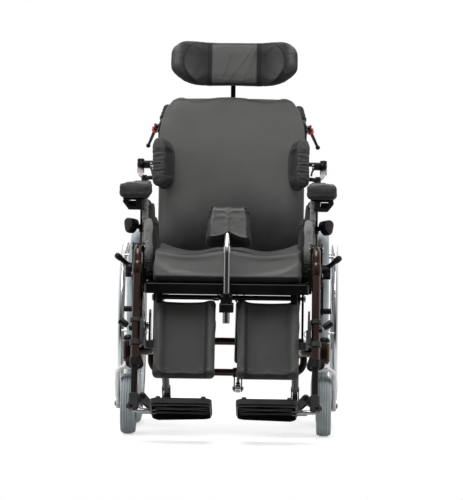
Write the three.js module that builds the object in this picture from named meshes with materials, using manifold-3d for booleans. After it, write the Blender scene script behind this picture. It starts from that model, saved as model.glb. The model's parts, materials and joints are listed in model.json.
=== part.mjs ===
// Tilt in space wheelchair: a wheeled base, a seat that tilts on it, a back that reclines,
// elevating legrests and postural supports. Millimetres, +Z up, origin on the floor under
// the middle of its length. The chair faces -Y, and the sitter's left hand is at +X.

import * as THREE from 'three';
import { mergeVertices } from 'three/addons/utils/BufferGeometryUtils.js';
import Module from 'manifold-3d';

const wasm = await Module();
wasm.setup();

// Numbers that belong to the drawing and not to the chair
const half = 0.5;
const quarterTurn = Math.PI / 2;
const fullTurn = Math.PI * 2;
const unitSpan = 2;
const cutOverrun = 2;
const bendStep = Math.PI / 6;
const tubeSides = 8;
const slimSides = 6;
const roundSides = 8;
const radians = THREE.MathUtils.degToRad;

// Driving dimensions. Places along Y count from the rear axle, so ahead of it is negative.
// Places across count from the side edge of the seat pan, so a wider pan widens the chair.
const panWidth = 488;
const wheelFromPan = 44;
const wheelTrack = panWidth + 2 * wheelFromPan;
const casterFromPan = 49;
const casterTrack = panWidth + 2 * casterFromPan;
const seatInset = 28;
const seatWidth = panWidth - 2 * seatInset;
const backInset = 13.5;
const backWidth = panWidth - 2 * backInset;
const axleBehindMiddle = 180;
const wheelRadius = 305;
const tyreWidth = 35;
const tyreHeight = 33;
const casterRadius = 94;
const casterWidth = 44;
const casterStemY = -420;
const casterTrail = 50;
const tiltPivotY = -150;
const tiltPivotZ = 400;
const reclinePivotY = 35;
const reclinePivotZ = 480;
const backLean = 9;
const kneePivotFromPan = 21;
const kneePivotX = panWidth * half + kneePivotFromPan;
const kneePivotY = -425;
const kneePivotZ = 562;
const legLean = 20;
const panFrontY = -486;
const panRearY = -20;
const panTopZ = 460;
const backTop = 537;
const runningGap = 0.5;
const seatingGap = 0.3;

// Solids: a closed geometry becomes a solid that can be joined and cut
function solid(geometry) {
  const bare = new THREE.BufferGeometry();
  bare.setAttribute('position', geometry.getAttribute('position').clone());
  if (geometry.index) bare.setIndex(geometry.index.clone());
  const merged = mergeVertices(bare);
  const place = merged.getAttribute('position').array;
  const kept = [];
  let volume = 0;
  const corner = [new THREE.Vector3(), new THREE.Vector3(), new THREE.Vector3()];
  for (let i = 0; i < merged.index.count; i += 3) {
    const three = [0, 1, 2].map((step) => merged.index.getX(i + step));
    if (three[0] === three[1] || three[1] === three[2] || three[2] === three[0]) continue;
    three.forEach((vertex, at) => corner[at].fromArray(place, vertex * 3));
    volume += corner[0].dot(corner[1].clone().cross(corner[2]));
    kept.push(three);
  }
  const triVerts = new Uint32Array(kept.flatMap(([a, b, c]) => (volume < 0 ? [a, c, b] : [a, b, c])));
  return new wasm.Manifold(
    new wasm.Mesh({ numProp: 3, vertProperties: new Float32Array(place), triVerts }),
  );
}

function join(...solids) {
  return solids.reduce((whole, next) => whole.add(next));
}

function cut(whole, ...tools) {
  return tools.reduce((left, tool) => left.subtract(tool), whole);
}

// The same piece for the other side of the chair, or in another place
function moved(piece, x, y, z) {
  return solid(geometryOf(piece).translate(x, y, z));
}

function turned(piece, axis, angle) {
  const turn = new THREE.Matrix4().makeRotationAxis(axis, angle);
  return solid(geometryOf(piece).applyMatrix4(turn));
}

function geometryOf(piece, mirrored = false) {
  const mesh = piece.getMesh();
  const position = Float32Array.from(mesh.vertProperties);
  const index = Uint32Array.from(mesh.triVerts);
  if (mirrored) {
    for (let i = 0; i < position.length; i += 3) position[i] = -position[i];
    for (let i = 0; i < index.length; i += 3) [index[i], index[i + 1]] = [index[i + 1], index[i]];
  }
  const geometry = new THREE.BufferGeometry();
  geometry.setAttribute('position', new THREE.BufferAttribute(position, 3));
  geometry.setIndex(new THREE.BufferAttribute(index, 1));
  return geometry;
}

const X = new THREE.Vector3(1, 0, 0);
const Y = new THREE.Vector3(0, 1, 0);
const Z = new THREE.Vector3(0, 0, 1);
const at = (x, y, z) => new THREE.Vector3(x, y, z);

function box(xRange, yRange, zRange) {
  const sizes = [xRange, yRange, zRange].map(([low, high]) => high - low);
  const middles = [xRange, yRange, zRange].map(([low, high]) => (low + high) * half);
  return solid(new THREE.BoxGeometry(...sizes).translate(...middles));
}

// A rod or a taper between two points
function rod(from, to, radius, sides = roundSides, endRadius = radius) {
  const along = to.clone().sub(from);
  const geometry = new THREE.CylinderGeometry(endRadius, radius, along.length(), sides);
  geometry.applyQuaternion(new THREE.Quaternion().setFromUnitVectors(Y, along.clone().normalize()));
  const middle = from.clone().lerp(to, half);
  return solid(geometry.translate(middle.x, middle.y, middle.z));
}

// A rod along X, and a rod that stands up
function barAlongX([from, to], y, z, radius, sides = roundSides, endRadius = radius) {
  return rod(at(from, y, z), at(to, y, z), radius, sides, endRadius);
}

function post(x, y, [from, to], radius, sides = roundSides, endRadius = radius) {
  return rod(at(x, y, from), at(x, y, to), radius, sides, endRadius);
}

const around = (middle, reach) => [middle - reach, middle + reach];

// A round hole's corner radius, so that a pin turns in it with the running gap all round
const boreFor = (radius, sides = tubeSides) => (radius + runningGap) / Math.cos(Math.PI / sides);

// A bent tube's centre line: straight runs with round bends, a station at each end of a run
class BentLine extends THREE.Curve {
  constructor(corners, bendRadius) {
    super();
    this.stations = [{ place: corners[0], along: corners[1].clone().sub(corners[0]).normalize() }];
    for (let i = 1; i < corners.length - 1; i += 1) this.bend(
      corners[i - 1], corners[i], corners[i + 1], bendRadius,
    );
    const [last, end] = corners.slice(-2);
    this.stations.push({ place: end, along: end.clone().sub(last).normalize() });
  }

  bend(before, corner, after, bendRadius) {
    const arriving = corner.clone().sub(before).normalize();
    const leaving = after.clone().sub(corner).normalize();
    const turn = arriving.angleTo(leaving);
    const reach = bendRadius * Math.tan(turn * half);
    const axis = arriving.clone().cross(leaving).normalize();
    const centre = corner.clone().addScaledVector(arriving, -reach)
      .addScaledVector(axis.clone().cross(arriving), bendRadius);
    const spoke = corner.clone().addScaledVector(arriving, -reach).sub(centre);
    const steps = Math.max(1, Math.round(turn / bendStep));
    for (let step = 0; step <= steps; step += 1) {
      const angle = turn * step / steps;
      this.stations.push({
        place: centre.clone().add(spoke.clone().applyAxisAngle(axis, angle)),
        along: arriving.clone().applyAxisAngle(axis, angle),
      });
    }
  }

  get steps() { return this.stations.length - 1; }

  getPointAt(share) { return this.stations[Math.round(share * this.steps)].place.clone(); }

  getTangentAt(share) { return this.stations[Math.round(share * this.steps)].along.clone(); }
}

function polygon(radius, sides) {
  return Array.from({ length: sides }, (_, i) => {
    const angle = fullTurn * i / sides;
    return new THREE.Vector2(radius * Math.cos(angle), radius * Math.sin(angle));
  });
}

function tube(corners, radius, bendRadius, sides = tubeSides) {
  const line = new BentLine(corners, bendRadius);
  const section = new THREE.Shape(polygon(radius, sides));
  return solid(
    new THREE.ExtrudeGeometry(section, { steps: line.steps, bevelEnabled: false, extrudePath: line }),
  );
}

// The outline round a few discs, as a belt round pulleys. A disc is [u, v, radius].
function belt(discs, sides = tubeSides) {
  const points = discs.flatMap(([u, v, radius]) => polygon(radius, sides).map((p) => [p.x + u, p.y + v]));
  points.sort((a, b) => a[0] - b[0] || a[1] - b[1]);
  const turnsLeft = (a, b, c) => (b[0] - a[0]) * (c[1] - a[1]) - (b[1] - a[1]) * (c[0] - a[0]) > 0;
  const chain = (list) => list.reduce((hull, point) => {
    while (hull.length > 1 && !turnsLeft(hull[hull.length - 2], hull[hull.length - 1], point)) hull.pop();
    hull.push(point);
    return hull;
  }, []);
  const lower = chain(points);
  const upper = chain([...points].reverse());
  const outline = [...lower.slice(0, -1), ...upper.slice(0, -1)];
  return new THREE.Shape(outline.map(([u, v]) => new THREE.Vector2(u, v)));
}

function roundedRectangle(width, height, radius) {
  const right = width * half - radius;
  const top = height * half - radius;
  return belt([[right, top, radius], [-right, top, radius], [-right, -top, radius], [right, -top, radius]]);
}

// Plates cut from an outline: facing X the outline is (y, z), facing Y (x, z), facing Z (x, y)
const plateTurns = {
  x: new THREE.Matrix4().makeBasis(Y, Z, X),
  y: new THREE.Matrix4().makeBasis(X, Z, Y.clone().negate()),
  z: new THREE.Matrix4().identity(),
};

function plate(shape, facing, [low, high], segments = slimSides) {
  const geometry = new THREE.ExtrudeGeometry(shape, {
    depth: high - low, bevelEnabled: false, curveSegments: segments,
  });
  if (facing === 'y') geometry.translate(0, 0, -high);
  else geometry.translate(0, 0, low);
  return solid(geometry.applyMatrix4(plateTurns[facing]));
}

// A turned piece: the profile is a list of [radius, place along the axis], closed on itself
function turning(profile, sides, axis = 'x') {
  const closed = [...profile, profile[0]].map(([radius, along]) => new THREE.Vector2(radius, along));
  const geometry = new THREE.LatheGeometry(closed, sides, Math.PI / sides, fullTurn);
  if (axis === 'x') geometry.rotateZ(-quarterTurn);
  if (axis === 'z') geometry.rotateX(quarterTurn);
  return solid(geometry);
}

// A turned piece along any line: each step is [radius, distance from the start]
function spindle(start, direction, steps, sides = tubeSides) {
  const profile = [[0, steps[0][1]], ...steps, [0, steps.at(-1)[1]]];
  const geometry = new THREE.LatheGeometry(
    profile.map(([radius, along]) => new THREE.Vector2(radius, along)), sides,
  );
  geometry.applyQuaternion(new THREE.Quaternion().setFromUnitVectors(Y, direction));
  return solid(geometry.translate(start.x, start.y, start.z));
}

// A stuffed form: a block's grid is drawn onto a rounded block, then shaped by a rule.
// u, v and w run from -1 to 1 along X, Y and Z, and the rule returns offsets in millimetres.
function stuffed(cells, halfSizes, roundness, rule = () => [0, 0, 0]) {
  const grid = new THREE.BoxGeometry(unitSpan, unitSpan, unitSpan, ...cells);
  const place = grid.getAttribute('position');
  for (let i = 0; i < place.count; i += 1) {
    const share = [place.getX(i), place.getY(i), place.getZ(i)];
    const reach = share.reduce((sum, s) => sum + Math.abs(s) ** roundness, 0) ** (1 / roundness);
    const [u, v, w] = share.map((s) => s / reach);
    const shift = rule(u, v, w);
    place.setXYZ(i, ...[u, v, w].map((s, axis) => s * halfSizes[axis] + shift[axis]));
  }
  return solid(grid);
}

const bump = (share, width) => Math.exp(-((share / width) ** 2));
const ramp = (share, [from, to]) => THREE.MathUtils.smoothstep(share, from, to);

// Finishes
const finish = (color, roughness, metalness) => ({ color, roughness, metalness });
const bronzePaint = finish('#33190f', 0.35, 0.6);
const blackPaint = finish('#121212', 0.45, 0.3);
const blackPlastic = finish('#1a1a1b', 0.55, 0);
const castGrey = finish('#4b4b4c', 0.5, 0.3);
const silverPaint = finish('#d5d6d4', 0.4, 0.4);
const polished = finish('#cfd4d8', 0.12, 1);
const greyRubber = finish('#8f9a9e', 0.8, 0);
const blackRubber = finish('#202021', 0.85, 0);
const upholstery = finish('#454545', 0.6, 0);
const padCover = finish('#333334', 0.65, 0);
const warningRed = finish('#c8262b', 0.4, 0);
const taupeAlloy = finish('#7d7674', 0.4, 0.5);

const chair = new THREE.Group();
chair.name = 'tilt_in_space_wheelchair';
chair.position.y = axleBehindMiddle;

function put(parent, name, piece, look, mirrored = false) {
  const geometry = geometryOf(piece, mirrored);
  geometry.computeVertexNormals();
  const mesh = new THREE.Mesh(geometry, new THREE.MeshStandardMaterial({ ...look, flatShading: true }));
  mesh.name = name;
  parent.add(mesh);
  return mesh;
}

function frameAt(parent, x, y, z, leanX = 0) {
  const frame = new THREE.Group();
  frame.position.set(x, y, z);
  frame.rotation.x = leanX;
  parent.add(frame);
  return frame;
}

// Rear wheel: a grey pneumatic tyre, a spoked rim on a hub, and a handrim on six standoffs
const wheelFacets = 28;
const axleHeight = wheelRadius * Math.cos(Math.PI / wheelFacets);
const beadRadius = wheelRadius - tyreHeight;
const tyreSectionShares = [[0, -0.58], [0.55, -1], [1, -0.45], [1, 0.45], [0.55, 1], [0, 0.58]];
const rimDepth = 18;
const rimWidth = 28;
const rimSectionShares = [[0, -0.9], [1, -1], [1, 1], [0, 0.9]];
const hubInner = 33;
const hubOuter = 16;
const hubBarrel = 15;
const hubFlange = 28;
const hubFlangeThickness = 4;
const hubFlangeEdge = 2.2;
const innerFlangeX = -25;
const outerFlangeX = 10;
const axleRadius = 6.4;
const spokeCount = 14;
const spokeRadius = 1.4;
const spokeSides = 4;
const spokeInset = 4;
const spokeLean = radians(8);
const handrimInset = 53;
const handrimRadius = wheelRadius - handrimInset;
const handrimTube = 10;
const handrimOut = 36;
const handrimSides = 5;
const handrimFacets = 26;
const standoffCount = 6;
const standoffInset = 3;
const standoffRadius = 4;

const wheelTyre = turning(
  tyreSectionShares.map(([up, out]) => [beadRadius + up * tyreHeight, out * tyreWidth * half]),
  wheelFacets,
);

function spokedWheel() {
  const rimOuter = beadRadius - seatingGap;
  const rim = turning(
    rimSectionShares.map(([up, out]) => [rimOuter - rimDepth * (1 - up), out * rimWidth * half]),
    wheelFacets,
  );
  const flanges = [innerFlangeX, outerFlangeX].flatMap((place) => [
    [hubBarrel, place - hubFlangeThickness], [hubFlange, place - hubFlangeEdge],
    [hubFlange, place + hubFlangeEdge], [hubBarrel, place + hubFlangeThickness],
  ]);
  const hub = turning([
    [boreFor(axleRadius), -hubInner], [hubBarrel, -hubInner], ...flanges, [hubBarrel, hubOuter],
    [boreFor(axleRadius), hubOuter],
  ], tubeSides);
  const spokes = Array.from({ length: spokeCount }, (_, i) => {
    const flangeX = i % 2 ? innerFlangeX : outerFlangeX;
    const angle = fullTurn * (i + half) / spokeCount;
    const lean = i % 4 < 2 ? spokeLean : -spokeLean;
    const hole = hubFlange - spokeInset;
    const nipple = rimOuter - rimDepth + spokeInset;
    return rod(
      at(flangeX, hole * Math.sin(angle), hole * Math.cos(angle)),
      at(0, nipple * Math.sin(angle + lean), nipple * Math.cos(angle + lean)),
      spokeRadius, spokeSides,
    );
  });
  return join(rim, hub, ...spokes);
}

function handrimRing() {
  const ring = solid(new THREE.TorusGeometry(handrimRadius, handrimTube, handrimSides, handrimFacets)
    .rotateY(quarterTurn).translate(handrimOut, 0, 0));
  const standoffAt = handrimRadius + handrimTube - standoffInset + standoffRadius * half;
  const standoffs = Array.from({ length: standoffCount }, (_, i) => {
    const angle = fullTurn * (i + half) / standoffCount;
    const [y, z] = [standoffAt * Math.sin(angle), standoffAt * Math.cos(angle)];
    return barAlongX([rimWidth * half + seatingGap, handrimOut], y, z, standoffRadius, spokeSides);
  });
  return join(ring, ...standoffs);
}

// Caster: a ribbed tyre on a hub, in a silver arch that trails behind its stem
const casterFacets = 14;
const casterAxleHeight = casterRadius * Math.cos(Math.PI / casterFacets);
const casterBoltRadius = 5;
const casterHubHalf = 24.5;
const casterHubRadius = 14;
const casterWebHalf = 10;
const casterRimRadius = 62;
const casterShoulder = 14;
const casterGroove = 3;
const casterGrooveHalf = 1.6;
const casterGroovePitch = 5;
const forkInnerHalf = 25.2;
const forkLeg = 11.5;
const forkTop = 212;
const forkCrownThickness = 14;
const forkShoulder = 24;
const archSteps = 2;
const forkDepth = 27;
const forkEndRadius = 15;
const stemRadius = 8;
const stemTop = 266;
const collarRadius = 14;
const collarHeight = 11;
const headRadius = 16;
const headBottom = forkTop + collarHeight + runningGap;
const headTop = 276;
const capHeight = 15;
const capTopRadius = 8;
const boltHead = 8;
const boltHeadHeight = 5;

function casterWheelForm() {
  const tread = [-1, 1].flatMap((place) => {
    const middle = place * casterGroovePitch;
    return [
      [casterRadius, middle + casterGrooveHalf], [casterRadius - casterGroove, middle],
      [casterRadius, middle - casterGrooveHalf],
    ].reverse();
  });
  const halfWidth = casterWidth * half;
  const side = [
    [boreFor(casterBoltRadius), casterHubHalf], [casterHubRadius, casterHubHalf],
    [casterRimRadius, casterWebHalf], [casterRimRadius + casterGroove, halfWidth],
    [casterRadius - casterGroove * 2, halfWidth], [casterRadius, casterShoulder],
  ];
  const mirrored = side.map(([radius, x]) => [radius, -x]);
  return turning([...mirrored, ...tread, ...side.reverse()], casterFacets);
}

function casterForkForm() {
  const outer = forkInnerHalf + forkLeg;
  const crownBottom = forkTop - forkCrownThickness;
  const innerShoulder = forkShoulder - forkLeg * half;
  const arch = new THREE.Shape();
  arch.moveTo(-outer, casterAxleHeight);
  arch.lineTo(-forkInnerHalf, casterAxleHeight);
  arch.lineTo(-forkInnerHalf, crownBottom - innerShoulder);
  arch.absarc(
    -forkInnerHalf + innerShoulder, crownBottom - innerShoulder, innerShoulder, Math.PI,
    quarterTurn, true,
  );
  arch.absarc(
    forkInnerHalf - innerShoulder, crownBottom - innerShoulder, innerShoulder, quarterTurn, 0, true,
  );
  arch.lineTo(forkInnerHalf, casterAxleHeight);
  arch.lineTo(outer, casterAxleHeight);
  arch.lineTo(outer, forkTop - forkShoulder);
  arch.absarc(outer - forkShoulder, forkTop - forkShoulder, forkShoulder, 0, quarterTurn, false);
  arch.absarc(-outer + forkShoulder, forkTop - forkShoulder, forkShoulder, quarterTurn, Math.PI, false);
  const legs = geometryOf(plate(arch, 'y', [-forkDepth * half, forkDepth * half], archSteps));
  const place = legs.getAttribute('position');
  for (let i = 0; i < place.count; i += 1) {
    const drop = Math.max(0, crownBottom - place.getZ(i)) / (crownBottom - casterAxleHeight);
    place.setY(i, place.getY(i) + drop * casterTrail);
  }
  const axle = at(0, casterTrail, casterAxleHeight);
  const bossSteps = [
    [boltHead, outer + boltHeadHeight], [boltHead, outer], [forkEndRadius, outer],
    [forkEndRadius, forkInnerHalf], [casterBoltRadius, forkInnerHalf],
  ];
  return join(
    solid(legs),
    spindle(
      axle, X, [...bossSteps.map(([radius, along]) => [radius, -along]), ...bossSteps.reverse()],
      roundSides,
    ),
    spindle(at(0, 0, forkTop - cutOverrun), Z, [
      [collarRadius, 0], [collarRadius, collarHeight + cutOverrun], [stemRadius, collarHeight + cutOverrun],
      [stemRadius, stemTop - forkTop],
    ]),
  );
}

// Base frame: bent side rails from caster head to axle, two cross tubes, and welded plates
const railRadius = 13;
const railFromPan = -13;
const railX = panWidth * half + railFromPan;
const railZ = 250;
const railRearY = 45;
const railFrontY = -352;
const railBend = 45;
const axlePlateSink = 3;
const axlePlateInner = railX + railRadius - axlePlateSink;
const axlePlateOuterFromPan = 6;
const axlePlateOuter = panWidth * half + axlePlateOuterFromPan;
const axlePlateTop = 330;
const axlePlateFoot = 242;
const axlePlateHalf = 42;
const axlePlateRadius = 26;
const axlePlateFootRadius = 15;
const spareHoleRadius = 6;
const spareHoleStep = 34;
const axleCapRadius = 11;
const axleCapThickness = 6;
const lockPostRadius = 11;
const lockPostFromPan = 20;
const lockPostX = panWidth * half + lockPostFromPan;
const lockPostY = -362;
const lockPostTop = 508;
const lockPostKneeZ = 292;
const lockPostRootFromPan = -6;
const lockPostRootX = panWidth * half + lockPostRootFromPan;
const lockPostBend = 25;
const pivotPlateInnerFromPan = -22;
const pivotPlateInner = panWidth * half + pivotPlateInnerFromPan;
const pivotPlateOuter = railX;
const pivotPlateRadius = 19;
const pivotPlateFootHalf = 30;
const pivotPlateFootRadius = 15;
const pivotPlateWindow = 13;
const pivotPinRadius = 6;
const pivotPinEnd = 203;
const pivotCapRadius = 11;
const pivotCapThickness = 5;
const lowerCrossRadius = 11;
const lowerCrossY = -250;
const lowerCrossZ = 180;
const lowerCrossBend = 35;
const upperCrossRadius = 12;
const upperCrossY = -20;
const upperCrossZ = 259;
const strutX = 33;
const strutEyeHalf = 8;
const strutEarThickness = 4;
const strutEarRadius = 11;
const strutBoltRadius = 4;
const strutBoltHead = 7;
const strutBoltHeadHeight = 5;
const tiltFootY = -250;
const tiltFootZ = 131;
const bracketWall = 4;
const tiltHeadY = -20;
const tiltHeadZ = 388;
const antiTipFromPan = -38;
const antiTipX = panWidth * half + antiTipFromPan;
const antiTipSlope = radians(30);
const antiTipTopY = -22;
const antiTipTopZ = 262;
const receiverRadius = 15;
const receiverLength = 104;
const receiverBore = 12;
const receiverBoreDepth = 84;
const lockPlateInnerFromPan = 31;
const lockPlateInner = panWidth * half + lockPlateInnerFromPan;
const lockPlateThickness = 5;
const lockLeverY = -285;
const lockLeverZ = 492;
const lockShoePivotY = -325;
const lockShoePivotZ = 450;
const lockPinRadius = 4;
const lockPinEndFromPan = 58;
const lockPinEnd = panWidth * half + lockPinEndFromPan;
const lockPlateEdge = 13;

const strutEarInner = strutEyeHalf + 2 * runningGap;
const strutEarOuter = strutEarInner + strutEarThickness;

// A pair of ears that hold a bolt at (y, z), rooted on a cross tube
function strutEars(middleX, tubeY, tubeZ, tubeRadius, y, z, withBolt) {
  const outline = belt([[tubeY, tubeZ, tubeRadius], [y, z, strutEarRadius]], tubeSides);
  const ears = [-1, 1].map((side) => plate(
    outline, 'x',
    side < 0 ? [
      middleX - strutEarOuter, middleX - strutEarInner,
    ] : [middleX + strutEarInner, middleX + strutEarOuter],
  ));
  if (!withBolt) return join(...ears);
  const end = strutEarOuter + strutBoltHeadHeight;
  const bolt = spindle(at(middleX, y, z), X, [
    [strutBoltHead, -end], [strutBoltHead, -strutEarOuter], [strutBoltRadius, -strutEarOuter],
    [strutBoltRadius, strutEarOuter], [strutBoltHead, strutEarOuter], [strutBoltHead, end],
  ], slimSides);
  return join(...ears, bolt);
}

function casterHead() {
  return spindle(at(casterTrack * half, casterStemY, headBottom), Z, [
    [headRadius, 0], [headRadius, headTop - headBottom], [capTopRadius, headTop - headBottom + capHeight],
  ], roundSides);
}

function baseSide() {
  const headX = casterTrack * half;
  const rail = tube(
    [at(headX, casterStemY, railZ), at(railX, railFrontY, railZ), at(railX, railRearY, railZ)],
    railRadius, railBend,
  );
  const stemBore = post(
    headX, casterStemY, [headBottom - cutOverrun, stemTop + cutOverrun], boreFor(stemRadius),
    tubeSides,
  );
  const axlePlate = plate(belt([
    [0, axlePlateTop, axlePlateRadius], [-axlePlateHalf, axlePlateFoot, axlePlateFootRadius],
    [axlePlateHalf, axlePlateFoot, axlePlateFootRadius],
  ]), 'x', [axlePlateInner, axlePlateOuter]);
  const throughPlate = [axlePlateInner - cutOverrun, axlePlateOuter + cutOverrun];
  const spareHoles = [-1, 1].map((side) => (
    barAlongX(throughPlate, 0, axleHeight + side * spareHoleStep, spareHoleRadius, slimSides)
  ));
  const hubOuterX = wheelTrack * half + hubOuter;
  const hubInnerX = wheelTrack * half - hubInner;
  const shoulder = hubInnerX - runningGap - axlePlateInner;
  const axleEnd = hubOuterX + runningGap - axlePlateInner;
  const axleStub = spindle(at(axlePlateInner, 0, axleHeight), X, [
    [axleCapRadius, 0], [axleCapRadius, shoulder], [axleRadius, shoulder], [axleRadius, axleEnd],
    [axleCapRadius, axleEnd], [axleCapRadius, axleEnd + axleCapThickness],
  ]);
  const lockPost = tube(
    [
      at(lockPostRootX, lockPostY, railZ), at(lockPostX, lockPostY, lockPostKneeZ),
      at(lockPostX, lockPostY, lockPostTop),
    ],
    lockPostRadius, lockPostBend,
  );
  const pivotPlate = cut(
    plate(belt([
      [tiltPivotY, tiltPivotZ, pivotPlateRadius],
      [tiltPivotY - pivotPlateFootHalf, railZ, pivotPlateFootRadius],
      [tiltPivotY + pivotPlateFootHalf, railZ, pivotPlateFootRadius],
    ]), 'x', [pivotPlateInner, pivotPlateOuter]),
    barAlongX(
      [pivotPlateInner - cutOverrun, pivotPlateOuter + cutOverrun], tiltPivotY,
      (tiltPivotZ + railZ) * half, pivotPlateWindow, tubeSides,
    ),
  );
  const pinLength = pivotPlateOuter - pivotPinEnd;
  const pivotPin = spindle(at(pivotPinEnd, tiltPivotY, tiltPivotZ), X, [
    [pivotPinRadius, 0], [pivotPinRadius, pinLength], [pivotCapRadius, pinLength],
    [pivotCapRadius, pinLength + pivotCapThickness],
  ]);
  const slope = at(0, Math.cos(antiTipSlope), -Math.sin(antiTipSlope));
  const receiverTop = at(antiTipX, antiTipTopY, antiTipTopZ);
  const receiverEnd = receiverTop.clone().addScaledVector(slope, receiverLength);
  const receiver = rod(receiverTop, receiverEnd, receiverRadius);
  const receiverHollow = rod(
    receiverEnd.clone().addScaledVector(slope, -receiverBoreDepth),
    receiverEnd.clone().addScaledVector(slope, cutOverrun),
    receiverBore, tubeSides,
  );
  return cut(
    join(rail, casterHead(), axlePlate, lockPost, pivotPlate, pivotPin, receiver), stemBore,
    ...spareHoles, receiverHollow,
  )
    .add(axleStub)
    .add(lockPlate());
}

// The wheel lock's plate is clamped to its post and holds the pins of the lever and the shoe
function lockPlate() {
  const outer = lockPlateInner + lockPlateThickness;
  const body = plate(belt([
    [lockLeverY, lockLeverZ, lockPlateEdge], [lockShoePivotY, lockShoePivotZ, lockPlateEdge],
    [lockPostY, lockLeverZ, lockPostRadius], [lockPostY, lockShoePivotZ, lockPostRadius],
  ], tubeSides), 'x', [lockPostX, outer]);
  const clear = box(
    [lockPostX - cutOverrun, lockPlateInner],
    [lockPostY + lockPostRadius + lockPlateThickness, lockLeverY + lockPlateEdge * 2],
    [lockShoePivotZ - lockPlateEdge * 2, lockLeverZ + lockPlateEdge * 2],
  );
  const pinPlaces = [[lockLeverY, lockLeverZ], [lockShoePivotY, lockShoePivotZ]];
  const pins = pinPlaces.map(
    ([y, z]) => barAlongX([lockPlateInner, lockPinEnd], y, z, lockPinRadius, tubeSides),
  );
  return join(cut(body, clear), ...pins);
}

function baseFrameForm() {
  const lowerCross = tube([
    at(railX, lowerCrossY, railZ), at(railX, lowerCrossY, lowerCrossZ),
    at(-railX, lowerCrossY, lowerCrossZ), at(-railX, lowerCrossY, railZ),
  ], lowerCrossRadius, lowerCrossBend);
  const upperCross = barAlongX([-railX, railX], upperCrossY, upperCrossZ, upperCrossRadius, tubeSides);
  const left = baseSide();
  const right = solid(geometryOf(left, true));
  return join(lowerCross, upperCross, left, right);
}

// The tilt strut's foot bracket: two ears, clamped on the lower cross tube, that hold a bolt
function strutBracketForm() {
  const clampRing = lowerCrossRadius + bracketWall;
  const ears = strutEars(strutX, lowerCrossY, lowerCrossZ, clampRing, tiltFootY, tiltFootZ, true);
  const seat = barAlongX(
    around(strutX, strutEarOuter + cutOverrun), lowerCrossY, lowerCrossZ,
    boreFor(lowerCrossRadius), tubeSides,
  );
  return cut(ears, seat);
}

// Wheel lock: a hand lever, and the shoe arm that it swings against the tyre
const leverHubRadius = 21;
const leverHubInner = lockPlateInner + lockPlateThickness + runningGap;
const leverHubThickness = 17;
const leverTipFromPan = 90;
const leverTipX = panWidth * half + leverTipFromPan;
const leverTipY = -318;
const leverTipZ = 545;
const leverRootZ = 505;
const leverRootRadius = 7;
const leverTipRadius = 5.5;
const shoeArmThickness = 8;
const shoeArmRadius = 10;
const shoeRodRadius = 7;
const shoeY = -320;
const shoeZ = 371;
const shoeInnerFromPan = 27;
const shoeInnerX = panWidth * half + shoeInnerFromPan;
const shoeOuterFromPan = 69;
const shoeOuterX = panWidth * half + shoeOuterFromPan;

function lockLeverForm() {
  const outer = leverHubInner + leverHubThickness;
  const hub = barAlongX([leverHubInner, outer], lockLeverY, lockLeverZ, leverHubRadius);
  const middle = (leverHubInner + outer) * half;
  const arm = rod(
    at(middle, lockLeverY, leverRootZ), at(leverTipX, leverTipY, leverTipZ), leverRootRadius,
    slimSides, leverTipRadius,
  );
  const bore = barAlongX(
    [leverHubInner - cutOverrun, lockPinEnd + runningGap], lockLeverY, lockLeverZ,
    boreFor(lockPinRadius), tubeSides,
  );
  const tip = rod(
    at(leverTipX, leverTipY - leverTipRadius, leverTipZ),
    at(leverTipX, leverTipY + leverTipRadius, leverTipZ),
    leverTipRadius + runningGap, slimSides,
  );
  return cut(join(hub, arm, tip), bore);
}

function lockShoeForm() {
  const arm = plate(belt([
    [lockShoePivotY, lockShoePivotZ, shoeArmRadius], [shoeY, shoeZ, shoeArmRadius],
  ], tubeSides), 'x', [leverHubInner, leverHubInner + shoeArmThickness]);
  const pinHole = barAlongX(
    [leverHubInner - cutOverrun, leverHubInner + shoeArmThickness + cutOverrun], lockShoePivotY,
    lockShoePivotZ, boreFor(lockPinRadius), tubeSides,
  );
  const shoe = barAlongX([shoeInnerX, shoeOuterX], shoeY, shoeZ, shoeRodRadius, tubeSides);
  return cut(join(arm, shoe), pinHole);
}

// Anti-tipper: a tube that slides in its receiver, with a small wheel between two cheeks
const antiTipTube = 11.5;
const antiTipLength = 388;
const antiTipInset = 50;
const antiTipCheek = 4;
const antiTipCheekRadius = 13;
const antiTipWheelRadius = 32;
const antiTipWheelHalf = 9;
const antiTipWheelBore = 4.5;
const antiTipWheelFacets = 12;
const antiTipWheelBehind = 15.98;
const antiTipWheelBelow = 21;
const antiTipWheelY = antiTipTopY + antiTipLength * Math.cos(antiTipSlope) + antiTipWheelBehind;
const antiTipWheelZ = antiTipTopZ - antiTipLength * Math.sin(antiTipSlope) - antiTipWheelBelow;
const antiTipButton = 4;
const antiTipButtonShares = [0.42, 0.5];

function antiTipArmForm() {
  const slope = at(0, Math.cos(antiTipSlope), -Math.sin(antiTipSlope));
  const start = at(antiTipX, antiTipTopY, antiTipTopZ).addScaledVector(slope, antiTipInset);
  const end = start.clone().addScaledVector(slope, antiTipLength - antiTipWheelRadius - antiTipInset);
  const inner = antiTipWheelHalf + runningGap;
  const cheeks = [-1, 1].map((side) => plate(belt([
    [end.y, end.z, antiTipTube], [antiTipWheelY, antiTipWheelZ, antiTipCheekRadius],
  ], tubeSides), 'x', side < 0 ? [
    antiTipX - inner - antiTipCheek, antiTipX - inner,
  ] : [antiTipX + inner, antiTipX + inner + antiTipCheek]));
  const bolt = barAlongX(
    [antiTipX - inner - antiTipCheek, antiTipX + inner + antiTipCheek], antiTipWheelY,
    antiTipWheelZ, antiTipWheelBore - runningGap, slimSides,
  );
  const buttons = antiTipButtonShares.map((share) => {
    const place = start.clone().lerp(end, share);
    return rod(
      place, place.clone().setX(antiTipX + antiTipTube + antiTipButton * half), antiTipButton,
      slimSides,
    );
  });
  return join(rod(start, end, antiTipTube, tubeSides), ...cheeks, bolt, ...buttons);
}

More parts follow.
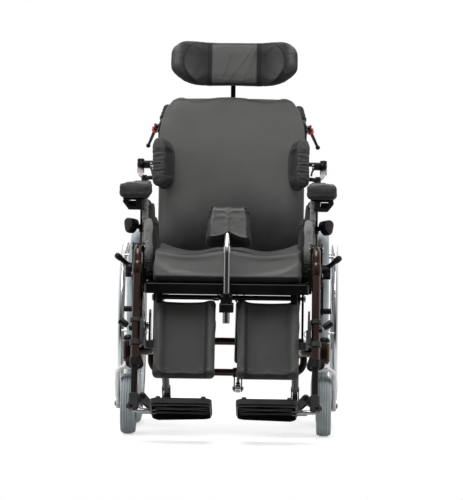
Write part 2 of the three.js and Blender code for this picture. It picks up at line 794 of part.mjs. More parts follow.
const antiTipWheelForm = turning([
  [antiTipWheelBore, -antiTipWheelHalf], [antiTipWheelRadius * half, -antiTipWheelHalf],
  [antiTipWheelRadius, -antiTipWheelHalf * half], [antiTipWheelRadius, antiTipWheelHalf * half],
  [antiTipWheelRadius * half, antiTipWheelHalf], [antiTipWheelBore, antiTipWheelHalf],
], antiTipWheelFacets);

// Seat frame: a pressed steel pan on two rails, with the sockets of what bolts to the seat
const panSheet = 4;
const panLip = 30;
const seatRailFromPan = -44;
const seatRailX = panWidth * half + seatRailFromPan;
const seatRailWidth = 20;
const seatRailBottom = 400;
const seatRailFrontY = -470;
const seatRailRearY = 52;
const frontCrossY = -440;
const frontCrossZ = 417;
const frontCrossRadius = 7.5;
const rearCrossY = -5;
const rearCrossZ = 413;
const rearCrossRadius = 11;
const tiltBossRadius = 20;
const tiltBossThickness = 9;
const reclineStrutX = -26;
const reclineFootY = 95;
const reclineFootZ = 392;
const hingeEarThickness = 6;
const hingeEarRadius = 17;
const hingeEarFootZ = 424;
const hingeEarFootY = 38;
const hingeEarFootRadius = 14;
const hingePinRadius = 6;
const hingeTongue = 15;
const kneeEarThickness = 5;
const kneeEarRadius = 17;
const kneeEarFootZ = 470;
const kneeEarFootRadius = 18;
const kneeBlockTop = 505;
const kneePinRadius = 6;
const hangerRadius = 12;
const armPostFromPan = 14.5;
const armPostX = panWidth * half + armPostFromPan;
const armPostY = -270;
const armPostRadius = 8;
const armPostTop = 640;
const armFootHalf = 14;
const armFootWidth = 8;
const panSideOverlap = 3;
const thighBracketY = -285;
const thighBracketHalf = 11;
const thighBracketTop = 560;
const thighPadOuterFromPan = 2;
const thighPadOuter = panWidth * half + thighPadOuterFromPan;
const thighBracketThickness = 4;
const pommelY = -500;
const pommelStemRadius = 10.5;
const pommelBlockHalf = 21;
const pommelBlockFront = -516;
const pommelBlockBottom = 376;
const pommelBlockTop = 426;

function seatSide() {
  const railTop = panTopZ - panSheet * half;
  const rail = box(
    around(seatRailX, seatRailWidth * half), [seatRailFrontY, seatRailRearY],
    [seatRailBottom, railTop],
  );
  const bossInner = seatRailX + seatRailWidth * half - panSideOverlap;
  const bossOuter = bossInner + tiltBossThickness + panSideOverlap;
  const boss = barAlongX([bossInner, bossOuter], tiltPivotY, tiltPivotZ, tiltBossRadius);
  const bossHole = barAlongX(
    [pivotPinEnd - runningGap, bossOuter + cutOverrun], tiltPivotY, tiltPivotZ,
    boreFor(pivotPinRadius), tubeSides,
  );
  const tongueHalf = hingeTongue * half + runningGap;
  const earOutline = belt([
    [reclinePivotY, reclinePivotZ, hingeEarRadius], [0, hingeEarFootZ, hingeEarFootRadius],
    [hingeEarFootY, hingeEarFootZ, hingeEarFootRadius],
  ], tubeSides);
  const hingeEars = [-1, 1].map((side) => plate(
    earOutline, 'x',
    side < 0 ? [
      seatRailX - tongueHalf - hingeEarThickness, seatRailX - tongueHalf,
    ] : [seatRailX + tongueHalf, seatRailX + tongueHalf + hingeEarThickness],
  ));
  const pinEnd = tongueHalf + hingeEarThickness + panSideOverlap;
  const hingePin = barAlongX(
    around(seatRailX, pinEnd), reclinePivotY, reclinePivotZ, hingePinRadius,
    tubeSides,
  );
  return join(
    cut(join(rail, boss), bossHole), ...hingeEars, hingePin, kneeReceiver(), armPost(),
    thighBracket(),
  );
}

function kneeReceiver() {
  const inner = hangerRadius + 2 * runningGap;
  const outline = belt(
    [[kneePivotY, kneePivotZ, kneeEarRadius], [kneePivotY, kneeEarFootZ, kneeEarFootRadius]],
    tubeSides,
  );
  const ears = [-1, 1].map((side) => plate(
    outline, 'x',
    side < 0 ? [
      kneePivotX - inner - kneeEarThickness, kneePivotX - inner,
    ] : [kneePivotX + inner, kneePivotX + inner + kneeEarThickness],
  ));
  const reach = inner + kneeEarThickness;
  const yRange = around(kneePivotY, kneeEarRadius);
  const bridge = box(
    around(kneePivotX, reach), yRange,
    [kneeEarFootZ - kneeEarFootRadius, kneeBlockTop],
  );
  const root = box(
    [panWidth * half - panSideOverlap, kneePivotX - inner], yRange,
    [panTopZ - panLip, kneeBlockTop],
  );
  const pin = barAlongX(
    [kneePivotX - reach, kneePivotX + reach + panSideOverlap], kneePivotY, kneePivotZ,
    kneePinRadius, tubeSides,
  );
  return join(...ears, bridge, root, pin);
}

function armPost() {
  const foot = box(
    [panWidth * half - panSideOverlap, armPostX + armPostRadius],
    around(armPostY, armFootHalf),
    [panTopZ - panLip, panTopZ - armFootWidth],
  );
  return join(
    foot, post(armPostX, armPostY, [panTopZ - panLip * half, armPostTop], armPostRadius, tubeSides),
  );
}

function thighBracket() {
  const inner = thighPadOuter + seatingGap;
  const yRange = around(thighBracketY, thighBracketHalf);
  return join(
    box([inner, inner + thighBracketThickness], yRange, [panTopZ - panLip, thighBracketTop]),
    box(
      [panWidth * half - panSideOverlap, inner + thighBracketThickness], yRange,
      [panTopZ - panLip, panTopZ - armFootWidth],
    ),
  );
}

function seatFrameForm() {
  const halfPan = panWidth * half;
  const pan = cut(
    box([-halfPan, halfPan], [panFrontY, panRearY], [panTopZ - panLip, panTopZ]),
    box(
      [-halfPan + panSheet, halfPan - panSheet], [panFrontY + panSheet, panRearY - panSheet],
      [panTopZ - panLip - cutOverrun, panTopZ - panSheet],
    ),
  );
  const left = seatSide();
  const right = solid(geometryOf(left, true));
  const frontCross = barAlongX(
    [-seatRailX, seatRailX], frontCrossY, frontCrossZ, frontCrossRadius, tubeSides,
  );
  const rearCross = barAlongX([-seatRailX, seatRailX], rearCrossY, rearCrossZ, rearCrossRadius, tubeSides);
  const pommelBlock = cut(
    box(
      [-pommelBlockHalf, pommelBlockHalf], [pommelBlockFront, frontCrossY + frontCrossRadius],
      [pommelBlockBottom, pommelBlockTop],
    ),
    post(
      0, pommelY, [pommelBlockBottom - cutOverrun, pommelBlockTop + cutOverrun],
      pommelStemRadius + runningGap, tubeSides,
    ),
  );
  return join(
    pan, left, right, frontCross, rearCross, pommelBlock,
    strutEars(strutX, rearCrossY, rearCrossZ, rearCrossRadius, tiltHeadY, tiltHeadZ, true),
    strutEars(reclineStrutX, rearCrossY, rearCrossZ, rearCrossRadius, reclineFootY, reclineFootZ, true),
  );
}

// Struts: a gas cylinder with an eye, and a rod that slides in it
const strutBore = 5.6;
const strutRodRadius = 5;
const strutEyeRadius = 10;
const strutWall = 14;
const strutNeck = 16;
const strutOpenClearance = 3;
const boreShare = 0.25;
const rodInsetShare = 0.25;
const tiltBodyShare = 0.7;
const reclineBodyShare = 0.66;

function strutParts(middleX, head, foot, bodyShare, openEnd) {
  const along = foot.clone().sub(head);
  const length = along.length();
  along.normalize();
  const placed = (distance) => head.clone().addScaledVector(along, distance).setX(middleX);
  const bodyEnd = length * bodyShare;
  const eye = (place, hole) => cut(
    rod(
      place.clone().setX(middleX - strutEyeHalf), place.clone().setX(middleX + strutEyeHalf),
      strutEyeRadius + hole - strutBoltRadius, tubeSides,
    ),
    rod(
      place.clone().setX(middleX - strutEyeHalf - cutOverrun),
      place.clone().setX(middleX + strutEyeHalf + cutOverrun), hole, tubeSides,
    ),
  );
  const neckEnd = strutEyeRadius - cutOverrun;
  const cylinder = cut(
    join(eye(placed(0), boreFor(strutBoltRadius)), spindle(placed(0), along, [
      [strutEyeHalf, neckEnd], [strutEyeHalf, strutNeck], [strutWall, strutNeck], [strutWall, bodyEnd],
    ])),
    rod(placed(bodyEnd * boreShare), placed(bodyEnd + cutOverrun), strutBore, tubeSides),
  );
  const openHole = strutBoltRadius + openEnd;
  const rodEnd = length - openHole - strutEyeRadius * rodInsetShare;
  const piston = join(
    eye(placed(length), openHole),
    rod(placed(bodyEnd - length * (1 - bodyShare) * half), placed(rodEnd), strutRodRadius, tubeSides),
  );
  return { cylinder, piston };
}

const tiltStrut = strutParts(
  strutX, at(strutX, tiltHeadY, tiltHeadZ), at(strutX, tiltFootY, tiltFootZ), tiltBodyShare,
  strutOpenClearance,
);

// Soft seat parts
const cushionFrontY = -482;
const cushionRearY = -46;
const cushionThickness = 90;
const cushionRoundness = 7;
const cushionRampShares = [-0.2, 0.9];
const wholeShares = [-1, 1];
const nearHalfShares = [-1, 0];
const frontShares = [-1, 0.6];
const thighTrough = 16;
const pelvicWell = 10;
const cushionDrawIn = 6;
const pommelPadWidth = 128;
const pommelPadHeight = 118;
const pommelPadDepth = 84;
const pommelPadY = -428;
const pommelPadZ = 624;
const pommelTaper = 9;
const pommelNotch = 16;
const pommelRoundness = 5;
const notchShare = 0.3;
const notchHeightShares = [-1, -0.3];
const notchDepthShares = [-0.8, 0.4];
const stemLowEnd = 345;
const stemBendZ = 566;
const stemTipY = -462;
const stemTipZ = 604;
const stemBend = 40;
const thighPadWidth = 28;
const thighPadDepth = 118;
const thighPadBottom = 460.6;
const thighPadHeight = 186;
const thighRoundness = 3;

function seatCushionForm() {
  const halfX = seatWidth * half;
  const halfY = (cushionRearY - cushionFrontY) * half;
  const halfZ = cushionThickness * half;
  const form = stuffed([10, 8, 2], [halfX, halfY, halfZ], cushionRoundness, (u, v, w) => {
    const front = 1 - ramp(v, cushionRampShares);
    const rising = ramp(w, cushionRampShares);
    const trough = -thighTrough * Math.sin(Math.PI * Math.min(1, Math.abs(u))) ** 2 * front;
    const well = -pelvicWell * (1 - u * u) * (1 - front);
    const drawIn = -cushionDrawIn * (1 - v * v) * Math.sign(u) * Math.abs(u) ** 6;
    const sideDraw = -cushionDrawIn * (1 - u * u) * Math.sign(v) * Math.abs(v) ** 6 * ramp(v, wholeShares);
    return [drawIn, sideDraw, (trough + well) * rising];
  });
  return moved(form, 0, (cushionRearY + cushionFrontY) * half, panTopZ + seatingGap + halfZ);
}

function pommelPadForm() {
  const sizes = [pommelPadWidth * half, pommelPadDepth * half, pommelPadHeight * half];
  const form = stuffed([5, 3, 4], sizes, pommelRoundness, (u, v, w) => [
    -u * pommelTaper * (w + 1) * half, 0,
    pommelNotch * bump(u, notchShare) * (1 - ramp(w, notchHeightShares)) * (1 - ramp(v, notchDepthShares)),
  ]);
  const socket = tube(
    [at(0, pommelY, stemLowEnd), at(0, pommelY, stemBendZ), at(0, stemTipY, stemTipZ)],
    pommelStemRadius + runningGap, stemBend,
  );
  return cut(moved(form, 0, pommelPadY, pommelPadZ), socket);
}

const pommelStemForm = tube(
  [
    at(0, pommelY, stemLowEnd), at(0, pommelY, stemBendZ),
    at(0, stemTipY - runningGap, stemTipZ - runningGap),
  ],
  pommelStemRadius, stemBend,
);

function thighPadForm() {
  const size = [thighPadWidth * half, thighPadDepth * half, thighPadHeight * half];
  const form = stuffed([2, 4, 4], size, thighRoundness);
  return moved(
    form, thighPadOuter - thighPadWidth * half, thighBracketY,
    thighPadBottom + thighPadHeight * half,
  );
}

// Armrest: a sleeve on the seat's post, a cast cradle, a knob, a pad and a padded side guard
const sleeveRadius = 10;
const sleeveBottom = 562;
const armPadInnerFromPan = -7;
const armPadInner = panWidth * half + armPadInnerFromPan;
const armPadWidth = 86;
const armPadFront = -452;
const armPadRear = -130;
const armPadBottom = 711;
const armPadThickness = 39;
const armPadRoundness = 4.5;
const armPlateThickness = 5;
const armPlateInset = 9;
const cradleHalf = 42;
const cradleWall = 5;
const cradleTopInnerFromPan = 24;
const cradleTopInner = panWidth * half + cradleTopInnerFromPan;
const cradleTopOuterFromPan = 74;
const cradleTopOuter = panWidth * half + cradleTopOuterFromPan;
const cradleFootOuterFromPan = 56;
const cradleFootOuter = panWidth * half + cradleFootOuterFromPan;
const cradleHeight = 34;
const knobZ = 615;
const knobInnerFromPan = 28;
const knobInner = panWidth * half + knobInnerFromPan;
const knobOuterFromPan = 56;
const knobOuter = panWidth * half + knobOuterFromPan;
const knobLobe = 13;
const knobReach = 13;
const knobShank = 5;
const guardOuterFromPan = 2.5;
const guardOuter = panWidth * half + guardOuterFromPan;
const guardThickness = 17;
const guardRoundness = 3.5;
const guardFront = -224;
const guardRear = -106;
const guardBottom = 500;
const guardTop = 702;
const guardArmZ = 640;
const guardArmHeight = 22;
const guardArmThickness = 3;

function armrestFrameForm() {
  const sleeve = post(
    armPostX, armPostY, [sleeveBottom, armPadBottom - armPlateThickness], sleeveRadius, tubeSides,
  );
  const hollow = post(
    armPostX, armPostY, [sleeveBottom - cutOverrun, armPostTop + 2 * armFootWidth],
    armPostRadius + runningGap, tubeSides,
  );
  const plateTop = armPadBottom - seatingGap;
  const support = box(
    [armPadInner + armPlateInset, armPadInner + armPadWidth - armPlateInset],
    [armPadFront + armPlateInset * 3, armPadRear - armPlateInset * 3],
    [plateTop - armPlateThickness, plateTop],
  );
  const cradleOutline = new THREE.Shape([
    new THREE.Vector2(armPostX, plateTop - armPlateThickness * half),
    new THREE.Vector2(armPostX, plateTop - cradleHeight),
    new THREE.Vector2(cradleFootOuter, plateTop - cradleHeight),
    new THREE.Vector2(cradleTopOuter, plateTop - armPlateThickness * half),
  ]);
  const window = new THREE.Path([
    new THREE.Vector2(cradleTopInner + cradleWall, plateTop - armPlateThickness - half * cradleWall),
    new THREE.Vector2(cradleTopInner + cradleWall, plateTop - cradleHeight + cradleWall),
    new THREE.Vector2(cradleFootOuter - cradleWall, plateTop - cradleHeight + cradleWall),
    new THREE.Vector2(cradleTopOuter - 2 * cradleWall, plateTop - armPlateThickness - half * cradleWall),
  ]);
  cradleOutline.holes.push(window);
  const cradle = plate(cradleOutline, 'y', [armPostY - cradleHalf, armPostY + cradleHalf * half]);
  const knob = lobedKnob([knobInner, knobOuter], armPostY, knobZ, knobLobe, knobReach);
  const shank = barAlongX(
    [armPostX + armPostRadius + runningGap, knobOuter], armPostY, knobZ, knobShank, slimSides,
  );
  const guardArm = box(
    [guardOuter + seatingGap, guardOuter + seatingGap + guardArmThickness],
    [armPostY, guardRear - guardArmHeight],
    around(guardArmZ, guardArmHeight * half),
  );
  return cut(join(sleeve, support, cradle, knob, guardArm), hollow).add(shank);
}

// A three-lobed hand knob on an axis along X
function lobedKnob([inner, outer], y, z, lobe, reach) {
  const lobes = [0, 1, 2].map((i) => {
    const angle = fullTurn * i / 3 + quarterTurn;
    return [y + reach * Math.cos(angle), z + reach * Math.sin(angle), lobe];
  });
  return plate(belt(lobes, slimSides), 'x', [inner, outer]);
}

function armPadForm() {
  const length = armPadRear - armPadFront;
  const size = [armPadWidth * half, length * half, armPadThickness * half];
  const form = stuffed([3, 7, 2], size, armPadRoundness);
  return moved(
    form, armPadInner + armPadWidth * half, (armPadFront + armPadRear) * half,
    armPadBottom + armPadThickness * half,
  );
}

function sideGuardForm() {
  const size = [guardThickness * half, (guardRear - guardFront) * half, (guardTop - guardBottom) * half];
  const form = stuffed([2, 4, 4], size, guardRoundness);
  return moved(
    form, guardOuter - guardThickness * half, (guardFront + guardRear) * half,
    (guardBottom + guardTop) * half,
  );
}

// Back frame, drawn upright from the recline pivot: canes, handles, a shell and brackets
const caneFromPan = -44;
const caneX = panWidth * half + caneFromPan;
const caneRadius = 11;
const caneStart = 26;
const tongueRadius = 16;
const tongueTop = 38;
const caneFlareZ = 330;
const caneFlareFromPan = -22;
const caneFlareX = panWidth * half + caneFlareFromPan;
const handleRootZ = 452;
const handleRootY = 5;
const handleBaseZ = 405;
const handleTipFromPan = -38;
const handleTipX = panWidth * half + handleTipFromPan;
const handleTipY = 95;
const handleTipZ = 521;
const handleBend = 24;
const gripRadius = 16;
const gripStartShare = 0.32;
const gripEndCap = 5;
const shellHalf = 212;
const shellBottom = 40;
const shellTop = 498;
const shellCorner = 70;
const shellBackY = -8;
const shellThickness = 7;
const shellSlotHalf = 120;
const shellSlotHeight = 16;
const shellSlotPlaces = [130, 270];
const lowerBackCrossZ = 72;
const lowerBackCrossRadius = 10;
const reclineHeadY = 58;
const reclineHeadZ = 205;
const reclineCrossZ = 188;
const headBlockHalf = 24;
const headBlockBottom = 392;
const headBlockTop = 462;
const headBlockDepth = 26;
const headStemHalf = 7.5;
const headStemDepth = 8;
const headStemY = 10;
const lateralBarZ = 334;
const lateralBarRadius = 7;
const lateralHingeFromPan = 42;
const lateralHingeX = panWidth * half + lateralHingeFromPan;
const lateralHingeY = 12;
const lateralHeadRadius = 11;
const lateralHeadHeight = 24;
const lateralKnuckle = 20;
const lateralPinRadius = 4;
const leverPivotFromPan = -5;
const leverPivotX = panWidth * half + leverPivotFromPan;
const leverPivotY = 14;
const leverPivotZ = 450;
const leverLugHalf = 4;
const leverLugRadius = 8;
const leverPinRadius = 2.5;

function backSide() {
  const cane = tube([
    at(caneX, 0, caneStart), at(caneX, 0, caneFlareZ), at(caneFlareX, 0, handleBaseZ),
    at(caneFlareX, handleRootY, handleRootZ), at(handleTipX, handleTipY, handleTipZ),
  ], caneRadius, handleBend);
  const tongueHalf = hingeTongue * half;
  const tongue = cut(
    plate(
      belt([[0, 0, tongueRadius], [0, tongueTop, caneRadius]], tubeSides), 'x',
      around(caneX, tongueHalf),
    ),
    barAlongX(around(caneX, caneRadius), 0, 0, boreFor(hingePinRadius), tubeSides),
  );
  const bar = rod(
    at(caneX, lateralHingeY * half, lateralBarZ), at(lateralHingeX, lateralHingeY, lateralBarZ),
    lateralBarRadius, tubeSides,
  );
  const headBottom = lateralBarZ - lateralHeadHeight * half;
  const head = post(
    lateralHingeX, lateralHingeY, [headBottom, headBottom + lateralHeadHeight], lateralHeadRadius,
  );
  const pin = post(
    lateralHingeX, lateralHingeY, [headBottom - lateralKnuckle - runningGap, lateralBarZ],
    lateralPinRadius, tubeSides,
  );
  const lug = join(
    plate(
      belt([
        [leverPivotY, leverPivotZ, leverLugRadius],
        [handleRootY, handleRootZ - leverLugRadius * 2, leverLugRadius],
      ], tubeSides),
      'x', [caneFlareX, leverPivotX - leverLugHalf - runningGap],
    ),
    barAlongX(
      [leverPivotX - leverLugHalf * 2, leverPivotX + leverLugHalf], leverPivotY, leverPivotZ,
      leverPinRadius, slimSides,
    ),
  );
  return join(cane, tongue, bar, head, pin, lug);
}

function backFrameForm() {
  const shellMiddle = (shellBottom + shellTop) * half;
  const outline = belt([
    [shellHalf - shellCorner, shellTop - shellCorner, shellCorner],
    [-shellHalf + shellCorner, shellTop - shellCorner, shellCorner],
    [shellHalf - caneRadius, shellBottom + caneRadius, caneRadius],
    [-shellHalf + caneRadius, shellBottom + caneRadius, caneRadius],
  ]);
  const shell = plate(outline, 'y', [shellBackY - shellThickness, shellBackY]);
  const slots = shellSlotPlaces.map((z) => plate(
    belt(
      [[-shellSlotHalf, z, shellSlotHeight * half], [shellSlotHalf, z, shellSlotHeight * half]],
      slimSides,
    ),
    'y',
    [shellBackY - shellThickness - cutOverrun, shellBackY + cutOverrun],
  ));
  const cross = (z, radius) => barAlongX([-caneX, caneX], 0, z, radius, tubeSides);
  const block = cut(
    box(
      [-headBlockHalf, headBlockHalf], [shellBackY - half, shellBackY + headBlockDepth],
      [headBlockBottom, headBlockTop],
    ),
    box(
      [-headStemHalf - runningGap, headStemHalf + runningGap],
      [headStemY - headStemDepth * half - runningGap, headStemY + headStemDepth * half + runningGap],
      [headBlockBottom - cutOverrun, headBlockTop + cutOverrun],
    ),
  );
  const left = backSide();
  const right = solid(geometryOf(left, true));
  const ears = strutEars(
    reclineStrutX, 0, reclineCrossZ, lowerBackCrossRadius, reclineHeadY, reclineHeadZ, true,
  );
  return join(
    cut(shell, ...slots), cross(lowerBackCrossZ, lowerBackCrossRadius),
    cross(reclineCrossZ, lowerBackCrossRadius), block, left, right, ears,
  );
}

// Back cushion and headrest
const backCushionFront = -72;
const backCushionBottom = 26;
const backWing = 14;
const backRoundness = 6;
const hollowShares = [0.2, 0.95];
const headPadWidth = 406;
const headPadHeight = 142;
const headPadDepth = 62;
const headPadZ = 646;
const headPadBackY = -14;
const headWing = 26;
const headCentreShare = 0.37;
const headChannel = 7;
const headRoundness = 3.6;
const channelShare = 0.07;
const headStemTop = 676;
const headStemBottom = 372;
const headHingeZ = 646;
const headLug = 12;
const headPinRadius = 4;

function backCushionForm() {
  const back = shellBackY - shellThickness - seatingGap;
  const halfY = (back - backCushionFront) * half;
  const halfZ = (backTop - backCushionBottom) * half;
  const form = stuffed([9, 2, 9], [backWidth * half, halfY, halfZ], backRoundness, (u, v, w) => {
    const front = 1 - ramp(v, frontShares);
    const hollow = backWing * (1 - ramp(Math.abs(u), hollowShares)) * front;
    const waist = -backWing * half * u * (1 - ramp(w, nearHalfShares));
    return [waist, hollow, 0];
  });
  return moved(form, 0, back - halfY, (backTop + backCushionBottom) * half);
}

function headPadForm() {
  const sizes = [headPadWidth * half, headPadDepth * half, headPadHeight * half];
  const form = stuffed([12, 2, 4], sizes, headRoundness, (u, v, w) => {
    const side = Math.abs(u);
    const wing = ramp(side, [headCentreShare, 1]);
    const channel = bump(side - headCentreShare, channelShare) * (1 - ramp(v, nearHalfShares)) * headChannel;
    return [0, -wing * headWing + channel, 0];
  });
  const housing = box(
    [-headLug - runningGap, headLug + runningGap],
    [headPadBackY - headLug - headLug * half, headPadBackY + headPadDepth],
    [headHingeZ - headLug * 2, headHingeZ + headLug * 2],
  );
  const pin = barAlongX(
    [-headLug * 2, headLug * 2], headPadBackY - headPinRadius, headHingeZ, headPinRadius, slimSides,
  );
  return cut(moved(form, 0, headPadBackY - headPadDepth * half, headPadZ), housing).add(pin);
}

function headStemForm() {
  const stem = box(
    [-headStemHalf, headStemHalf],
    around(headStemY, headStemDepth * half),
    [headStemBottom, headStemTop],
  );
  const knuckle = cut(
    plate(
      belt(
        [
          [headStemY, headHingeZ, headLug * half],
          [headPadBackY - headPinRadius, headHingeZ, headLug - headPinRadius],
        ],
        tubeSides,
      ),
      'x', [-headStemHalf, headStemHalf],
    ),
    barAlongX(
      [-headLug * 2, headLug * 2], headPadBackY - headPinRadius, headHingeZ, boreFor(headPinRadius),
      tubeSides,
    ),
  );
  return join(stem, knuckle);
}

const reclineStrut = strutParts(
  reclineStrutX, at(reclineStrutX, reclineFootY, reclineFootZ), reclineHead(), reclineBodyShare,
  strutOpenClearance,
);

function reclineHead() {
  const lean = radians(-backLean);
  return at(
    reclineStrutX, reclineHeadY, reclineHeadZ,
  ).applyAxisAngle(X, lean).add(at(0, reclinePivotY, reclinePivotZ));
}

// Push handle: a shaped grip, a release lever and its red safety catch
const releaseTipFromPan = 16;
const releaseTipX = panWidth * half + releaseTipFromPan;
const releaseTipY = 103;
const releaseTipZ = 402;
const releaseRoot = 5;
const releaseEnd = 3.4;
const releaseBall = 6;
const ballShare = 0.7;
const catchInner = 5.8;
const catchOuter = 10;
const catchStart = 14;
const catchLength = 9;
const catchArm = 26;

function pushGripForm() {
  const root = at(caneFlareX, handleRootY, handleRootZ);
  const tip = at(handleTipX, handleTipY, handleTipZ);
  const along = tip.clone().sub(root).normalize();
  const start = root.clone().lerp(tip, gripStartShare);
  const end = tip.clone().addScaledVector(along, gripEndCap);
  const swellShares = [
    [0, 0.86], [0.12, 1], [0.3, 0.9], [0.42, 1], [0.58, 0.9], [0.7, 1], [0.9, 0.98], [1, 0.72],
  ];
  const profile = swellShares.map(([share, swell]) => [gripRadius * swell, share * start.distanceTo(end)]);
  const geometry = new THREE.LatheGeometry(
    [[0, 0], ...profile, [0, start.distanceTo(end)]].map(([radius, y]) => new THREE.Vector2(radius, y)),
    tubeSides,
  );
  geometry.applyQuaternion(
    new THREE.Quaternion().setFromUnitVectors(Y, along),
  ).translate(start.x, start.y, start.z);
  const inside = rod(
    start.clone().addScaledVector(along, -cutOverrun),
    tip.clone().addScaledVector(along, seatingGap), boreFor(caneRadius), tubeSides,
  );
  return cut(solid(geometry), inside);
}

function releaseLeverForm() {
  const pivot = at(leverPivotX, leverPivotY, leverPivotZ);
  const tip = at(releaseTipX, releaseTipY, releaseTipZ);
  const along = tip.clone().sub(pivot).normalize();
  const hub = rod(
    pivot.clone().setX(leverPivotX - leverLugHalf), pivot.clone().setX(leverPivotX + leverLugHalf),
    leverLugRadius, tubeSides,
  );
  const reach = pivot.distanceTo(tip);
  const arm = spindle(pivot, along, [
    [releaseRoot, 0], [releaseEnd, reach - releaseBall],
    [releaseBall * ballShare, reach - releaseBall * ballShare],
    [releaseBall, reach], [releaseBall * ballShare, reach + releaseBall * ballShare],
  ], slimSides);
  const hole = rod(
    pivot.clone().setX(leverPivotX - leverLugHalf * 3), pivot.clone().setX(leverPivotX + leverLugHalf * 3),
    boreFor(leverPinRadius, slimSides), slimSides,
  );
  return cut(join(hub, arm), hole);
}

// The catch is a red collar round the lever's root, with a prong that reaches up to the handle
function releaseCatchForm() {
  const pivot = at(leverPivotX, leverPivotY, leverPivotZ);
  const along = at(releaseTipX, releaseTipY, releaseTipZ).sub(pivot).normalize();
  const start = pivot.clone().addScaledVector(along, catchStart);
  const end = start.clone().addScaledVector(along, catchLength);
  const collar = cut(
    rod(start, end, catchOuter, tubeSides),
    rod(
      start.clone().addScaledVector(along, -cutOverrun),
      end.clone().addScaledVector(along, cutOverrun), catchInner, tubeSides,
    ),
  );
  const prongFoot = start.clone().lerp(end, half).add(at(0, 0, (catchInner + catchOuter) * half));
  const prong = rod(
    prongFoot, prongFoot.clone().add(at(0, 0, catchArm * half)), (catchOuter - catchInner),
    slimSides,
  );
  return join(collar, prong);
}

// Lateral support: a swing-away arm and its padded plate, drawn in the back's frame
const lateralArmWidth = 9;
const lateralElbowFromPan = 24;
const lateralElbowX = panWidth * half + lateralElbowFromPan;
const lateralElbowY = -108;
const lateralElbowZ = 268;
const lateralDrop = 40;
const lateralPadFromPan = -30;
const lateralPadX = panWidth * half + lateralPadFromPan;
const lateralPadY = -131;
const lateralPadZ = 308;
const lateralPadThickness = 42;
const lateralPadDepth = 112;
const lateralPadHeight = 155;
const lateralRoundness = 3.2;
const lateralSplay = radians(10);
const lateralPlate = 4;
const lateralPlateRadius = 20;
const lateralStubRadius = 5.6;

function lateralArmForm() {
  const headBottom = lateralBarZ - lateralHeadHeight * half;
  const top = headBottom - runningGap;
  const knuckle = post(lateralHingeX, lateralHingeY, [top - lateralKnuckle, top], lateralHeadRadius);
  const arm = tube([
    at(lateralHingeX, lateralHingeY, top - lateralKnuckle * half),
    at(lateralHingeX, lateralElbowY * half, lateralElbowZ + lateralDrop * half),
    at(lateralElbowX, lateralElbowY, lateralElbowZ),
  ], lateralArmWidth, lateralDrop, slimSides);
  const pinHole = post(
    lateralHingeX, lateralHingeY, [top - lateralKnuckle - cutOverrun, top + cutOverrun],
    boreFor(lateralPinRadius), tubeSides,
  );
  const outward = at(Math.cos(lateralSplay), Math.sin(lateralSplay), 0);
  const face = at(lateralPadX, lateralPadY, lateralElbowZ).addScaledVector(
    outward, lateralPadThickness * half + seatingGap,
  );
  const disc = rod(face, face.clone().addScaledVector(outward, lateralPlate), lateralPlateRadius);
  const stub = rod(
    face.clone().addScaledVector(outward, lateralPlate * half),
    at(lateralElbowX, lateralElbowY, lateralElbowZ), lateralStubRadius, slimSides,
  );
  return cut(join(knuckle, arm, disc, stub), pinHole);
}

function lateralPadForm() {
  const form = stuffed(
    [2, 4, 4],
    [lateralPadThickness * half, lateralPadDepth * half, lateralPadHeight * half],
    lateralRoundness,
  );
  return moved(turned(form, Z, lateralSplay), lateralPadX, lateralPadY, lateralPadZ);
}

// Legrest, drawn hanging straight down from the knee pivot
const hangerReach = 45;
const hangerEnd = -378;
const hangerBend = 36;
const hangerBore = 10.4;
const hangerBoreTop = -120;
const kneeBossRadius = 14;
const endCollarRadius = 15;
const endCollarHeight = 24;
const footKnobZ = -357;
const footKnobLobe = 14;
const footKnobReach = 13;
const footKnobThickness = 16;
const legTubeRadius = 9.8;
const legTubeTop = -160;
const legTubeEnd = -512;
const clampRadius = 15;
const clampTop = -462;
const flipX = -27;
const flipZ = -475;
const flipEarRadius = 11;
const flipEarHalf = 12;
const flipPinRadius = 5;
const flipPinHead = 9;
const flipPinHeadHeight = 5;
const stopRadius = 5.5;
const stopEndX = -49;
const stopZ = -513;
const calfUpperZ = -239;
const calfLowerZ = -307;
const calfCollarRadius = 17;
const calfUpperHeight = 12;
const calfLowerHeight = 16;
const calfWebInner = -24;
const calfWebOuter = -13;
const calfArmTop = -262;
const calfArmBottom = -286;
const calfArmThickness = 8;
const calfPadFront = 30;
const calfPadDepth = 45;
const calfPadInner = 32;
const calfPadFromKnee = -48;
const calfPadOuter = kneePivotX + calfPadFromKnee;
const calfPadTop = -154;
const calfPadBottom = -380;
const calfBolster = 15;
const calfRoundness = 6;
const bolsterShares = [0.35, 0.85];
const calfPivotX = -84;
const calfPivotY = calfPadFront + calfPadDepth + calfArmThickness + calfArmThickness * half;
const calfPivotZ = (calfArmTop + calfArmBottom) * half;
const calfPivotLength = 44;
const calfPivotRadius = 6;
const calfLugStart = 8;
const calfLugWidth = 26;
const calfLugHalf = 11;
const calfLeverX = 52;
const calfLeverZ = -276;
const calfLeverRootZ = -303;
const calfLeverGrip = 9;
const calfLeverRod = 3;
const calfGripShare = 0.35;
const calfGripTaperShare = 0.75;
const plateFromMiddle = 35;
const plateInnerX = plateFromMiddle - kneePivotX;
const plateOuterX = -50;
const plateToeY = -127;
const plateHeelY = 27;
const plateTopZ = -500;
const plateWall = 20;
const plateSheet = 4;
const plateRim = 4;
const plateCorner = 22;
const plateRib = 3;
const plateLug = 11;
const plateRibDepth = 12;

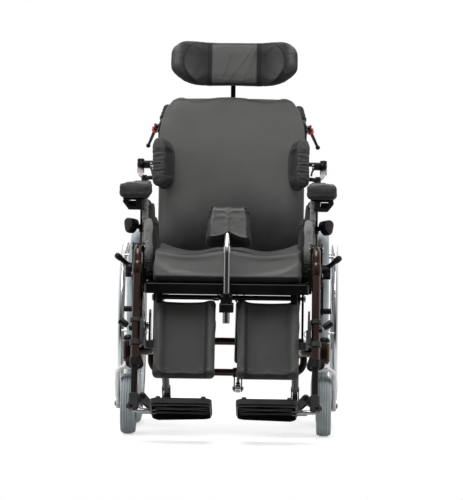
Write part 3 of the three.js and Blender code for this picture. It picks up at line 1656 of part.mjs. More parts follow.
function legHangerForm() {
  const slopeDrop = hangerReach * Math.tan(radians(legLean));
  const bent = tube(
    [at(0, 0, 0), at(0, -hangerReach, -slopeDrop), at(0, -hangerReach, hangerEnd)], hangerRadius,
    hangerBend,
  );
  const boss = barAlongX([-hangerRadius, hangerRadius], 0, 0, kneeBossRadius);
  const collar = post(0, -hangerReach, [hangerEnd, hangerEnd + endCollarHeight], endCollarRadius);
  const knobStart = -hangerReach + endCollarRadius - cutOverrun;
  const knob = turned(lobedKnob([0, footKnobThickness], 0, 0, footKnobLobe, footKnobReach), Z, quarterTurn);
  const shank = rod(
    at(0, knobStart, footKnobZ), at(0, knobStart + footKnobThickness * half, footKnobZ),
    footKnobLobe * half, slimSides,
  );
  const bore = post(0, -hangerReach, [hangerEnd - cutOverrun, hangerBoreTop], hangerBore, tubeSides);
  const pinHole = barAlongX(
    [-kneeBossRadius * 2, kneeBossRadius * 2], 0, 0, boreFor(kneePinRadius), tubeSides,
  );
  return cut(
    join(
      bent, boss, collar, shank,
      moved(knob, 0, knobStart + footKnobThickness * half - cutOverrun, footKnobZ),
    ),
    bore, pinHole,
  );
}

function legTubeForm() {
  const inner = post(0, -hangerReach, [legTubeTop, legTubeEnd], legTubeRadius, tubeSides);
  const clamp = post(0, -hangerReach, [clampTop, legTubeEnd], clampRadius);
  const ear = plate(
    belt([[0, (clampTop + legTubeEnd) * half, clampRadius], [flipX, flipZ, flipEarRadius]], tubeSides), 'y',
    [-hangerReach - flipEarHalf, -hangerReach + flipEarHalf],
  );
  const pinFront = -hangerReach - flipEarHalf - 2 * runningGap - plateLug;
  const pinBack = -hangerReach + flipEarHalf * 2;
  const pin = spindle(at(flipX, pinFront, flipZ), Y, [
    [flipPinHead, -flipPinHeadHeight], [flipPinHead, 0], [flipPinRadius, 0],
    [flipPinRadius, pinBack - pinFront],
  ]);
  const stop = barAlongX([0, stopEndX], -hangerReach, stopZ, stopRadius, tubeSides);
  return join(inner, clamp, ear, pin, stop);
}

function footplateForm() {
  const middleX = (plateInnerX + plateOuterX) * half;
  const middleY = (plateToeY + plateHeelY) * half;
  const width = plateOuterX - plateInnerX;
  const length = plateHeelY - plateToeY;
  const outline = (inset) => roundedRectangle(width - 2 * inset, length - 2 * inset, plateCorner - inset);
  const centre = (piece) => moved(piece, middleX, middleY, 0);
  const tray = cut(
    centre(plate(outline(0), 'z', [plateTopZ - plateWall, plateTopZ])),
    centre(plate(outline(plateRim), 'z', [plateTopZ - plateWall - cutOverrun, plateTopZ - plateSheet])),
  );
  const ribBottom = plateTopZ - plateRibDepth;
  const ribAngle = Math.atan2(length - plateCorner, width - plateCorner);
  const ribLength = Math.hypot(length - plateCorner, width - plateCorner) * half;
  const ribs = [ribAngle, -ribAngle].map((angle) => centre(turned(
    box(
      [-ribLength, ribLength], [-plateRib * half, plateRib * half],
      [ribBottom, plateTopZ - plateSheet * half],
    ),
    Z, angle,
  )));
  const lugOutline = belt(
    [
      [flipX, flipZ, flipEarRadius],
      [plateOuterX - flipEarRadius, plateTopZ - plateWall * half, plateWall * half - cutOverrun],
    ],
    tubeSides,
  );
  const lugGap = flipEarHalf + runningGap;
  const lugs = [
    plate(lugOutline, 'y', [-hangerReach - lugGap - plateLug, -hangerReach - lugGap]),
    plate(lugOutline, 'y', [-hangerReach + lugGap, -hangerReach + lugGap + plateLug]),
  ];
  const pinHole = rod(
    at(flipX, plateToeY, flipZ), at(flipX, plateHeelY, flipZ), boreFor(flipPinRadius), tubeSides,
  );
  return join(tray, ...ribs, ...lugs.map((lug) => cut(lug, pinHole)));
}

function calfBracketForm() {
  const collar = (z, height) => post(
    0, -hangerReach, around(z, height * half), calfCollarRadius,
  );
  const web = box(
    [calfWebInner, calfWebOuter],
    [-hangerReach - calfCollarRadius * half, -hangerReach + calfCollarRadius * half],
    [calfLowerZ - calfLowerHeight * half, calfUpperZ + calfUpperHeight * half],
  );
  const padBack = calfPadFront + calfPadDepth;
  const arm = box(
    around(calfWebInner, calfArmThickness * half),
    [-hangerReach, padBack + calfArmThickness * 2], [calfArmBottom, calfArmTop],
  );
  const crossArm = box(
    [calfPivotX, calfWebInner + calfArmThickness * half],
    [padBack + calfArmThickness, padBack + calfArmThickness * 2], [calfArmBottom, calfArmTop],
  );
  const lug = barAlongX(
    [calfPivotX - calfPivotLength, calfPivotX], calfPivotY, calfPivotZ, calfPivotRadius, tubeSides,
  );
  const root = at(calfCollarRadius - cutOverrun, -hangerReach, calfLeverRootZ);
  const tip = at(calfLeverX, -hangerReach, calfLeverZ);
  const reach = root.distanceTo(tip);
  const lever = spindle(root, tip.clone().sub(root).normalize(), [
    [calfLeverRod, 0], [calfLeverRod, reach * calfGripShare],
    [calfLeverGrip * calfGripTaperShare, reach * calfGripShare],
    [calfLeverGrip, reach],
  ], slimSides);
  const boss = barAlongX(
    [0, calfCollarRadius + cutOverrun], -hangerReach, calfLeverRootZ, calfCollarRadius * half,
    slimSides,
  );
  const hole = post(
    0, -hangerReach, [calfLowerZ - calfLowerHeight, calfUpperZ + calfUpperHeight],
    hangerRadius + runningGap, tubeSides,
  );
  return cut(
    join(
      collar(calfUpperZ, calfUpperHeight), collar(calfLowerZ, calfLowerHeight), web, arm, crossArm,
      lug, boss, lever,
    ),
    hole,
  );
}

function calfPadForm() {
  const width = calfPadOuter - calfPadInner;
  const size = [width * half, calfPadDepth * half, (calfPadTop - calfPadBottom) * half];
  const form = stuffed([6, 2, 4], size, calfRoundness, (u, v) => {
    const front = 1 - ramp(v, frontShares);
    return [0, calfBolster * (1 - ramp(Math.abs(u), bolsterShares)) * front, 0];
  });
  const middleX = (calfPadInner + calfPadOuter) * half - kneePivotX;
  const lug = cut(
    box(
      [calfPivotX - calfLugStart - calfLugWidth, calfPivotX - calfLugStart],
      [calfPadFront + calfPadDepth - calfLugStart, calfPivotY + calfLugHalf],
      around(calfPivotZ, calfLugHalf),
    ),
    barAlongX(
      [calfPivotX - calfPivotLength, calfPivotX], calfPivotY, calfPivotZ, boreFor(calfPivotRadius),
      tubeSides,
    ),
  );
  return moved(
    form, middleX, calfPadFront + calfPadDepth * half, (calfPadTop + calfPadBottom) * half,
  ).add(lug);
}

// Assembly. Each frame below stands on the pivot that its pieces move about.
const sides = [{ name: 'left', mirrored: false }, { name: 'right', mirrored: true }];

put(chair, 'base_frame', baseFrameForm(), bronzePaint);
put(chair, 'strut_bracket', strutBracketForm(), bronzePaint);
put(chair, 'seat_frame', seatFrameForm(), blackPaint);
put(chair, 'seat_cushion', seatCushionForm(), upholstery);
put(chair, 'pommel_stem', pommelStemForm, polished);
put(chair, 'pommel_pad', pommelPadForm(), padCover);
put(chair, 'tilt_strut_cylinder', tiltStrut.cylinder, blackPaint);
put(chair, 'tilt_strut_rod', tiltStrut.piston, polished);
put(chair, 'recline_strut_cylinder', reclineStrut.cylinder, blackPaint);
put(chair, 'recline_strut_rod', reclineStrut.piston, polished);

const backGroup = frameAt(chair, 0, reclinePivotY, reclinePivotZ, radians(-backLean));
put(backGroup, 'back_frame', backFrameForm(), blackPaint);
put(backGroup, 'back_cushion', backCushionForm(), upholstery);
put(backGroup, 'headrest_stem', headStemForm(), blackPaint);
put(backGroup, 'headrest_pad', headPadForm(), upholstery);

const forms = {
  chair: {
    wheel_lock_lever: [lockLeverForm(), blackPlastic],
    wheel_lock_shoe: [lockShoeForm(), blackPlastic],
    anti_tip_arm: [antiTipArmForm(), blackPaint],
    thigh_pad: [thighPadForm(), padCover],
    armrest_frame: [armrestFrameForm(), blackPaint],
    arm_pad: [armPadForm(), blackPlastic],
    side_guard: [sideGuardForm(), padCover],
  },
  wheel: {
    rear_tyre: [wheelTyre, greyRubber],
    rear_wheel: [spokedWheel(), polished],
    handrim: [handrimRing(), polished],
  },
  caster: {
    caster_fork: [casterForkForm(), silverPaint],
  },
  casterAxle: { caster_wheel: [casterWheelForm(), greyRubber] },
  antiTipAxle: { anti_tip_wheel: [antiTipWheelForm, blackRubber] },
  back: {
    push_grip: [pushGripForm(), blackRubber],
    release_lever: [releaseLeverForm(), blackPlastic],
    release_catch: [releaseCatchForm(), warningRed],
    lateral_arm: [lateralArmForm(), taupeAlloy],
    lateral_pad: [lateralPadForm(), padCover],
  },
  leg: {
    leg_hanger: [legHangerForm(), bronzePaint],
    leg_tube: [legTubeForm(), blackPaint],
    footplate: [footplateForm(), castGrey],
    calf_bracket: [calfBracketForm(), castGrey],
    calf_pad: [calfPadForm(), upholstery],
  },
};

for (const side of sides) {
  const sign = side.mirrored ? -1 : 1;
  const frames = {
    chair,
    back: backGroup,
    wheel: frameAt(chair, sign * wheelTrack * half, 0, axleHeight),
    caster: frameAt(chair, sign * casterTrack * half, casterStemY, 0),
    casterAxle: frameAt(chair, sign * casterTrack * half, casterStemY + casterTrail, casterAxleHeight),
    antiTipAxle: frameAt(chair, sign * antiTipX, antiTipWheelY, antiTipWheelZ),
    leg: frameAt(chair, sign * kneePivotX, kneePivotY, kneePivotZ, radians(-legLean)),
  };
  for (const [frame, pieces] of Object.entries(forms)) {
    for (const [name, [piece, look]] of Object.entries(pieces)) put(
      frames[frame], `${side.name}_${name}`, piece, look, side.mirrored,
    );
  }
}

export default chair;
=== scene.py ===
# %% [markdown]
# # Dressing a tilt in space wheelchair
#
# The packed model gives every rigid piece its true place. This script builds the surfaces that a
# viewer sees: round tubes, cast brackets, tyres with tread, sewn pads and polished metal. Every
# length below is in millimetres, counted as a wheelchair maker would: up from the floor, and
# forwards and back from the rear axle. One function turns millimetres into Blender's metres.

import json
import math

import bmesh
import bpy
import numpy as np
from mathutils import Matrix, Vector
from mathutils.bvhtree import BVHTree
from mathutils.geometry import tessellate_polygon
from mathutils.kdtree import KDTree

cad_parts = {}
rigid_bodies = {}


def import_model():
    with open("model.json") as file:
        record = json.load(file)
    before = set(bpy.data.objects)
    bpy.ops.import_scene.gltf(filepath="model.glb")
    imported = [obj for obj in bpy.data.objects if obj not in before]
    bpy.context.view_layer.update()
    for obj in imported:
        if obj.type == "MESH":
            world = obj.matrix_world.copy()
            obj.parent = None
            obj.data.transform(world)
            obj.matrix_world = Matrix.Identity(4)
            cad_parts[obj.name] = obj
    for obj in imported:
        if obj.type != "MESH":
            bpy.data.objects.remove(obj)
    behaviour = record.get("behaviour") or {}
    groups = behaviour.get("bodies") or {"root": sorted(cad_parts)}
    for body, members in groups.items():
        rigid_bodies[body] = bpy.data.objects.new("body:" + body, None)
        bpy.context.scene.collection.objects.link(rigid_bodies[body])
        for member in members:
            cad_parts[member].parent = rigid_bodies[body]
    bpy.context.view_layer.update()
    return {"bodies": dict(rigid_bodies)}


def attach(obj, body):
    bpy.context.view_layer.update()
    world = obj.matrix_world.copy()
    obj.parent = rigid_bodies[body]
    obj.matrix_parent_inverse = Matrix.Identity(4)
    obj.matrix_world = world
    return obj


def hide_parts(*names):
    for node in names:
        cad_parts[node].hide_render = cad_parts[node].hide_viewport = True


for left_over in list(bpy.data.objects):
    bpy.data.objects.remove(left_over)
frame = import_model()

# %% [markdown]
# ## Where things are
#
# The chair's own directions are simple: X to the sitter's left, Y backwards from the rear axle,
# Z up. The back and the legrests lean, so their pieces are drawn upright about their pivots and
# then leaned over. `spot` does that for a whole array of points at once.

# %% Frames of reference
MM = 0.001
AXLE_BEHIND_MIDDLE = 180.0
BACK_PIVOT = np.array([0.0, 35.0, 480.0])
BACK_LEAN = math.radians(9)
KNEE_PIVOT = np.array([265.0, -425.0, 562.0])
LEG_LEAN = math.radians(20)
FULL_TURN = 2 * math.pi


def leaned(points, pivot, angle):
    """Turn points about the X axis so that up tips backwards by angle, then carry them to pivot."""
    points = np.asarray(points, float)
    c, s = math.cos(angle), math.sin(angle)
    y = points[..., 1] * c + points[..., 2] * s
    z = -points[..., 1] * s + points[..., 2] * c
    return np.stack([points[..., 0], y, z], -1) + pivot


def spot(points, where="chair"):
    """Points drawn in one of the chair's frames, in millimetres of the whole chair."""
    if where == "back":
        return leaned(points, BACK_PIVOT, BACK_LEAN)
    if where == "leg":
        return leaned(points, KNEE_PIVOT, LEG_LEAN)
    return np.asarray(points, float)


def to_row(points):
    """Millimetres of the chair, as metres of the packed model."""
    return (points + np.array([0, AXLE_BEHIND_MIDDLE, 0])) * MM


print("half a metre up the back:", spot([0, 0, 500], "back").round(1), "mm of the chair")

# %% [markdown]
# ## Shader arithmetic
#
# A finish is a small tree of nodes. Written as sums and products in Python it can be read like a
# formula, so one class wraps a socket and gives it operators, and one method adds any node.


# %% Sockets with operators
class Wire:
    """A node's output that can be added, multiplied and compared. Each operator is a Math node."""

    def __init__(self, tree, socket):
        self.tree, self.socket = tree, socket

    def _math(self, operation, *values):
        return self.tree.node("Math", {"operation": operation}, dict(enumerate(values)))

    def __add__(self, other): return self._math("ADD", self, other)
    def __radd__(self, other): return self._math("ADD", other, self)
    def __sub__(self, other): return self._math("SUBTRACT", self, other)
    def __rsub__(self, other): return self._math("SUBTRACT", other, self)
    def __mul__(self, other): return self._math("MULTIPLY", self, other)
    def __rmul__(self, other): return self._math("MULTIPLY", other, self)
    def sine(self): return self._math("SINE", self)
    def positive(self): return self._math("ABSOLUTE", self)


class Tree:
    """A node tree that is built by calls and sums."""

    def __init__(self, tree):
        self.tree = tree
        tree.nodes.clear()

    def node(self, kind, settings=None, inputs=None, output=0):
        """Add a node: settings first, then the values or wires of its sockets; gives one output."""
        made = self.tree.nodes.new("ShaderNode" + kind)
        for name, value in (settings or {}).items():
            setattr(made, name, value)
        for key, value in (inputs or {}).items():
            if isinstance(value, Wire):
                self.tree.links.new(value.socket, made.inputs[key])
            else:
                made.inputs[key].default_value = value
        return Wire(self, made.outputs[output])

    def ramp(self, wire, low, high):
        """0 below low, 1 above high, and smooth between."""
        return self.node("MapRange", {"interpolation_type": "SMOOTHSTEP"}, {
            "Value": wire, "From Min": low, "From Max": high})


print("a wire knows:", [name.strip("_") for name, call in vars(Wire).items() if callable(call)])

# %% [markdown]
# A `Finish` is a material: a tree with one Principled shader, whose sockets take numbers or wires.

# %% Materials
class Finish(Tree):
    """A material made of one Principled shader and whatever its maker wires to it."""

    def __init__(self, name, color, roughness, metallic=0.0, **constants):
        self.slot = None
        self.material = bpy.data.materials.new(name)
        self.material.use_nodes = True
        super().__init__(self.material.node_tree)
        self.shader = self.tree.nodes.new("ShaderNodeBsdfPrincipled")
        output = self.tree.nodes.new("ShaderNodeOutputMaterial")
        self.tree.links.new(self.shader.outputs["BSDF"], output.inputs["Surface"])
        self.set("Base Color", (*color, 1))
        self.set("Roughness", roughness)
        self.set("Metallic", metallic)
        for socket, value in constants.items():
            self.set(socket.replace("_", " "), value)

    def set(self, socket, value):
        """Give one of the shader's sockets a constant or a wire."""
        target = self.shader.inputs[socket]
        if isinstance(value, Wire):
            self.tree.links.new(value.socket, target)
        else:
            target.default_value = value
        return self

    def object_place(self):
        """Where a point of the object is, in metres of the chair."""
        return self.node("TexCoord", output="Object")

    def axes(self):
        """The three coordinates of a point, as separate wires in millimetres."""
        scaled = self.node("VectorMath", {"operation": "SCALE"}, {0: self.object_place(), "Scale": 1000.0})
        return [self.node("SeparateXYZ", None, {0: scaled}, i) for i in range(3)]

    def noise(self, scale, detail=3.0, stretch=None):
        """Soft random variation between 0 and 1, with `scale` blotches to the metre."""
        place = self.object_place()
        if stretch:
            place = self.node("Mapping", None, {"Vector": place, "Scale": stretch})
        return self.node("TexNoise", None, {
            "Vector": place, "Scale": scale, "Detail": detail, "Roughness": 0.5})

    def between(self, share, low, high):
        """A colour between low and high, by a share wire."""
        return self.node("Mix", {"data_type": "RGBA", "clamp_factor": True}, {
            "Factor": share, 6: (*low, 1), 7: (*high, 1)}, 2)

    def bump(self, height, distance):
        """Feed the shader's normal from a height between 0 and 1 that stands for `distance` metres."""
        self.set("Normal", self.node("Bump", None, {
            "Strength": 1.0, "Distance": distance, "Height": height}))
        return self


def dress(piece, finish):
    """Give a piece one finish."""
    piece.data.materials.clear()
    piece.data.materials.append(finish.material)
    return piece


print("a finish knows:", [name for name in vars(Finish) if not name.startswith("_")])
# %% [markdown]
# ## The camera and the light
#
# The photograph was taken from about ten metres away with a long lens, a little to the sitter's
# left and at the height of the backrest, so parallel edges stay parallel. A long lens from afar
# is made the same way here, and only its aim is tuned. The room is white: the world is white to
# the camera and to reflections, and lights the object at a plain level.

# %% Camera
PHOTO_HEIGHT = 500
FOCAL_PIXELS = 3303
SENSOR = 36.0
CAMERA_AT = Vector((0.212, -10.07, 0.95))
CAMERA_AIM = Vector((0.0033, 0.18, 0.5415))
CAMERA_ROLL = math.radians(0.7)


def facing(place, target):
    """The matrix of something at place that looks at target."""
    place, target = Vector(place), Vector(target)
    return Matrix.Translation(place) @ (target - place).to_track_quat("-Z", "Y").to_matrix().to_4x4()


camera_data = bpy.data.cameras.new("camera")
camera_data.sensor_width = SENSOR
camera_data.lens = FOCAL_PIXELS / PHOTO_HEIGHT * SENSOR
camera = bpy.data.objects.new("camera", camera_data)
bpy.context.scene.collection.objects.link(camera)
camera.matrix_world = facing(CAMERA_AT, CAMERA_AIM) @ Matrix.Rotation(CAMERA_ROLL, 4, "Z")
bpy.context.scene.camera = camera
bpy.context.scene.view_settings.view_transform = "Standard"
print("lens:", round(camera_data.lens, 1), "mm from", round((CAMERA_AIM - CAMERA_AT).length, 2), "m away")

# %% [markdown]
# Four softboxes stand round the chair. The two at the sides are hidden from reflections, where
# they would be hard white spots on black plastic. What polished metal mirrors instead is the room:
# its world is graded by direction, bright behind and above and dark elsewhere.

# %% Lamps
CHAIR_MIDDLE = (0, 0, 0.6)
SOFTBOXES = (
    # name, place, width of the box in metres, watts, whether it shows in polished metal
    ("top_softbox", (-0.3, -1.1, 3.4), 2.2, 95, True),
    ("left_softbox", (-3.2, -1.6, 1.9), 1.9, 60, False),
    ("right_softbox", (3.1, -1.0, 1.6), 1.9, 42, False),
    ("back_softbox", (0.0, 3.0, 2.2), 2.2, 45, True),
)
for name, place, width, watts, mirrored in SOFTBOXES:
    data = bpy.data.lights.new(name, "AREA")
    data.size = width
    data.energy = watts
    light = bpy.data.objects.new(name, data)
    light.matrix_world = facing(place, CHAIR_MIDDLE)
    light.visible_glossy = mirrored
    bpy.context.scene.collection.objects.link(light)

world = bpy.data.worlds.new("white_room")
bpy.context.scene.world = world
world.use_nodes = True
room = Tree(world.node_tree)
direction = room.node("TexCoord", output="Generated")
x, y, z = (room.node("SeparateXYZ", None, {0: direction}, i) for i in range(3))
side, behind = room.ramp(x.positive(), 0.70, 0.98), room.ramp(y, -0.1, 0.6)
above, below = room.ramp(z, 0.1, 0.9), room.ramp(z * -1.0, 0.15, 0.9)
mirrored_room = 0.03 + 0.42 * side + 0.70 * behind + 0.50 * above + 0.10 * below
fill = 0.16 + 0.30 * above + 0.12 * side + 0.10 * behind
seen, glossy = room.node("LightPath", output="Is Camera Ray"), room.node("LightPath", output="Is Glossy Ray")
through = room.node("LightPath", output="Is Transmission Ray")
strength = seen + through + glossy * mirrored_room + (1 - seen - glossy - through) * fill
shine = room.node("Background", None, {"Color": (1, 1, 1, 1), "Strength": strength})

out = room.tree.nodes.new("ShaderNodeOutputWorld")
room.tree.links.new(shine.socket, out.inputs["Surface"])
print("lamps:", [name for name, *_ in SOFTBOXES])

# %% [markdown]
# ## Surfaces from formulas
#
# Nearly everything on a wheelchair is one of four things: a bent tube, a turned piece, a plate
# cut from sheet, or a stuffed pad. Each gets one function that works out all its points as numpy
# arrays. A `Form` gathers such surfaces, so that a welded frame becomes one mesh.


# %% A gathering of surfaces
def grid_faces(rows, columns, close_rows=False, close_columns=True):
    """Quads between neighbouring points of a rows x columns grid, wrapped round where closed."""
    r = np.arange(rows if close_rows else rows - 1)[:, None]
    c = np.arange(columns if close_columns else columns - 1)[None, :]
    r2, c2 = (r + 1) % rows, (c + 1) % columns
    quads = np.stack([r * columns + c, r * columns + c2, r2 * columns + c2, r2 * columns + c], -1)
    return quads.reshape(-1, 4).tolist()


def end_faces(rows, columns):
    """The two faces that close the ends of a grid whose columns are wrapped round."""
    return [list(range(columns))[::-1], list(range((rows - 1) * columns, rows * columns))]


class Form:
    """Closed surfaces in millimetres of one frame, gathered into one mesh."""

    def __init__(self, where="chair"):
        self.where, self.points, self.faces, self.count = where, [], [], 0

    def add(self, *surfaces):
        """Take in surfaces, each as (points, faces), and give the form back."""
        for points, faces in surfaces:
            self.points.append(spot(points, self.where))
            self.faces += [[i + self.count for i in face] for face in faces]
            self.count += len(points)
        return self

    def mesh(self, name, mirrored=False, sharp=32):
        """A Blender object in metres, welded, with its faces out and its edges over `sharp` degrees hard."""
        points = np.concatenate(self.points)
        if mirrored:
            points = points * np.array([-1, 1, 1])
        data = bpy.data.meshes.new(name)
        data.from_pydata(to_row(points).tolist(), [], self.faces)
        work = bmesh.new()
        work.from_mesh(data)
        bmesh.ops.remove_doubles(work, verts=work.verts, dist=1e-6)
        bmesh.ops.recalc_face_normals(work, faces=work.faces)
        work.to_mesh(data)
        work.free()
        data.shade_smooth()
        data.set_sharp_from_angle(angle=math.radians(sharp))
        piece = bpy.data.objects.new(name, data)
        bpy.context.scene.collection.objects.link(piece)
        return piece


print("a closed strip of 3 by 8 points has", len(grid_faces(3, 8)), "quads")

# %% [markdown]
# ### Two curves used everywhere
#
# Both work on one number and on a whole array of them. `smooth` is a step with eased ends, and
# `hill` is a single rounded bump.

# %% Steps and hills
def smooth(value, low, high):
    """0 below low, 1 above high, and an S-curve between."""
    t = np.clip((value - low) / (high - low), 0, 1)
    return t * t * (3 - 2 * t)


def hill(value, width):
    """A bell curve of height one."""
    return np.exp(-((value / width) ** 2))


print("half way up a step:", float(smooth(0.5, 0, 1)), "| top of a hill:", float(hill(0.0, 1)))

# %% [markdown]
# ### Tubes
#
# `route` rounds the corners of a path, and `swept` carries a flat section along it. Frame tubes,
# wires, threads and piping are all made so.

# %% Bent tubes
BEND_STEP = math.radians(8)


def unit(vector):
    """The same direction with a length of one."""
    vector = np.asarray(vector, float)
    return vector / np.linalg.norm(vector)


def route(corners, bend):
    """Points along straight runs whose corners are rounded to the bend radius."""
    corners = [np.asarray(c, float) for c in corners]
    points = [corners[0]]
    for before, corner, after in zip(corners, corners[1:], corners[2:]):
        arriving, leaving = unit(corner - before), unit(after - corner)
        turn = math.acos(np.clip(arriving @ leaving, -1, 1))
        if turn < 1e-4:
            continue
        axis = unit(np.cross(arriving, leaving))
        inward = np.cross(axis, arriving)
        centre = corner - arriving * bend * math.tan(turn / 2) + inward * bend
        steps = np.linspace(0, turn, max(2, round(turn / BEND_STEP) + 1))[:, None]
        points += list(centre - inward * bend * np.cos(steps) + arriving * bend * np.sin(steps))
    return np.array(points + [corners[-1]])


def swept(path, section, radii=1.0, closed_path=False):
    """Carry a flat section (points across, up) along a path, turning it no more than the path turns."""
    path = np.asarray(path, float)
    ahead = np.roll(path, -1, 0) - path if closed_path else np.gradient(path, axis=0)
    along = ahead / np.linalg.norm(ahead, axis=1, keepdims=True)
    side = unit(np.cross(along[0], [0.31, 0.22, 0.92]))
    sides = []
    for direction in along:
        side = unit(side - direction * (side @ direction))
        sides.append(side)
    sides = np.array(sides)
    ups = np.cross(along, sides)
    radii = np.broadcast_to(np.asarray(radii, float), (len(path),))[:, None, None]
    section = np.asarray(section, float)
    points = path[:, None] + radii * (
        section[None, :, :1] * sides[:, None] + section[None, :, 1:] * ups[:, None])
    grid = len(path), len(section)
    faces = grid_faces(*grid, close_rows=closed_path) + ([] if closed_path else end_faces(*grid))
    return points.reshape(-1, 3), faces


print("one bend takes", len(route([(0, 0, 0), (0, 0, 50), (50, 0, 50)], 20)), "points along its path")

# %% [markdown]
# A round tube is a circle that is swept along a route. The edges of its ends are eased.

# %% Round tubes
def circle(sides=24):
    """A round section of radius one."""
    angle = np.arange(sides) * FULL_TURN / sides
    return np.stack([np.cos(angle), np.sin(angle)], -1)


def tube(corners, radius, bend=20.0, sides=24, soft=1.0):
    """A round tube along corners, with its two end edges eased by `soft` millimetres."""
    path = route(corners, bend)
    first, last = unit(path[1] - path[0]), unit(path[-1] - path[-2])
    path = np.concatenate([[path[0], path[0] + first * soft], path[1:-1], [path[-1] - last * soft, path[-1]]])
    radii = np.full(len(path), float(radius))
    radii[[0, -1]] -= soft
    return swept(path, circle(sides), radii)


def rod(start, end, radius, sides=24, soft=0.6):
    """A straight round bar."""
    return tube([start, end], radius, sides=sides, soft=soft)


print("a straight bar has", len(rod((0, 0, 0), (0, 0, 50), 5)[0]), "points")

# %% [markdown]
# ### Turned pieces
#
# Bolts, hubs, collars and tyres are profiles that are spun about a line, as a lathe makes them.

# %% Turned pieces
def turned(profile, start, direction, sides=40):
    """Spin a profile of (radius, distance along) about a line; it is closed where it meets the line."""
    profile = np.asarray(profile, float)
    direction = unit(direction)
    side = unit(np.cross(direction, [0.31, 0.92, 0.22]))
    up = np.cross(direction, side)
    angle = np.arange(sides) * FULL_TURN / sides
    ring = np.cos(angle)[:, None] * side + np.sin(angle)[:, None] * up
    points = (np.asarray(start, float) + profile[:, None, 1:] * direction + profile[:, None, :1] * ring)
    grid = len(profile), sides
    return points.reshape(-1, 3), grid_faces(*grid) + end_faces(*grid)


def ring_turned(profile, start, direction, sides=64):
    """A turned piece whose profile closes on itself, such as a tyre or a bushing with its bore."""
    points, _ = turned(profile, start, direction, sides)
    return points, grid_faces(len(profile), sides, close_rows=True)


def there_and_back(half):
    """A profile of one half, and then of the other: the same, mirrored."""
    return half + [[radius, -along] for radius, along in half[::-1] if along]


def eased(profile, soft=0.8):
    """A stepped profile with each corner cut off by `soft`, so that edges catch the light."""
    profile = [np.asarray(p, float) for p in profile]
    shaped = [profile[0]]
    for before, corner, after in zip(profile, profile[1:], profile[2:]):
        for neighbour in (before, after):
            gap = np.linalg.norm(neighbour - corner)
            shaped.append(corner + (neighbour - corner) * min(0.45, soft / max(gap, 1e-6)))
    return np.array(shaped + [profile[-1]])


def bolt(start, direction, radius, height, socket=0.45):
    """A button-headed bolt with a hexagon socket sunk in it."""
    dome = [[radius, 0], [radius, height * 0.4], [radius * 0.86, height * 0.8],
            [radius * socket * 1.3, height]]
    bottom = [[radius * socket, height], [radius * socket, height * 0.45], [0.001, height * 0.45]]
    return turned(dome + bottom, start, direction, 18)


print("a bolt's head has", len(bolt((0, 0, 0), (0, 0, 1), 5, 3)[0]), "points")

# %% [markdown]
# ### Plates and blocks
#
# An outline is the belt round a few discs. `plate` gives it a thickness and holes, and cuts off its
# edges a little, so that they catch a thin line of light.

# %% Outlines
def belt(discs, sides=32):
    """The outline round a few discs (across, up, radius), as a belt lies round pulleys."""
    discs = np.asarray(discs, float)
    points = (discs[:, None, :2] + discs[:, None, 2:] * circle(sides)[None]).reshape(-1, 2)
    points = points[np.lexsort((points[:, 1], points[:, 0]))].tolist()

    def chain(ordered):
        hull = []
        for p in ordered:
            while len(hull) > 1 and (
                (hull[-1][0] - hull[-2][0]) * (p[1] - hull[-2][1])
                - (hull[-1][1] - hull[-2][1]) * (p[0] - hull[-2][0])
            ) <= 1e-9:
                hull.pop()
            hull.append(p)
        return hull

    return np.array(chain(points)[:-1] + chain(points[::-1])[:-1])


def disc(u, v, radius, sides=24):
    """A round hole's outline."""
    return circle(sides) * radius + np.array([u, v])


def rounded(low, high, radius):
    """A rectangle's outline from corner low to corner high, with round corners."""
    (a, b), (c, d) = low, high
    return belt([[a + radius, b + radius, radius], [c - radius, b + radius, radius],
                 [c - radius, d - radius, radius], [a + radius, d - radius, radius]], 24)


def grown(outline, by):
    """Move each point of an anticlockwise outline outwards by a distance."""
    edge = np.roll(outline, -1, 0) - outline
    normal = np.stack([edge[:, 1], -edge[:, 0]], -1)
    normal /= np.maximum(np.linalg.norm(normal, axis=1, keepdims=True), 1e-9)
    corner = normal + np.roll(normal, 1, 0)
    corner /= np.maximum(np.linalg.norm(corner, axis=1, keepdims=True), 1e-9)
    return outline + corner * by


print("a belt round two discs has", len(belt([[0, 0, 5], [20, 0, 3]])), "corners")

# %% Plates and blocks
PLATE_AXES = {"x": (1, 2, 0), "y": (0, 2, 1), "z": (0, 1, 2)}


def plate(outline, facing, low, high, holes=(), soft=0.8):
    """Cut sheet: an outline with holes, thick from low to high along one axis, edges eased."""
    loops = [np.asarray(outline, float)] + [np.asarray(h, float)[::-1] for h in holes]
    levels = [(low, -soft), (low + soft, 0), (high - soft, 0), (high, -soft)]
    u_axis, v_axis, w_axis = PLATE_AXES[facing]
    points, faces, start = [], [], 0
    caps = [[], []]
    for loop in loops:
        rings = np.zeros((4, len(loop), 3))
        for level, (depth, ease) in enumerate(levels):
            shape = grown(loop, ease)
            rings[level, :, u_axis], rings[level, :, v_axis] = shape[:, 0], shape[:, 1]
            rings[level, :, w_axis] = depth
        points.append(rings.reshape(-1, 3))
        faces += [[i + start for i in f] for f in grid_faces(4, len(loop))]
        for cap, level in ((0, 0), (1, 3)):
            caps[cap].append([(start + level * len(loop) + i, rings[level, i]) for i in range(len(loop))])
        start += rings.shape[0] * rings.shape[1]
    for cap in caps:
        flat = [[Vector((p[u_axis], p[v_axis], 0)) for _, p in loop] for loop in cap]
        order = [index for loop in cap for index, _ in loop]
        faces += [[order[i] for i in triangle] for triangle in tessellate_polygon(flat)]
    return np.concatenate(points), faces


def block(x, y, z, soft=1.5):
    """A squared bar or casting from low to high along each axis, with round edges."""
    return plate(rounded((x[0], y[0]), (x[1], y[1]), max(soft, 0.8)), "z", z[0], z[1], soft=min(soft, 1.2))


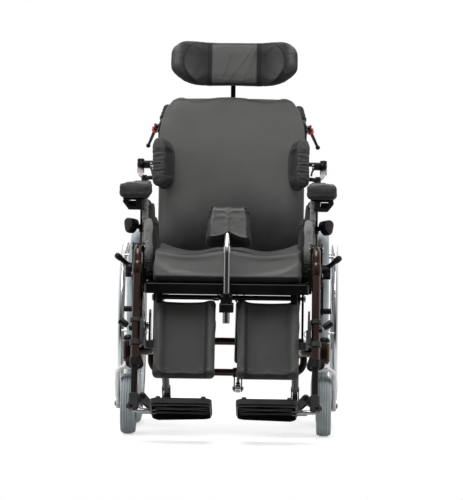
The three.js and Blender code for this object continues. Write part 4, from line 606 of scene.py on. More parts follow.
def turned_about(surface, axis, angle, pivot=(0, 0, 0)):
    """A surface turned about a line through pivot."""
    points, faces = surface
    spin = np.array(Matrix.Rotation(angle, 3, Vector(axis)))
    return (points - np.asarray(pivot)) @ spin.T + np.asarray(pivot), faces


drilled = plate(rounded((0, 0), (50, 30), 5), "z", 0, 4, holes=[disc(25, 15, 6)])
print("a plate with one hole has", len(drilled[1]), "faces")

# %% [markdown]
# ## The finishes
#
# The frame is painted a dark bronze brown over steel, so it is metallic under a clear coat. The
# black parts are powder coated, which leaves a fine orange peel. Metal that hands polish, such as
# the handrims, has hairline scratches. Each finish varies a little over a few centimetres,
# because no real surface is even.

# %% Paint and metal
def painted(name, dark, light, roughness, metallic, coat, peel=0.00004, specular=0.5):
    """Coated steel: two close tones, a fine orange peel and rubbed, duller patches."""
    finish = Finish(name, dark, roughness, metallic, Coat_Weight=coat, Coat_Roughness=0.12,
                    Specular_IOR_Level=specular)
    tone = finish.noise(9.0, 4.0)
    finish.set("Base Color", finish.between(finish.ramp(tone, 0.35, 0.7), dark, light))
    finish.set("Roughness", roughness + 0.16 * finish.noise(36.0, 5.0) - 0.08)
    return finish.bump(finish.noise(1500.0, 2.0), peel)


def bare_metal(name, color, roughness, scratch=0.00002):
    """Polished or brushed metal: hairlines round it and faint smears."""
    finish = Finish(name, color, roughness, 1.0)
    hairline = finish.noise(260.0, 4.0, stretch=(1.0, 1.0, 9.0))
    finish.set("Roughness", roughness + 0.10 * finish.noise(30.0, 4.0) + 0.06 * hairline - 0.08)
    shade = tuple(0.86 * c for c in color)
    finish.set("Base Color", finish.between(finish.noise(12.0, 3.0), shade, color))
    return finish.bump(hairline, scratch)


bronze = painted("bronze_paint", (0.026, 0.0125, 0.0085), (0.046, 0.0225, 0.0155), 0.20, 0.75, 0.4)
black_paint = painted("black_powder_coat", (0.0022, 0.0022, 0.0024), (0.0045, 0.0045, 0.005), 0.36, 0.0, 0.05,
                      specular=0.22)
silver = painted("silver_paint", (0.74, 0.745, 0.74), (0.84, 0.84, 0.83), 0.34, 0.2, 0.4)
cast = painted("cast_grey", (0.017, 0.017, 0.018), (0.034, 0.034, 0.035), 0.44, 0.3, 0.12, 0.0002, 0.4)
taupe = painted("taupe_alloy", (0.26, 0.24, 0.235), (0.36, 0.34, 0.335), 0.50, 0.0, 0.1)
chrome = bare_metal("polished_metal", (0.78, 0.79, 0.81), 0.13)
steel = bare_metal("bolt_steel", (0.42, 0.42, 0.43), 0.26)
zinc = bare_metal("brushed_rim", (0.58, 0.60, 0.63), 0.24)
print("painted finishes:", [f.material.name for f in (bronze, black_paint, silver, cast, taupe)])

# %% [markdown]
# Moulded parts take their grain from the mould: fine on hard plastic, coarse on rubber.

# %% Rubber and plastic
def moulded(name, dark, light, roughness, grain, depth, specular=0.5):
    """Moulded plastic or rubber with a grain of `grain` bumps to the metre."""
    finish = Finish(name, dark, roughness, Specular_IOR_Level=specular)
    tone = finish.noise(14.0, 4.0)
    finish.set("Base Color", finish.between(finish.ramp(tone, 0.3, 0.75), dark, light))
    finish.set("Roughness", roughness + 0.14 * finish.noise(50.0, 5.0) - 0.07)
    return finish.bump(finish.noise(grain, 3.0), depth)


tyre_rubber = moulded("grey_tyre_rubber", (0.36, 0.405, 0.415), (0.50, 0.55, 0.56), 0.72, 700.0, 0.00025, 0.3)
caster_rubber = moulded("grey_caster_rubber", (0.25, 0.28, 0.29), (0.36, 0.395, 0.405), 0.66, 700.0, 0.0002,
                        0.35)
black_plastic = moulded("black_plastic", (0.003, 0.003, 0.0033), (0.007, 0.007, 0.0075), 0.38, 1800.0,
                        0.00006, 0.28)
grip_rubber = moulded("grip_rubber", (0.010, 0.010, 0.010), (0.021, 0.021, 0.022), 0.58, 1200.0, 0.00015,
                      0.35)
red_plastic = moulded("red_plastic", (0.52, 0.018, 0.022), (0.62, 0.035, 0.035), 0.34, 1600.0, 0.00004)
grey_plastic = moulded("grey_plastic", (0.42, 0.42, 0.42), (0.52, 0.52, 0.52), 0.42, 1600.0, 0.00005)
print("moulded finishes: tyre, caster, black, grip, red, grey")

# %% [markdown]
# ## Putting a piece in its place
#
# Left and right pieces are mirror images. One function makes the mesh of a form once, or once for
# each side, gives it its finish, and ties it to the body that carries it. A slot is what a viewer
# may repaint in one go, and each finish belongs to one.

# %% Hanging pieces on bodies
made = {}
SLOTS = {
    "bronze_tube": [bronze], "black_steel": [black_paint], "silver_paint": [silver], "cast_grey": [cast],
    "taupe_alloy": [taupe], "polished_metal": [chrome, steel, zinc], "red_plastic": [red_plastic],
    "black_plastic": [black_plastic, grey_plastic], "black_rubber": [grip_rubber],
    "grey_rubber": [tyre_rubber, caster_rubber]}
for slot, finishes in SLOTS.items():
    for finish in finishes:
        finish.slot = slot


def hang(form, name, finish, body, nodes=(), pair=None, sharp=32):
    """Make a form's mesh, for both sides where its body comes in pairs, dress it and let it ride."""
    if pair is None:
        pair = f"left_{body}" in frame["bodies"]
    for side in ("left", "right") if pair else (None,):
        mark = f"{side}_" if side else ""
        piece = form.mesh(mark + name, mirrored=side == "right", sharp=sharp)
        own = mark + body if mark + body in frame["bodies"] else body
        settle(piece, finish, own, [mark + n for n in nodes])
    print(name, "rides on", body, "with", len(form.faces), "faces")
    return form


def settle(piece, finish, body, nodes):
    """Dress one piece, hang it on its body and let it stand for its CAD nodes."""
    dress(piece, finish)
    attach(piece, body)
    if nodes:
        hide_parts(*nodes)
    made[piece.name] = piece
    return piece


# %% [markdown]
# ## Rear wheels
#
# A wheelchair wheel is a bicycle wheel: a tyre on a rim, laced with crossed steel spokes to a
# flanged hub, with a second ring outside it for the hands. The tyre is a profile turned round the
# axle. Its tread is cut by lowering the crown along slanted grooves.

# %% Tyre with tread
WHEEL = np.array([288.0, 0.0, 303.08])
TYRE_RADIUS, TYRE_BULGE, TYRE_HALF_WIDTH, TYRE_BORE = 303.0, 16.4, 17.4, 271.4
TREAD_BARS, TREAD_DEPTH, TREAD_SLANT = 78, 1.5, 1.21
AXIS_X, REAR, UP = [1.0, 0.0, 0.0], (0, 1, 0), (0, 0, 1)


def tread_tyre():
    """A tyre's section is a rounded U. Slanted grooves lower its crown as the angle goes round."""
    around, across = 560, 40
    turn = np.arange(around) * FULL_TURN / around
    t = np.linspace(-1, 1, across)
    bulge = np.linspace(math.radians(-128), math.radians(128), across)
    x = TYRE_HALF_WIDTH * np.sin(bulge) * (1 - 0.10 * (t ** 4))
    crown = TYRE_RADIUS + TYRE_BULGE * (np.cos(bulge) - 1)
    chevron = np.sin(TREAD_BARS * turn[:, None] + TREAD_SLANT * np.abs(x))
    on_crown = (np.abs(x) > 2.2) & (np.cos(bulge) > 0.15)
    r = crown - TREAD_DEPTH * (chevron > 0.35) * on_crown
    points = np.stack([
        np.broadcast_to(x, r.shape), r * np.sin(turn)[:, None], r * np.cos(turn)[:, None]], -1)
    bore = TYRE_BORE * np.stack([np.zeros(around), np.sin(turn), np.cos(turn)], -1)
    whole = np.concatenate([points, bore[:, None]], 1)
    return whole.reshape(-1, 3) + WHEEL, grid_faces(around, across + 1, close_rows=True)


hang(Form().add(tread_tyre()), "rear_tyre_tread", tyre_rubber, "drive_wheel", ["rear_tyre"], sharp=28)

# %% [markdown]
# The rim is a hooked alloy channel. Spokes go out from both hub flanges and cross each other, so
# that half of them pull forwards and half pull backwards. Each ends in a short brass nipple.

# %% Rim, hub and spokes
rim = Form()
RIM = there_and_back([[253.8, 0], [254.6, -8.5], [258.5, -12.6], [266.0, -14.0], [270.8, -13.6],
                      [271.2, -11.5], [264.5, -10.8], [263.2, -6]])
rim.add(ring_turned(RIM, WHEEL, AXIS_X, 160))
hang(rim, "rim", zinc, "drive_wheel", ["rear_wheel"])

HUB = [[7.2, -33], [13.0, -33], [14.0, -30], [14.0, -29.5], [27, -27.2], [28.2, -26.4], [28.2, -23.4],
       [26, -22.4], [14.5, -19], [12.0, -12], [12.0, 2], [14.5, 6], [26, 8], [28.2, 8.8], [28.2, 11.6],
       [26, 12.6], [14.0, 14], [13.0, 15.6], [7.2, 15.6]]
hang(Form().add(ring_turned(HUB, WHEEL, AXIS_X, 48)), "hub", chrome, "drive_wheel")

SPOKES, SPOKE_CROSSING = 32, math.radians(34)
HUB_HOLES, RIM_INSIDE = 24.5, 254.5
OUTER_FLANGE, INNER_FLANGE, RIM_STAGGER = 10.0, -25.0, 3.0
spokes, nipples = Form(), Form()
for i in range(SPOKES):
    outer = i % 2 == 1
    angle = FULL_TURN * (i + 0.5) / SPOKES
    cross = SPOKE_CROSSING * (1 if i % 4 < 2 else -1)
    foot = WHEEL + [OUTER_FLANGE if outer else INNER_FLANGE,
                    HUB_HOLES * math.sin(angle + cross), HUB_HOLES * math.cos(angle + cross)]
    tip = WHEEL + [RIM_STAGGER if outer else -RIM_STAGGER,
                   RIM_INSIDE * math.sin(angle), RIM_INSIDE * math.cos(angle)]
    spokes.add(rod(foot, tip, 1.15, sides=8, soft=0.2))
    inward = unit(foot - tip)
    nipples.add(rod(tip, tip + inward * 13, 2.1, sides=8, soft=0.5))
hang(spokes, "spokes", steel, "drive_wheel")
hang(nipples, "spoke_nipples", chrome, "drive_wheel")

valve_at = WHEEL + [0, 0, -254]
valve = Form().add(rod(valve_at, valve_at + [0, 0, 26], 3.0, 14))
valve.add(rod(valve_at + [0, 0, 24], valve_at + [0, 0, 34], 3.9, 10))
hang(valve, "tyre_valve", black_plastic, "drive_wheel")
print("each wheel:", SPOKES, "spokes and", TREAD_BARS, "bars of tread a side")

# %% [markdown]
# The handrim is one bent tube, held off the rim by six tabs.

# %% Handrim
HANDRIM_RADIUS, HANDRIM_OUT, HANDRIM_TABS, TAB_RADIUS = 252, 36.0, 6, 258.5
handrim = Form()
ring_angle = np.arange(160) * FULL_TURN / 160
ring_path = WHEEL + np.stack([
    np.full(160, HANDRIM_OUT), HANDRIM_RADIUS * np.sin(ring_angle), HANDRIM_RADIUS * np.cos(ring_angle)], -1)
handrim.add(swept(ring_path, circle(20), 9.6, closed_path=True))
for i in range(HANDRIM_TABS):
    angle = FULL_TURN * (i + 0.5) / HANDRIM_TABS
    y, z = TAB_RADIUS * math.sin(angle), TAB_RADIUS * math.cos(angle)
    handrim.add(
        rod(WHEEL + [13, y, z], WHEEL + [35, y, z], 3.6, 14),
        turned([[6, 0], [6.4, 1], [6.4, 2], [4, 3.4]], WHEEL + [13.4, y, z], AXIS_X, 16))
hang(handrim, "handrim_ring", chrome, "drive_wheel", ["handrim"])
print("handrim:", 2 * HANDRIM_RADIUS, "mm across on", HANDRIM_TABS, "tabs")

# %% [markdown]
# ## Casters
#
# The small front wheels have a solid ribbed tyre on a dished plastic centre. A cast silver fork
# arches over each, and its legs trail behind the stem so that the wheel follows.

# %% Caster wheel
CASTER = np.array([293.0, -370.0, 91.64])
CASTER_RADIUS, CASTER_TRAIL = 91.5, 50
STEM = CASTER * [1, 1, 0] - [0, CASTER_TRAIL, 0]
CASTER_GROOVES = (-14.5, -7.3, 0, 7.3, 14.5)


def caster_tyre():
    """The crown is a shallow arc with five grooves round it, and its shoulders roll into flat walls."""
    x = np.linspace(-21.6, 21.6, 90)
    crown = CASTER_RADIUS - 7.5 * np.abs(x / 21.6) ** 3.2
    groove = sum(np.exp(-((x - middle) / 1.15) ** 2) for middle in CASTER_GROOVES)
    outer = np.stack([crown - 2.6 * groove, x], -1)
    inner = np.array([[70, 22.0], [66, 20.5], [64.0, 17.0], [64.0, -17.0], [66, -20.5], [70, -22.0]])
    return ring_turned(np.concatenate([outer, inner]), CASTER, AXIS_X, 120)


hang(Form().add(caster_tyre()), "caster_tyre", caster_rubber, "caster_roller", ["caster_wheel"], sharp=50)
dish = there_and_back([[5.6, -24.2], [12.5, -24.2], [14, -22.5], [15, -14], [24, -10], [50, -8.5],
                       [58, -12], [60, -16.5], [63.6, -17.5], [64.6, -15]])
hub_form = Form().add(ring_turned(dish, CASTER, AXIS_X, 72))
for i in range(6):
    a = FULL_TURN * i / 6
    direction = np.array([0, math.sin(a), math.cos(a)])
    for side in (-1, 1):
        low, high = sorted((side * 8.0, side * 14.5))
        hub_form.add(turned_about(block((CASTER[0] + low, CASTER[0] + high), (CASTER[1] - 2, CASTER[1] + 2),
                                        (CASTER[2] + 18, CASTER[2] + 58)), (1, 0, 0), a, CASTER))
hang(hub_form, "caster_centre", black_plastic, "caster_roller")
print("caster:", 2 * CASTER_RADIUS, "mm across, with", len(CASTER_GROOVES), "grooves")

# %% [markdown]
# `laid` sweeps a section that isn't round, such as the flat bar of the fork, and keeps it from
# rolling over in the bends.

# %% Caster fork
def box_section(width, height, radius):
    """A rounded rectangle about the origin, for sweeping."""
    return rounded((-width / 2, -height / 2), (width / 2, height / 2), radius)


def laid(path, section, across):
    """Sweep a section that isn't round, with its first direction kept along `across`."""
    path = np.asarray(path, float)
    along = np.gradient(path, axis=0)
    along /= np.linalg.norm(along, axis=1, keepdims=True)
    side = np.asarray(across, float) - along * (along @ np.asarray(across, float))[:, None]
    side /= np.linalg.norm(side, axis=1, keepdims=True)
    up = np.cross(along, side)
    points = path[:, None] + section[None, :, :1] * side[:, None] + section[None, :, 1:] * up[:, None]
    grid = len(path), len(section)
    return points.reshape(-1, 3), grid_faces(*grid) + end_faces(*grid)


arch = route([(30.9, 0, 91.6), (30.9, 0, 205), (-30.9, 0, 205), (-30.9, 0, 91.6)], 22)
dense = []
for a, b in zip(arch, arch[1:]):
    steps = max(1, int(np.linalg.norm(b - a) / 8))
    dense += [a + (b - a) * k / steps for k in range(steps)]
arch = np.array(dense + [arch[-1]])
drop = np.clip((198 - arch[:, 2]) / (198 - 91.6), 0, 1)
arch[:, 1] += drop * CASTER_TRAIL
arch += STEM
fork = Form().add(laid(arch, box_section(27, 11.4, 3.6), REAR))
for side in (-1, 1):
    boss = [[14.5, 25.4], [15, 26.2], [15, 36], [14.2, 37.0], [9.5, 37.4]]
    fork.add(turned([[r, side * d] for r, d in boss], CASTER, AXIS_X, 36))
    rib = [STEM + [side * 37.4, 46, 110], STEM + [side * 37.6, 20, 160], STEM + [side * 34.0, 3, 198]]
    fork.add(tube(rib, 2.6, bend=60, sides=12))
fork_crown = eased([[6, 211], [17, 211], [17, 214], [13.8, 216], [13.8, 222.6], [8, 222.6], [8, 223]])
fork.add(turned(fork_crown, STEM, UP, 40))
hang(fork, "caster_fork_arch", silver, "caster_swivel", ["caster_fork"])
fork_bolts = Form()
for side in (-1, 1):
    fork_bolts.add(
        turned([[9.2, 36.8], [9.2, 38.2], [8.2, 38.6]], CASTER, [side, 0, 0], 24),
        bolt(CASTER + [side * 38.2, 0, 0], [side, 0, 0], 7.4, 3.6))
fork_bolts.add(rod(CASTER - [24, 0, 0], CASTER + [24, 0, 0], 5.0))
hang(fork_bolts, "caster_axle_bolt", black_paint, "caster_swivel")
stem_bar = Form().add(rod(STEM + [0, 0, 222], STEM + [0, 0, 265], 7.9))
hang(stem_bar, "caster_stem", steel, "caster_swivel")
print("the casters trail", CASTER_TRAIL, "mm behind their stems")

# %% [markdown]
# ## The base
#
# Two side rails run back from the caster heads to the axle plates. They carry everything: the
# posts of the wheel locks, the plates of the tilt pivot, and the sockets of the anti-tippers.
# Where tubes meet they are welded, so each joint gets a small swollen bead.


# %% Weld beads and end caps
def weld(centre, direction, radius, width=3.0):
    """A ring of weld where a tube of this radius lands on something: a rippled fillet."""
    steps = 72
    a = np.arange(steps) * FULL_TURN / steps
    direction = unit(direction)
    side = unit(np.cross(direction, [0.31, 0.92, 0.22]))
    up = np.cross(direction, side)
    path = np.asarray(centre) + radius * (np.cos(a)[:, None] * side + np.sin(a)[:, None] * up)
    return swept(path, circle(8), width * 0.5 * (1 + 0.14 * np.sin(24 * a)), closed_path=True)


def collar(start, direction, inner, outer, length, soft=0.9):
    """A short sleeve with its bore."""
    profile = [[inner, 0], [outer - soft, 0], [outer, soft],
               [outer, length - soft], [outer - soft, length], [inner, length]]
    return ring_turned(profile, start, direction, 40)


print("a weld's ripples:", np.ptp(np.linalg.norm(weld((0, 0, 0), UP, 13)[0], axis=1)).round(2), "mm of bead")

# %% [markdown]
# `both` turns the reach of a plate round for the right side. `ears` and `ear_pin` hold the struts
# here, under the seat and on the back.

# %% Ears and shared places
DOWN_BACK = np.array([0, math.cos(math.radians(30)), -math.sin(math.radians(30))])
# Pivots and pins as (back, up)
TILT_PIVOT, LOCK_HUB, LOCK_PIN = (-150, 400), (-285, 492), (-325, 450)
TIPPER_TOP = np.array([206, -22, 262])
EAR_APART, EAR_HALF, EAR_RADIUS = 11.0, 1.9, 11
# Each strut's place across the chair, and its two pins as (back, up). The last one is in the back's frame.
TILT_STRUT_X, TILT_HEAD, TILT_FOOT = 33, (-20, 388), (-250, 131)
RECLINE_STRUT_X, RECLINE_HEAD, RECLINE_FOOT = -26, (95, 392), (58, 205)


def both(side, low, high):
    """The reach of a plate across the chair, given for the left and drawn for either side."""
    return sorted((side * low, side * high))


def ears(form, middle, root, eye):
    """Two plates that hold the eye of a strut between them."""
    for x in (middle - EAR_APART, middle + EAR_APART):
        form.add(plate(belt([root, [*eye, EAR_RADIUS]]), "x", x - EAR_HALF, x + EAR_HALF))


def ear_pin(form, middle, eye):
    """The pin through a pair of ears, with a bolt's head at each end."""
    form.add(rod((middle - 16, *eye), (middle + 16, *eye), 3.95, 16))
    for end in (1, -1):
        form.add(bolt((middle + end * 13, *eye), (end, 0, 0), 6.8, 4))


print("the tilt strut is", round(math.dist(TILT_HEAD, TILT_FOOT)), "mm long between its pins")

# %% [markdown]
# Rails, head tubes, lock posts, plates and sockets are added to one form, with a bead at each joint.

# %% Base tubes
base = Form()
for side in (1, -1):
    def s(x, y, z):
        return np.array([side * x, y, z], float)
    base.add(tube([s(293, -420, 250), s(231, -352, 250), s(231, 45, 250)], 13, bend=45, sides=32),
             turned(eased([[9, 223.6], [14, 223.6], [14, 228], [16, 229], [16, 234], [15.2, 235], [15.2, 281],
                           [16, 282], [16, 287.4], [14, 288.2]], 0.4), s(293, -420, 0), UP, 40),
             weld(s(280.5, -407.0, 250), s(62, -68, 0), 13.2),
             plate(belt([[0, 330, 26], [-42, 242, 15], [42, 242, 15]]), "x", *both(side, 243.4, 250),
                   holes=[disc(0, 303.08 + 34, 6), disc(0, 303.08 - 34, 6)]),
             tube([s(238, -362, 250), s(264, -362, 292), s(264, -362, 508)], 11, bend=25, sides=28),
             weld(s(239.5, -362, 254), s(26, 0, 42), 12.2))
    outline = belt([[*TILT_PIVOT, 19], [-180, 250, 15], [-120, 250, 15]])
    base.add(plate(outline, "x", *both(side, 223, 230), holes=[disc(-150, 325, 13)]))
    receiver_top = TIPPER_TOP * [side, 1, 1]
    base.add(
        tube([receiver_top, receiver_top + DOWN_BACK * 104], 14.8, sides=28),
        weld(s(231, -250, 240), UP, 12.4))
lower_cross = [(-231, -250, 250), (-231, -250, 180), (231, -250, 180), (231, -250, 250)]
base.add(tube(lower_cross, 11, bend=35, sides=28), rod((-231, -20, 259), (231, -20, 259), 12, 28))
hang(base, "base_tubes", bronze, "base", ["base_frame"])

strut_mount = Form().add(collar((17, -250, 180), AXIS_X, 11.2, 14.8, 32))
ears(strut_mount, TILT_STRUT_X, [-250, 180, 14.6], TILT_FOOT)
hang(strut_mount, "tilt_strut_bracket", bronze, "base", ["strut_bracket"])

# %% [markdown]
# Bolts, axle stubs and pins are bare steel. Caps, clamps and the plates of the wheel locks are black.

# %% Base fasteners and caps
base_metal, base_black = Form(), Form()
for side in (1, -1):
    out = [side, 0, 0]
    base_metal.add(
        turned(eased([[11, 0], [11, 4.6], [6.4, 4.6], [6.4, 6]]), (side * 249.8, 0, 303.08), out, 32),
        rod((side * 250, 0, 303.08), (side * 305, 0, 303.08), 6.2, 20),
        turned([[11, 304.6], [11, 308], [9.5, 310.2], [6, 310.6]], (0, 0, 303.08), out, 6),
        turned([[16.6, 0], [16.6, 3.6], [15.4, 4]], (side * 293, -420, 283.2), UP, 36),
        bolt((side * 231, *TILT_PIVOT), out, 10.5, 5),
        rod((side * 203.4, *TILT_PIVOT), (side * 229, *TILT_PIVOT), 5.9, 20))
    for z in (400, 325 - 60):
        base_metal.add(bolt((side * 230, -150 + (0 if z == 400 else 24), z), out, 5, 3))
    dome = [[15.6, 0], [15.8, 2], [15.0, 6.5], [12.4, 11.0], [8.2, 14.0], [0.01, 15.0]]
    base_black.add(turned(dome, (side * 293, -420, 287.4), UP, 36))
    lock_plate = belt([[*LOCK_HUB, 13], [*LOCK_PIN, 13], [-362, 492, 11], [-362, 450, 11]])
    base_black.add(plate(lock_plate, "x", *both(side, 275.2, 280)))
    for z in (444, 484):
        base_black.add(collar((side * 264, -362, z), UP, 11, 15.5, 12))
    end = TIPPER_TOP * [side, 1, 1] + DOWN_BACK * 96
    base_black.add(
        collar(end, DOWN_BACK, 11.9, 15.6, 9),
        turned([[13, 0], [12.8, 2], [11, 2.8], [0.01, 2.8]], (side * 231, 44.6, 250), REAR, 32))
    base_metal.add(
        rod((side * 280, *LOCK_HUB), (side * 300, *LOCK_HUB), 3.9, 16),
        rod((side * 280, *LOCK_PIN), (side * 290, *LOCK_PIN), 3.9, 16),
        bolt((side * 280, -362, 471), out, 4.6, 2.6))
ear_pin(base_metal, TILT_STRUT_X, TILT_FOOT)
hang(base_metal, "base_fasteners", steel, "base")
hang(base_black, "base_caps_and_lock_plates", black_paint, "base")

# %% [markdown]
# The wheel lock is an over-centre lever. Its hub turns on the plate, and a shoe arm swings a
# short roller against the tyre.

# %% Wheel locks
lever = Form()
hub = eased([[4.6, 280.8], [19.5, 280.8], [20.8, 282.4], [20.8, 304], [18.5, 308.6], [6, 309.4]])
lever.add(
    turned(hub, (0, *LOCK_HUB), AXIS_X, 48),
    block((281, 309), (-302, -268), (468, 500), 4),
    tube([(289, -285, 500), (306, -296, 508), (334, -318, 533)], 7.4, bend=30, sides=20))
hang(lever, "wheel_lock_handle", black_plastic, "lock_lever", ["wheel_lock_lever"])
tip = Form().add(turned([[7.6, -14], [9.2, -10.5], [9.6, 0], [9.0, 6], [6.0, 9.4], [2, 10.4]],
                        (331.5, -316, 530.8), (28, -22, 25), 28))
hang(tip, "wheel_lock_handle_tip", grip_rubber, "lock_lever")

SHOE_ROLLER, SHOE_RADIUS = (-320, 373), 9.1
shoe = Form().add(plate(belt([[*LOCK_PIN, 10], [-320, 371, 10]]), "x", 280.7, 288.2,
                        holes=[disc(*LOCK_PIN, 4.5)]))
shoe.add(tube([(271, *SHOE_ROLLER), (311, *SHOE_ROLLER)], 8.4, sides=24))
for x in np.linspace(291, 311, 9):
    shoe.add(collar((x - 0.5, *SHOE_ROLLER), AXIS_X, 7, SHOE_RADIUS, 1.4, 0.3))
hang(shoe, "wheel_lock_shoe_arm", black_plastic, "lock_shoe", ["wheel_lock_shoe"])
free = math.dist(SHOE_ROLLER, WHEEL[1:]) - TYRE_RADIUS - SHOE_RADIUS
print("the roller of an open lock stands", round(free, 1), "mm off the tyre")

# %% [markdown]
# An anti-tipper slants down and back out of its socket, where two spring buttons hold it. Two
# cheeks at its end hold a small wheel just above the floor.

# %% Anti-tippers
TIPPER_WHEEL, TIPPER_WHEEL_RADIUS = np.array([206, 330, 47]), 32
tipper_start = TIPPER_TOP + DOWN_BACK * 50
tipper_end = TIPPER_TOP + DOWN_BACK * (388 - 32)
tipper = Form().add(tube([tipper_start, tipper_end], 11.4, sides=28))
cheek = belt([[tipper_end[1], tipper_end[2], 11.5], [*TIPPER_WHEEL[1:], 13]])
for low in (206 - 13.4, 206 + 9.6):
    tipper.add(plate(cheek, "x", low, low + 3.8))
for share in (0.42, 0.5):
    place = tipper_start + (tipper_end - tipper_start) * share
    tipper.add(turned([[3.9, 9], [3.8, 12.4], [2.4, 13.4], [0.01, 13.6]], place, AXIS_X, 16))
hang(tipper, "anti_tip_tube", black_paint, "anti_tipper", ["anti_tip_arm"])
tipper_bolts = Form()
for end in (1, -1):
    tipper_bolts.add(bolt(TIPPER_WHEEL + [13 * end, 0, 0], (end, 0, 0), 6.5, 3.2))
hang(tipper_bolts, "anti_tip_bolt", steel, "anti_tipper")
small = there_and_back([[4.6, -8.8], [15, -8.8], [17, -6], [26, -6], [28, -8.2], [30.6, -7.4],
                        [31.8, -4.5], [32, 0]])
hang(Form().add(ring_turned(small, TIPPER_WHEEL, AXIS_X, 64)),
     "anti_tip_roller_tyre", grip_rubber, "anti_tip_roller", ["anti_tip_wheel"])
print("the small wheels stand", TIPPER_WHEEL[2] - TIPPER_WHEEL_RADIUS, "mm above the floor")

# %% [markdown]
# ## Seat frame and struts
#
# A pressed steel pan carries the cushion and hides the two rails that the pivots are bolted to.
# Its sheet is folded down all round, and the front fold shows as the glossy band below the
# cushion. Gas struts between the frames take the weight when the sitter is tilted or reclined.

# %% Seat pan and rails
RECLINE_PIVOT, KNEE_HINGE = BACK_PIVOT[1:], KNEE_PIVOT[1:]
ARM_POST = np.array([258.5, -270, 0])
seat = Form()
pan_outline = rounded((-244, -486), (244, -20), 14)
seat.add(plate(pan_outline, "z", 456.2, 459.8, soft=1.2))
lip_section = np.array([[-1.8, -14], [1.8, -14], [1.8, 14.6], [-1.8, 14.6]])
outward = grown(pan_outline, 1.0) - pan_outline
ring = np.stack([np.column_stack([pan_outline - outward * (1.9 - across),
                                  np.full(len(pan_outline), 444 + up)]) for across, up in lip_section], 1)
seat.add((ring.reshape(-1, 3), grid_faces(len(pan_outline), len(lip_section), close_rows=True)))
for side in (1, -1):
    seat.add(block(both(side, 190, 210), (-470, 52), (400.4, 457.5), 3),
             turned(eased([[7, 206], [20, 206], [20, 218.4], [17, 219.2], [7, 219.2]]), (0, *TILT_PIVOT),
                    [side, 0, 0], 40))
    for low, high in ((186, 192), (208, 214)):
        seat.add(plate(belt([[*RECLINE_PIVOT, 17], [0, 424, 14], [38, 424, 14]]), "x",
                       *both(side, low, high)))
    for low, high in ((247, 252), (278, 283)):
        seat.add(plate(belt([[*KNEE_HINGE, 17], [-425, 470, 18]]), "x", *both(side, low, high), soft=1.2))
    seat.add(
        block(both(side, 247, 283), (-442, -408), (452, 505), 4),
        block(both(side, 241, 252), (-442, -408), (430, 505), 2),
        block(both(side, 241, 266.5), (-284, -256), (430, 452), 2),
        block(both(side, 246.4, 250.2), (-296, -274), (430, 560), 1.5),
        block(both(side, 241, 250.2), (-296, -274), (430, 452), 1.5))
seat.add(rod((-200, -440, 417), (200, -440, 417), 7.4, 24), rod((-200, -5, 413), (200, -5, 413), 11, 28))
ears(seat, TILT_STRUT_X, [-5, 413, 11], TILT_HEAD)
ears(seat, RECLINE_STRUT_X, [-5, 413, 11], RECLINE_HEAD)
hang(seat, "seat_pan_and_rails", black_paint, "seat", ["seat_frame"])

# %% [markdown]
# The pan's bolts and the two posts of the armrests are steel. The pommel's receiver is plastic.

# %% Seat fasteners and receiver
seat_metal = Form()
ear_pin(seat_metal, TILT_STRUT_X, TILT_HEAD)
ear_pin(seat_metal, RECLINE_STRUT_X, RECLINE_HEAD)
for side in (1, -1):
    out = [side, 0, 0]
    inward = [-side, 0, 0]
    seat_metal.add(
        rod((side * 184, *RECLINE_PIVOT), (side * 216, *RECLINE_PIVOT), 5.9, 20),
        bolt((side * 213.8, *RECLINE_PIVOT), out, 9, 4),
        bolt((side * 186.2, *RECLINE_PIVOT), inward, 9, 4),
        rod((side * 248, *KNEE_HINGE), (side * 283, *KNEE_HINGE), 5.9, 20),
        bolt((side * 282.8, *KNEE_HINGE), out, 9.5, 3.4),
        bolt((side * 247.2, *KNEE_HINGE), inward, 8, 3))
    arm_post = ARM_POST * [side, 1, 1]
    seat_metal.add(rod(arm_post + [0, 0, 445], arm_post + [0, 0, 640], 8, 24))
    for y in (-434, -416):
        seat_metal.add(bolt((side * 282.9, y, 485), out, 4.5, 2.6))
hang(seat_metal, "seat_fasteners", steel, "seat")

pommel_mount = Form().add(block((-21, 21), (-516, -432), (376.4, 402), 3))
pommel_mount.add(
    block((-17, 17), (-513, -436), (404, 425.6), 3),
    block((-14.5, 14.5), (-510, -460), (398, 408), 2),
    collar((0, -500, 425), UP, 11, 15.5, 9),
    tube([(-22, -500, 415), (-34, -500, 415), (-36, -507, 415)], 4.2, bend=4, sides=16))
hang(pommel_mount, "pommel_receiver", black_plastic, "seat")


# %% [markdown]
# A gas strut is a painted cylinder with a polished rod. Both are turned about the line between
# its two pins, and each end has an eye.

# %% Gas struts
def gas_strut(middle, head, foot, share, radius=13.8):
    """A painted cylinder with a rolled shoulder, a polished rod, and an eye at each end."""
    head, foot = np.array([middle, *head], float), np.array([middle, *foot], float)
    length = np.linalg.norm(foot - head)
    along = (foot - head) / length
    body = length * share
    cylinder = Form().add(collar(head - [7.8, 0, 0], AXIS_X, 4.4, 10, 15.6))
    cylinder.add(turned([[7.5, 8.4], [7.5, 15], [10, 16.4], [radius - 0.6, 17.4], [radius, 19],
                         [radius, body - 14], [radius - 0.9, body - 12], [radius, body - 10],
                         [radius, body - 3], [radius - 1.4, body - 0.6], [6.4, body], [6.4, body - 8]], head,
                        along, 36))
    piston = Form().add(collar(foot - [7.8, 0, 0], AXIS_X, 7.0, 12.6, 15.6))
    piston.add(turned([[4.9, body - length * (1 - share) * 0.5], [4.9, length - 20], [7.2, length - 19],
                       [7.2, length - 11]], head, along, 28))
    return cylinder, piston


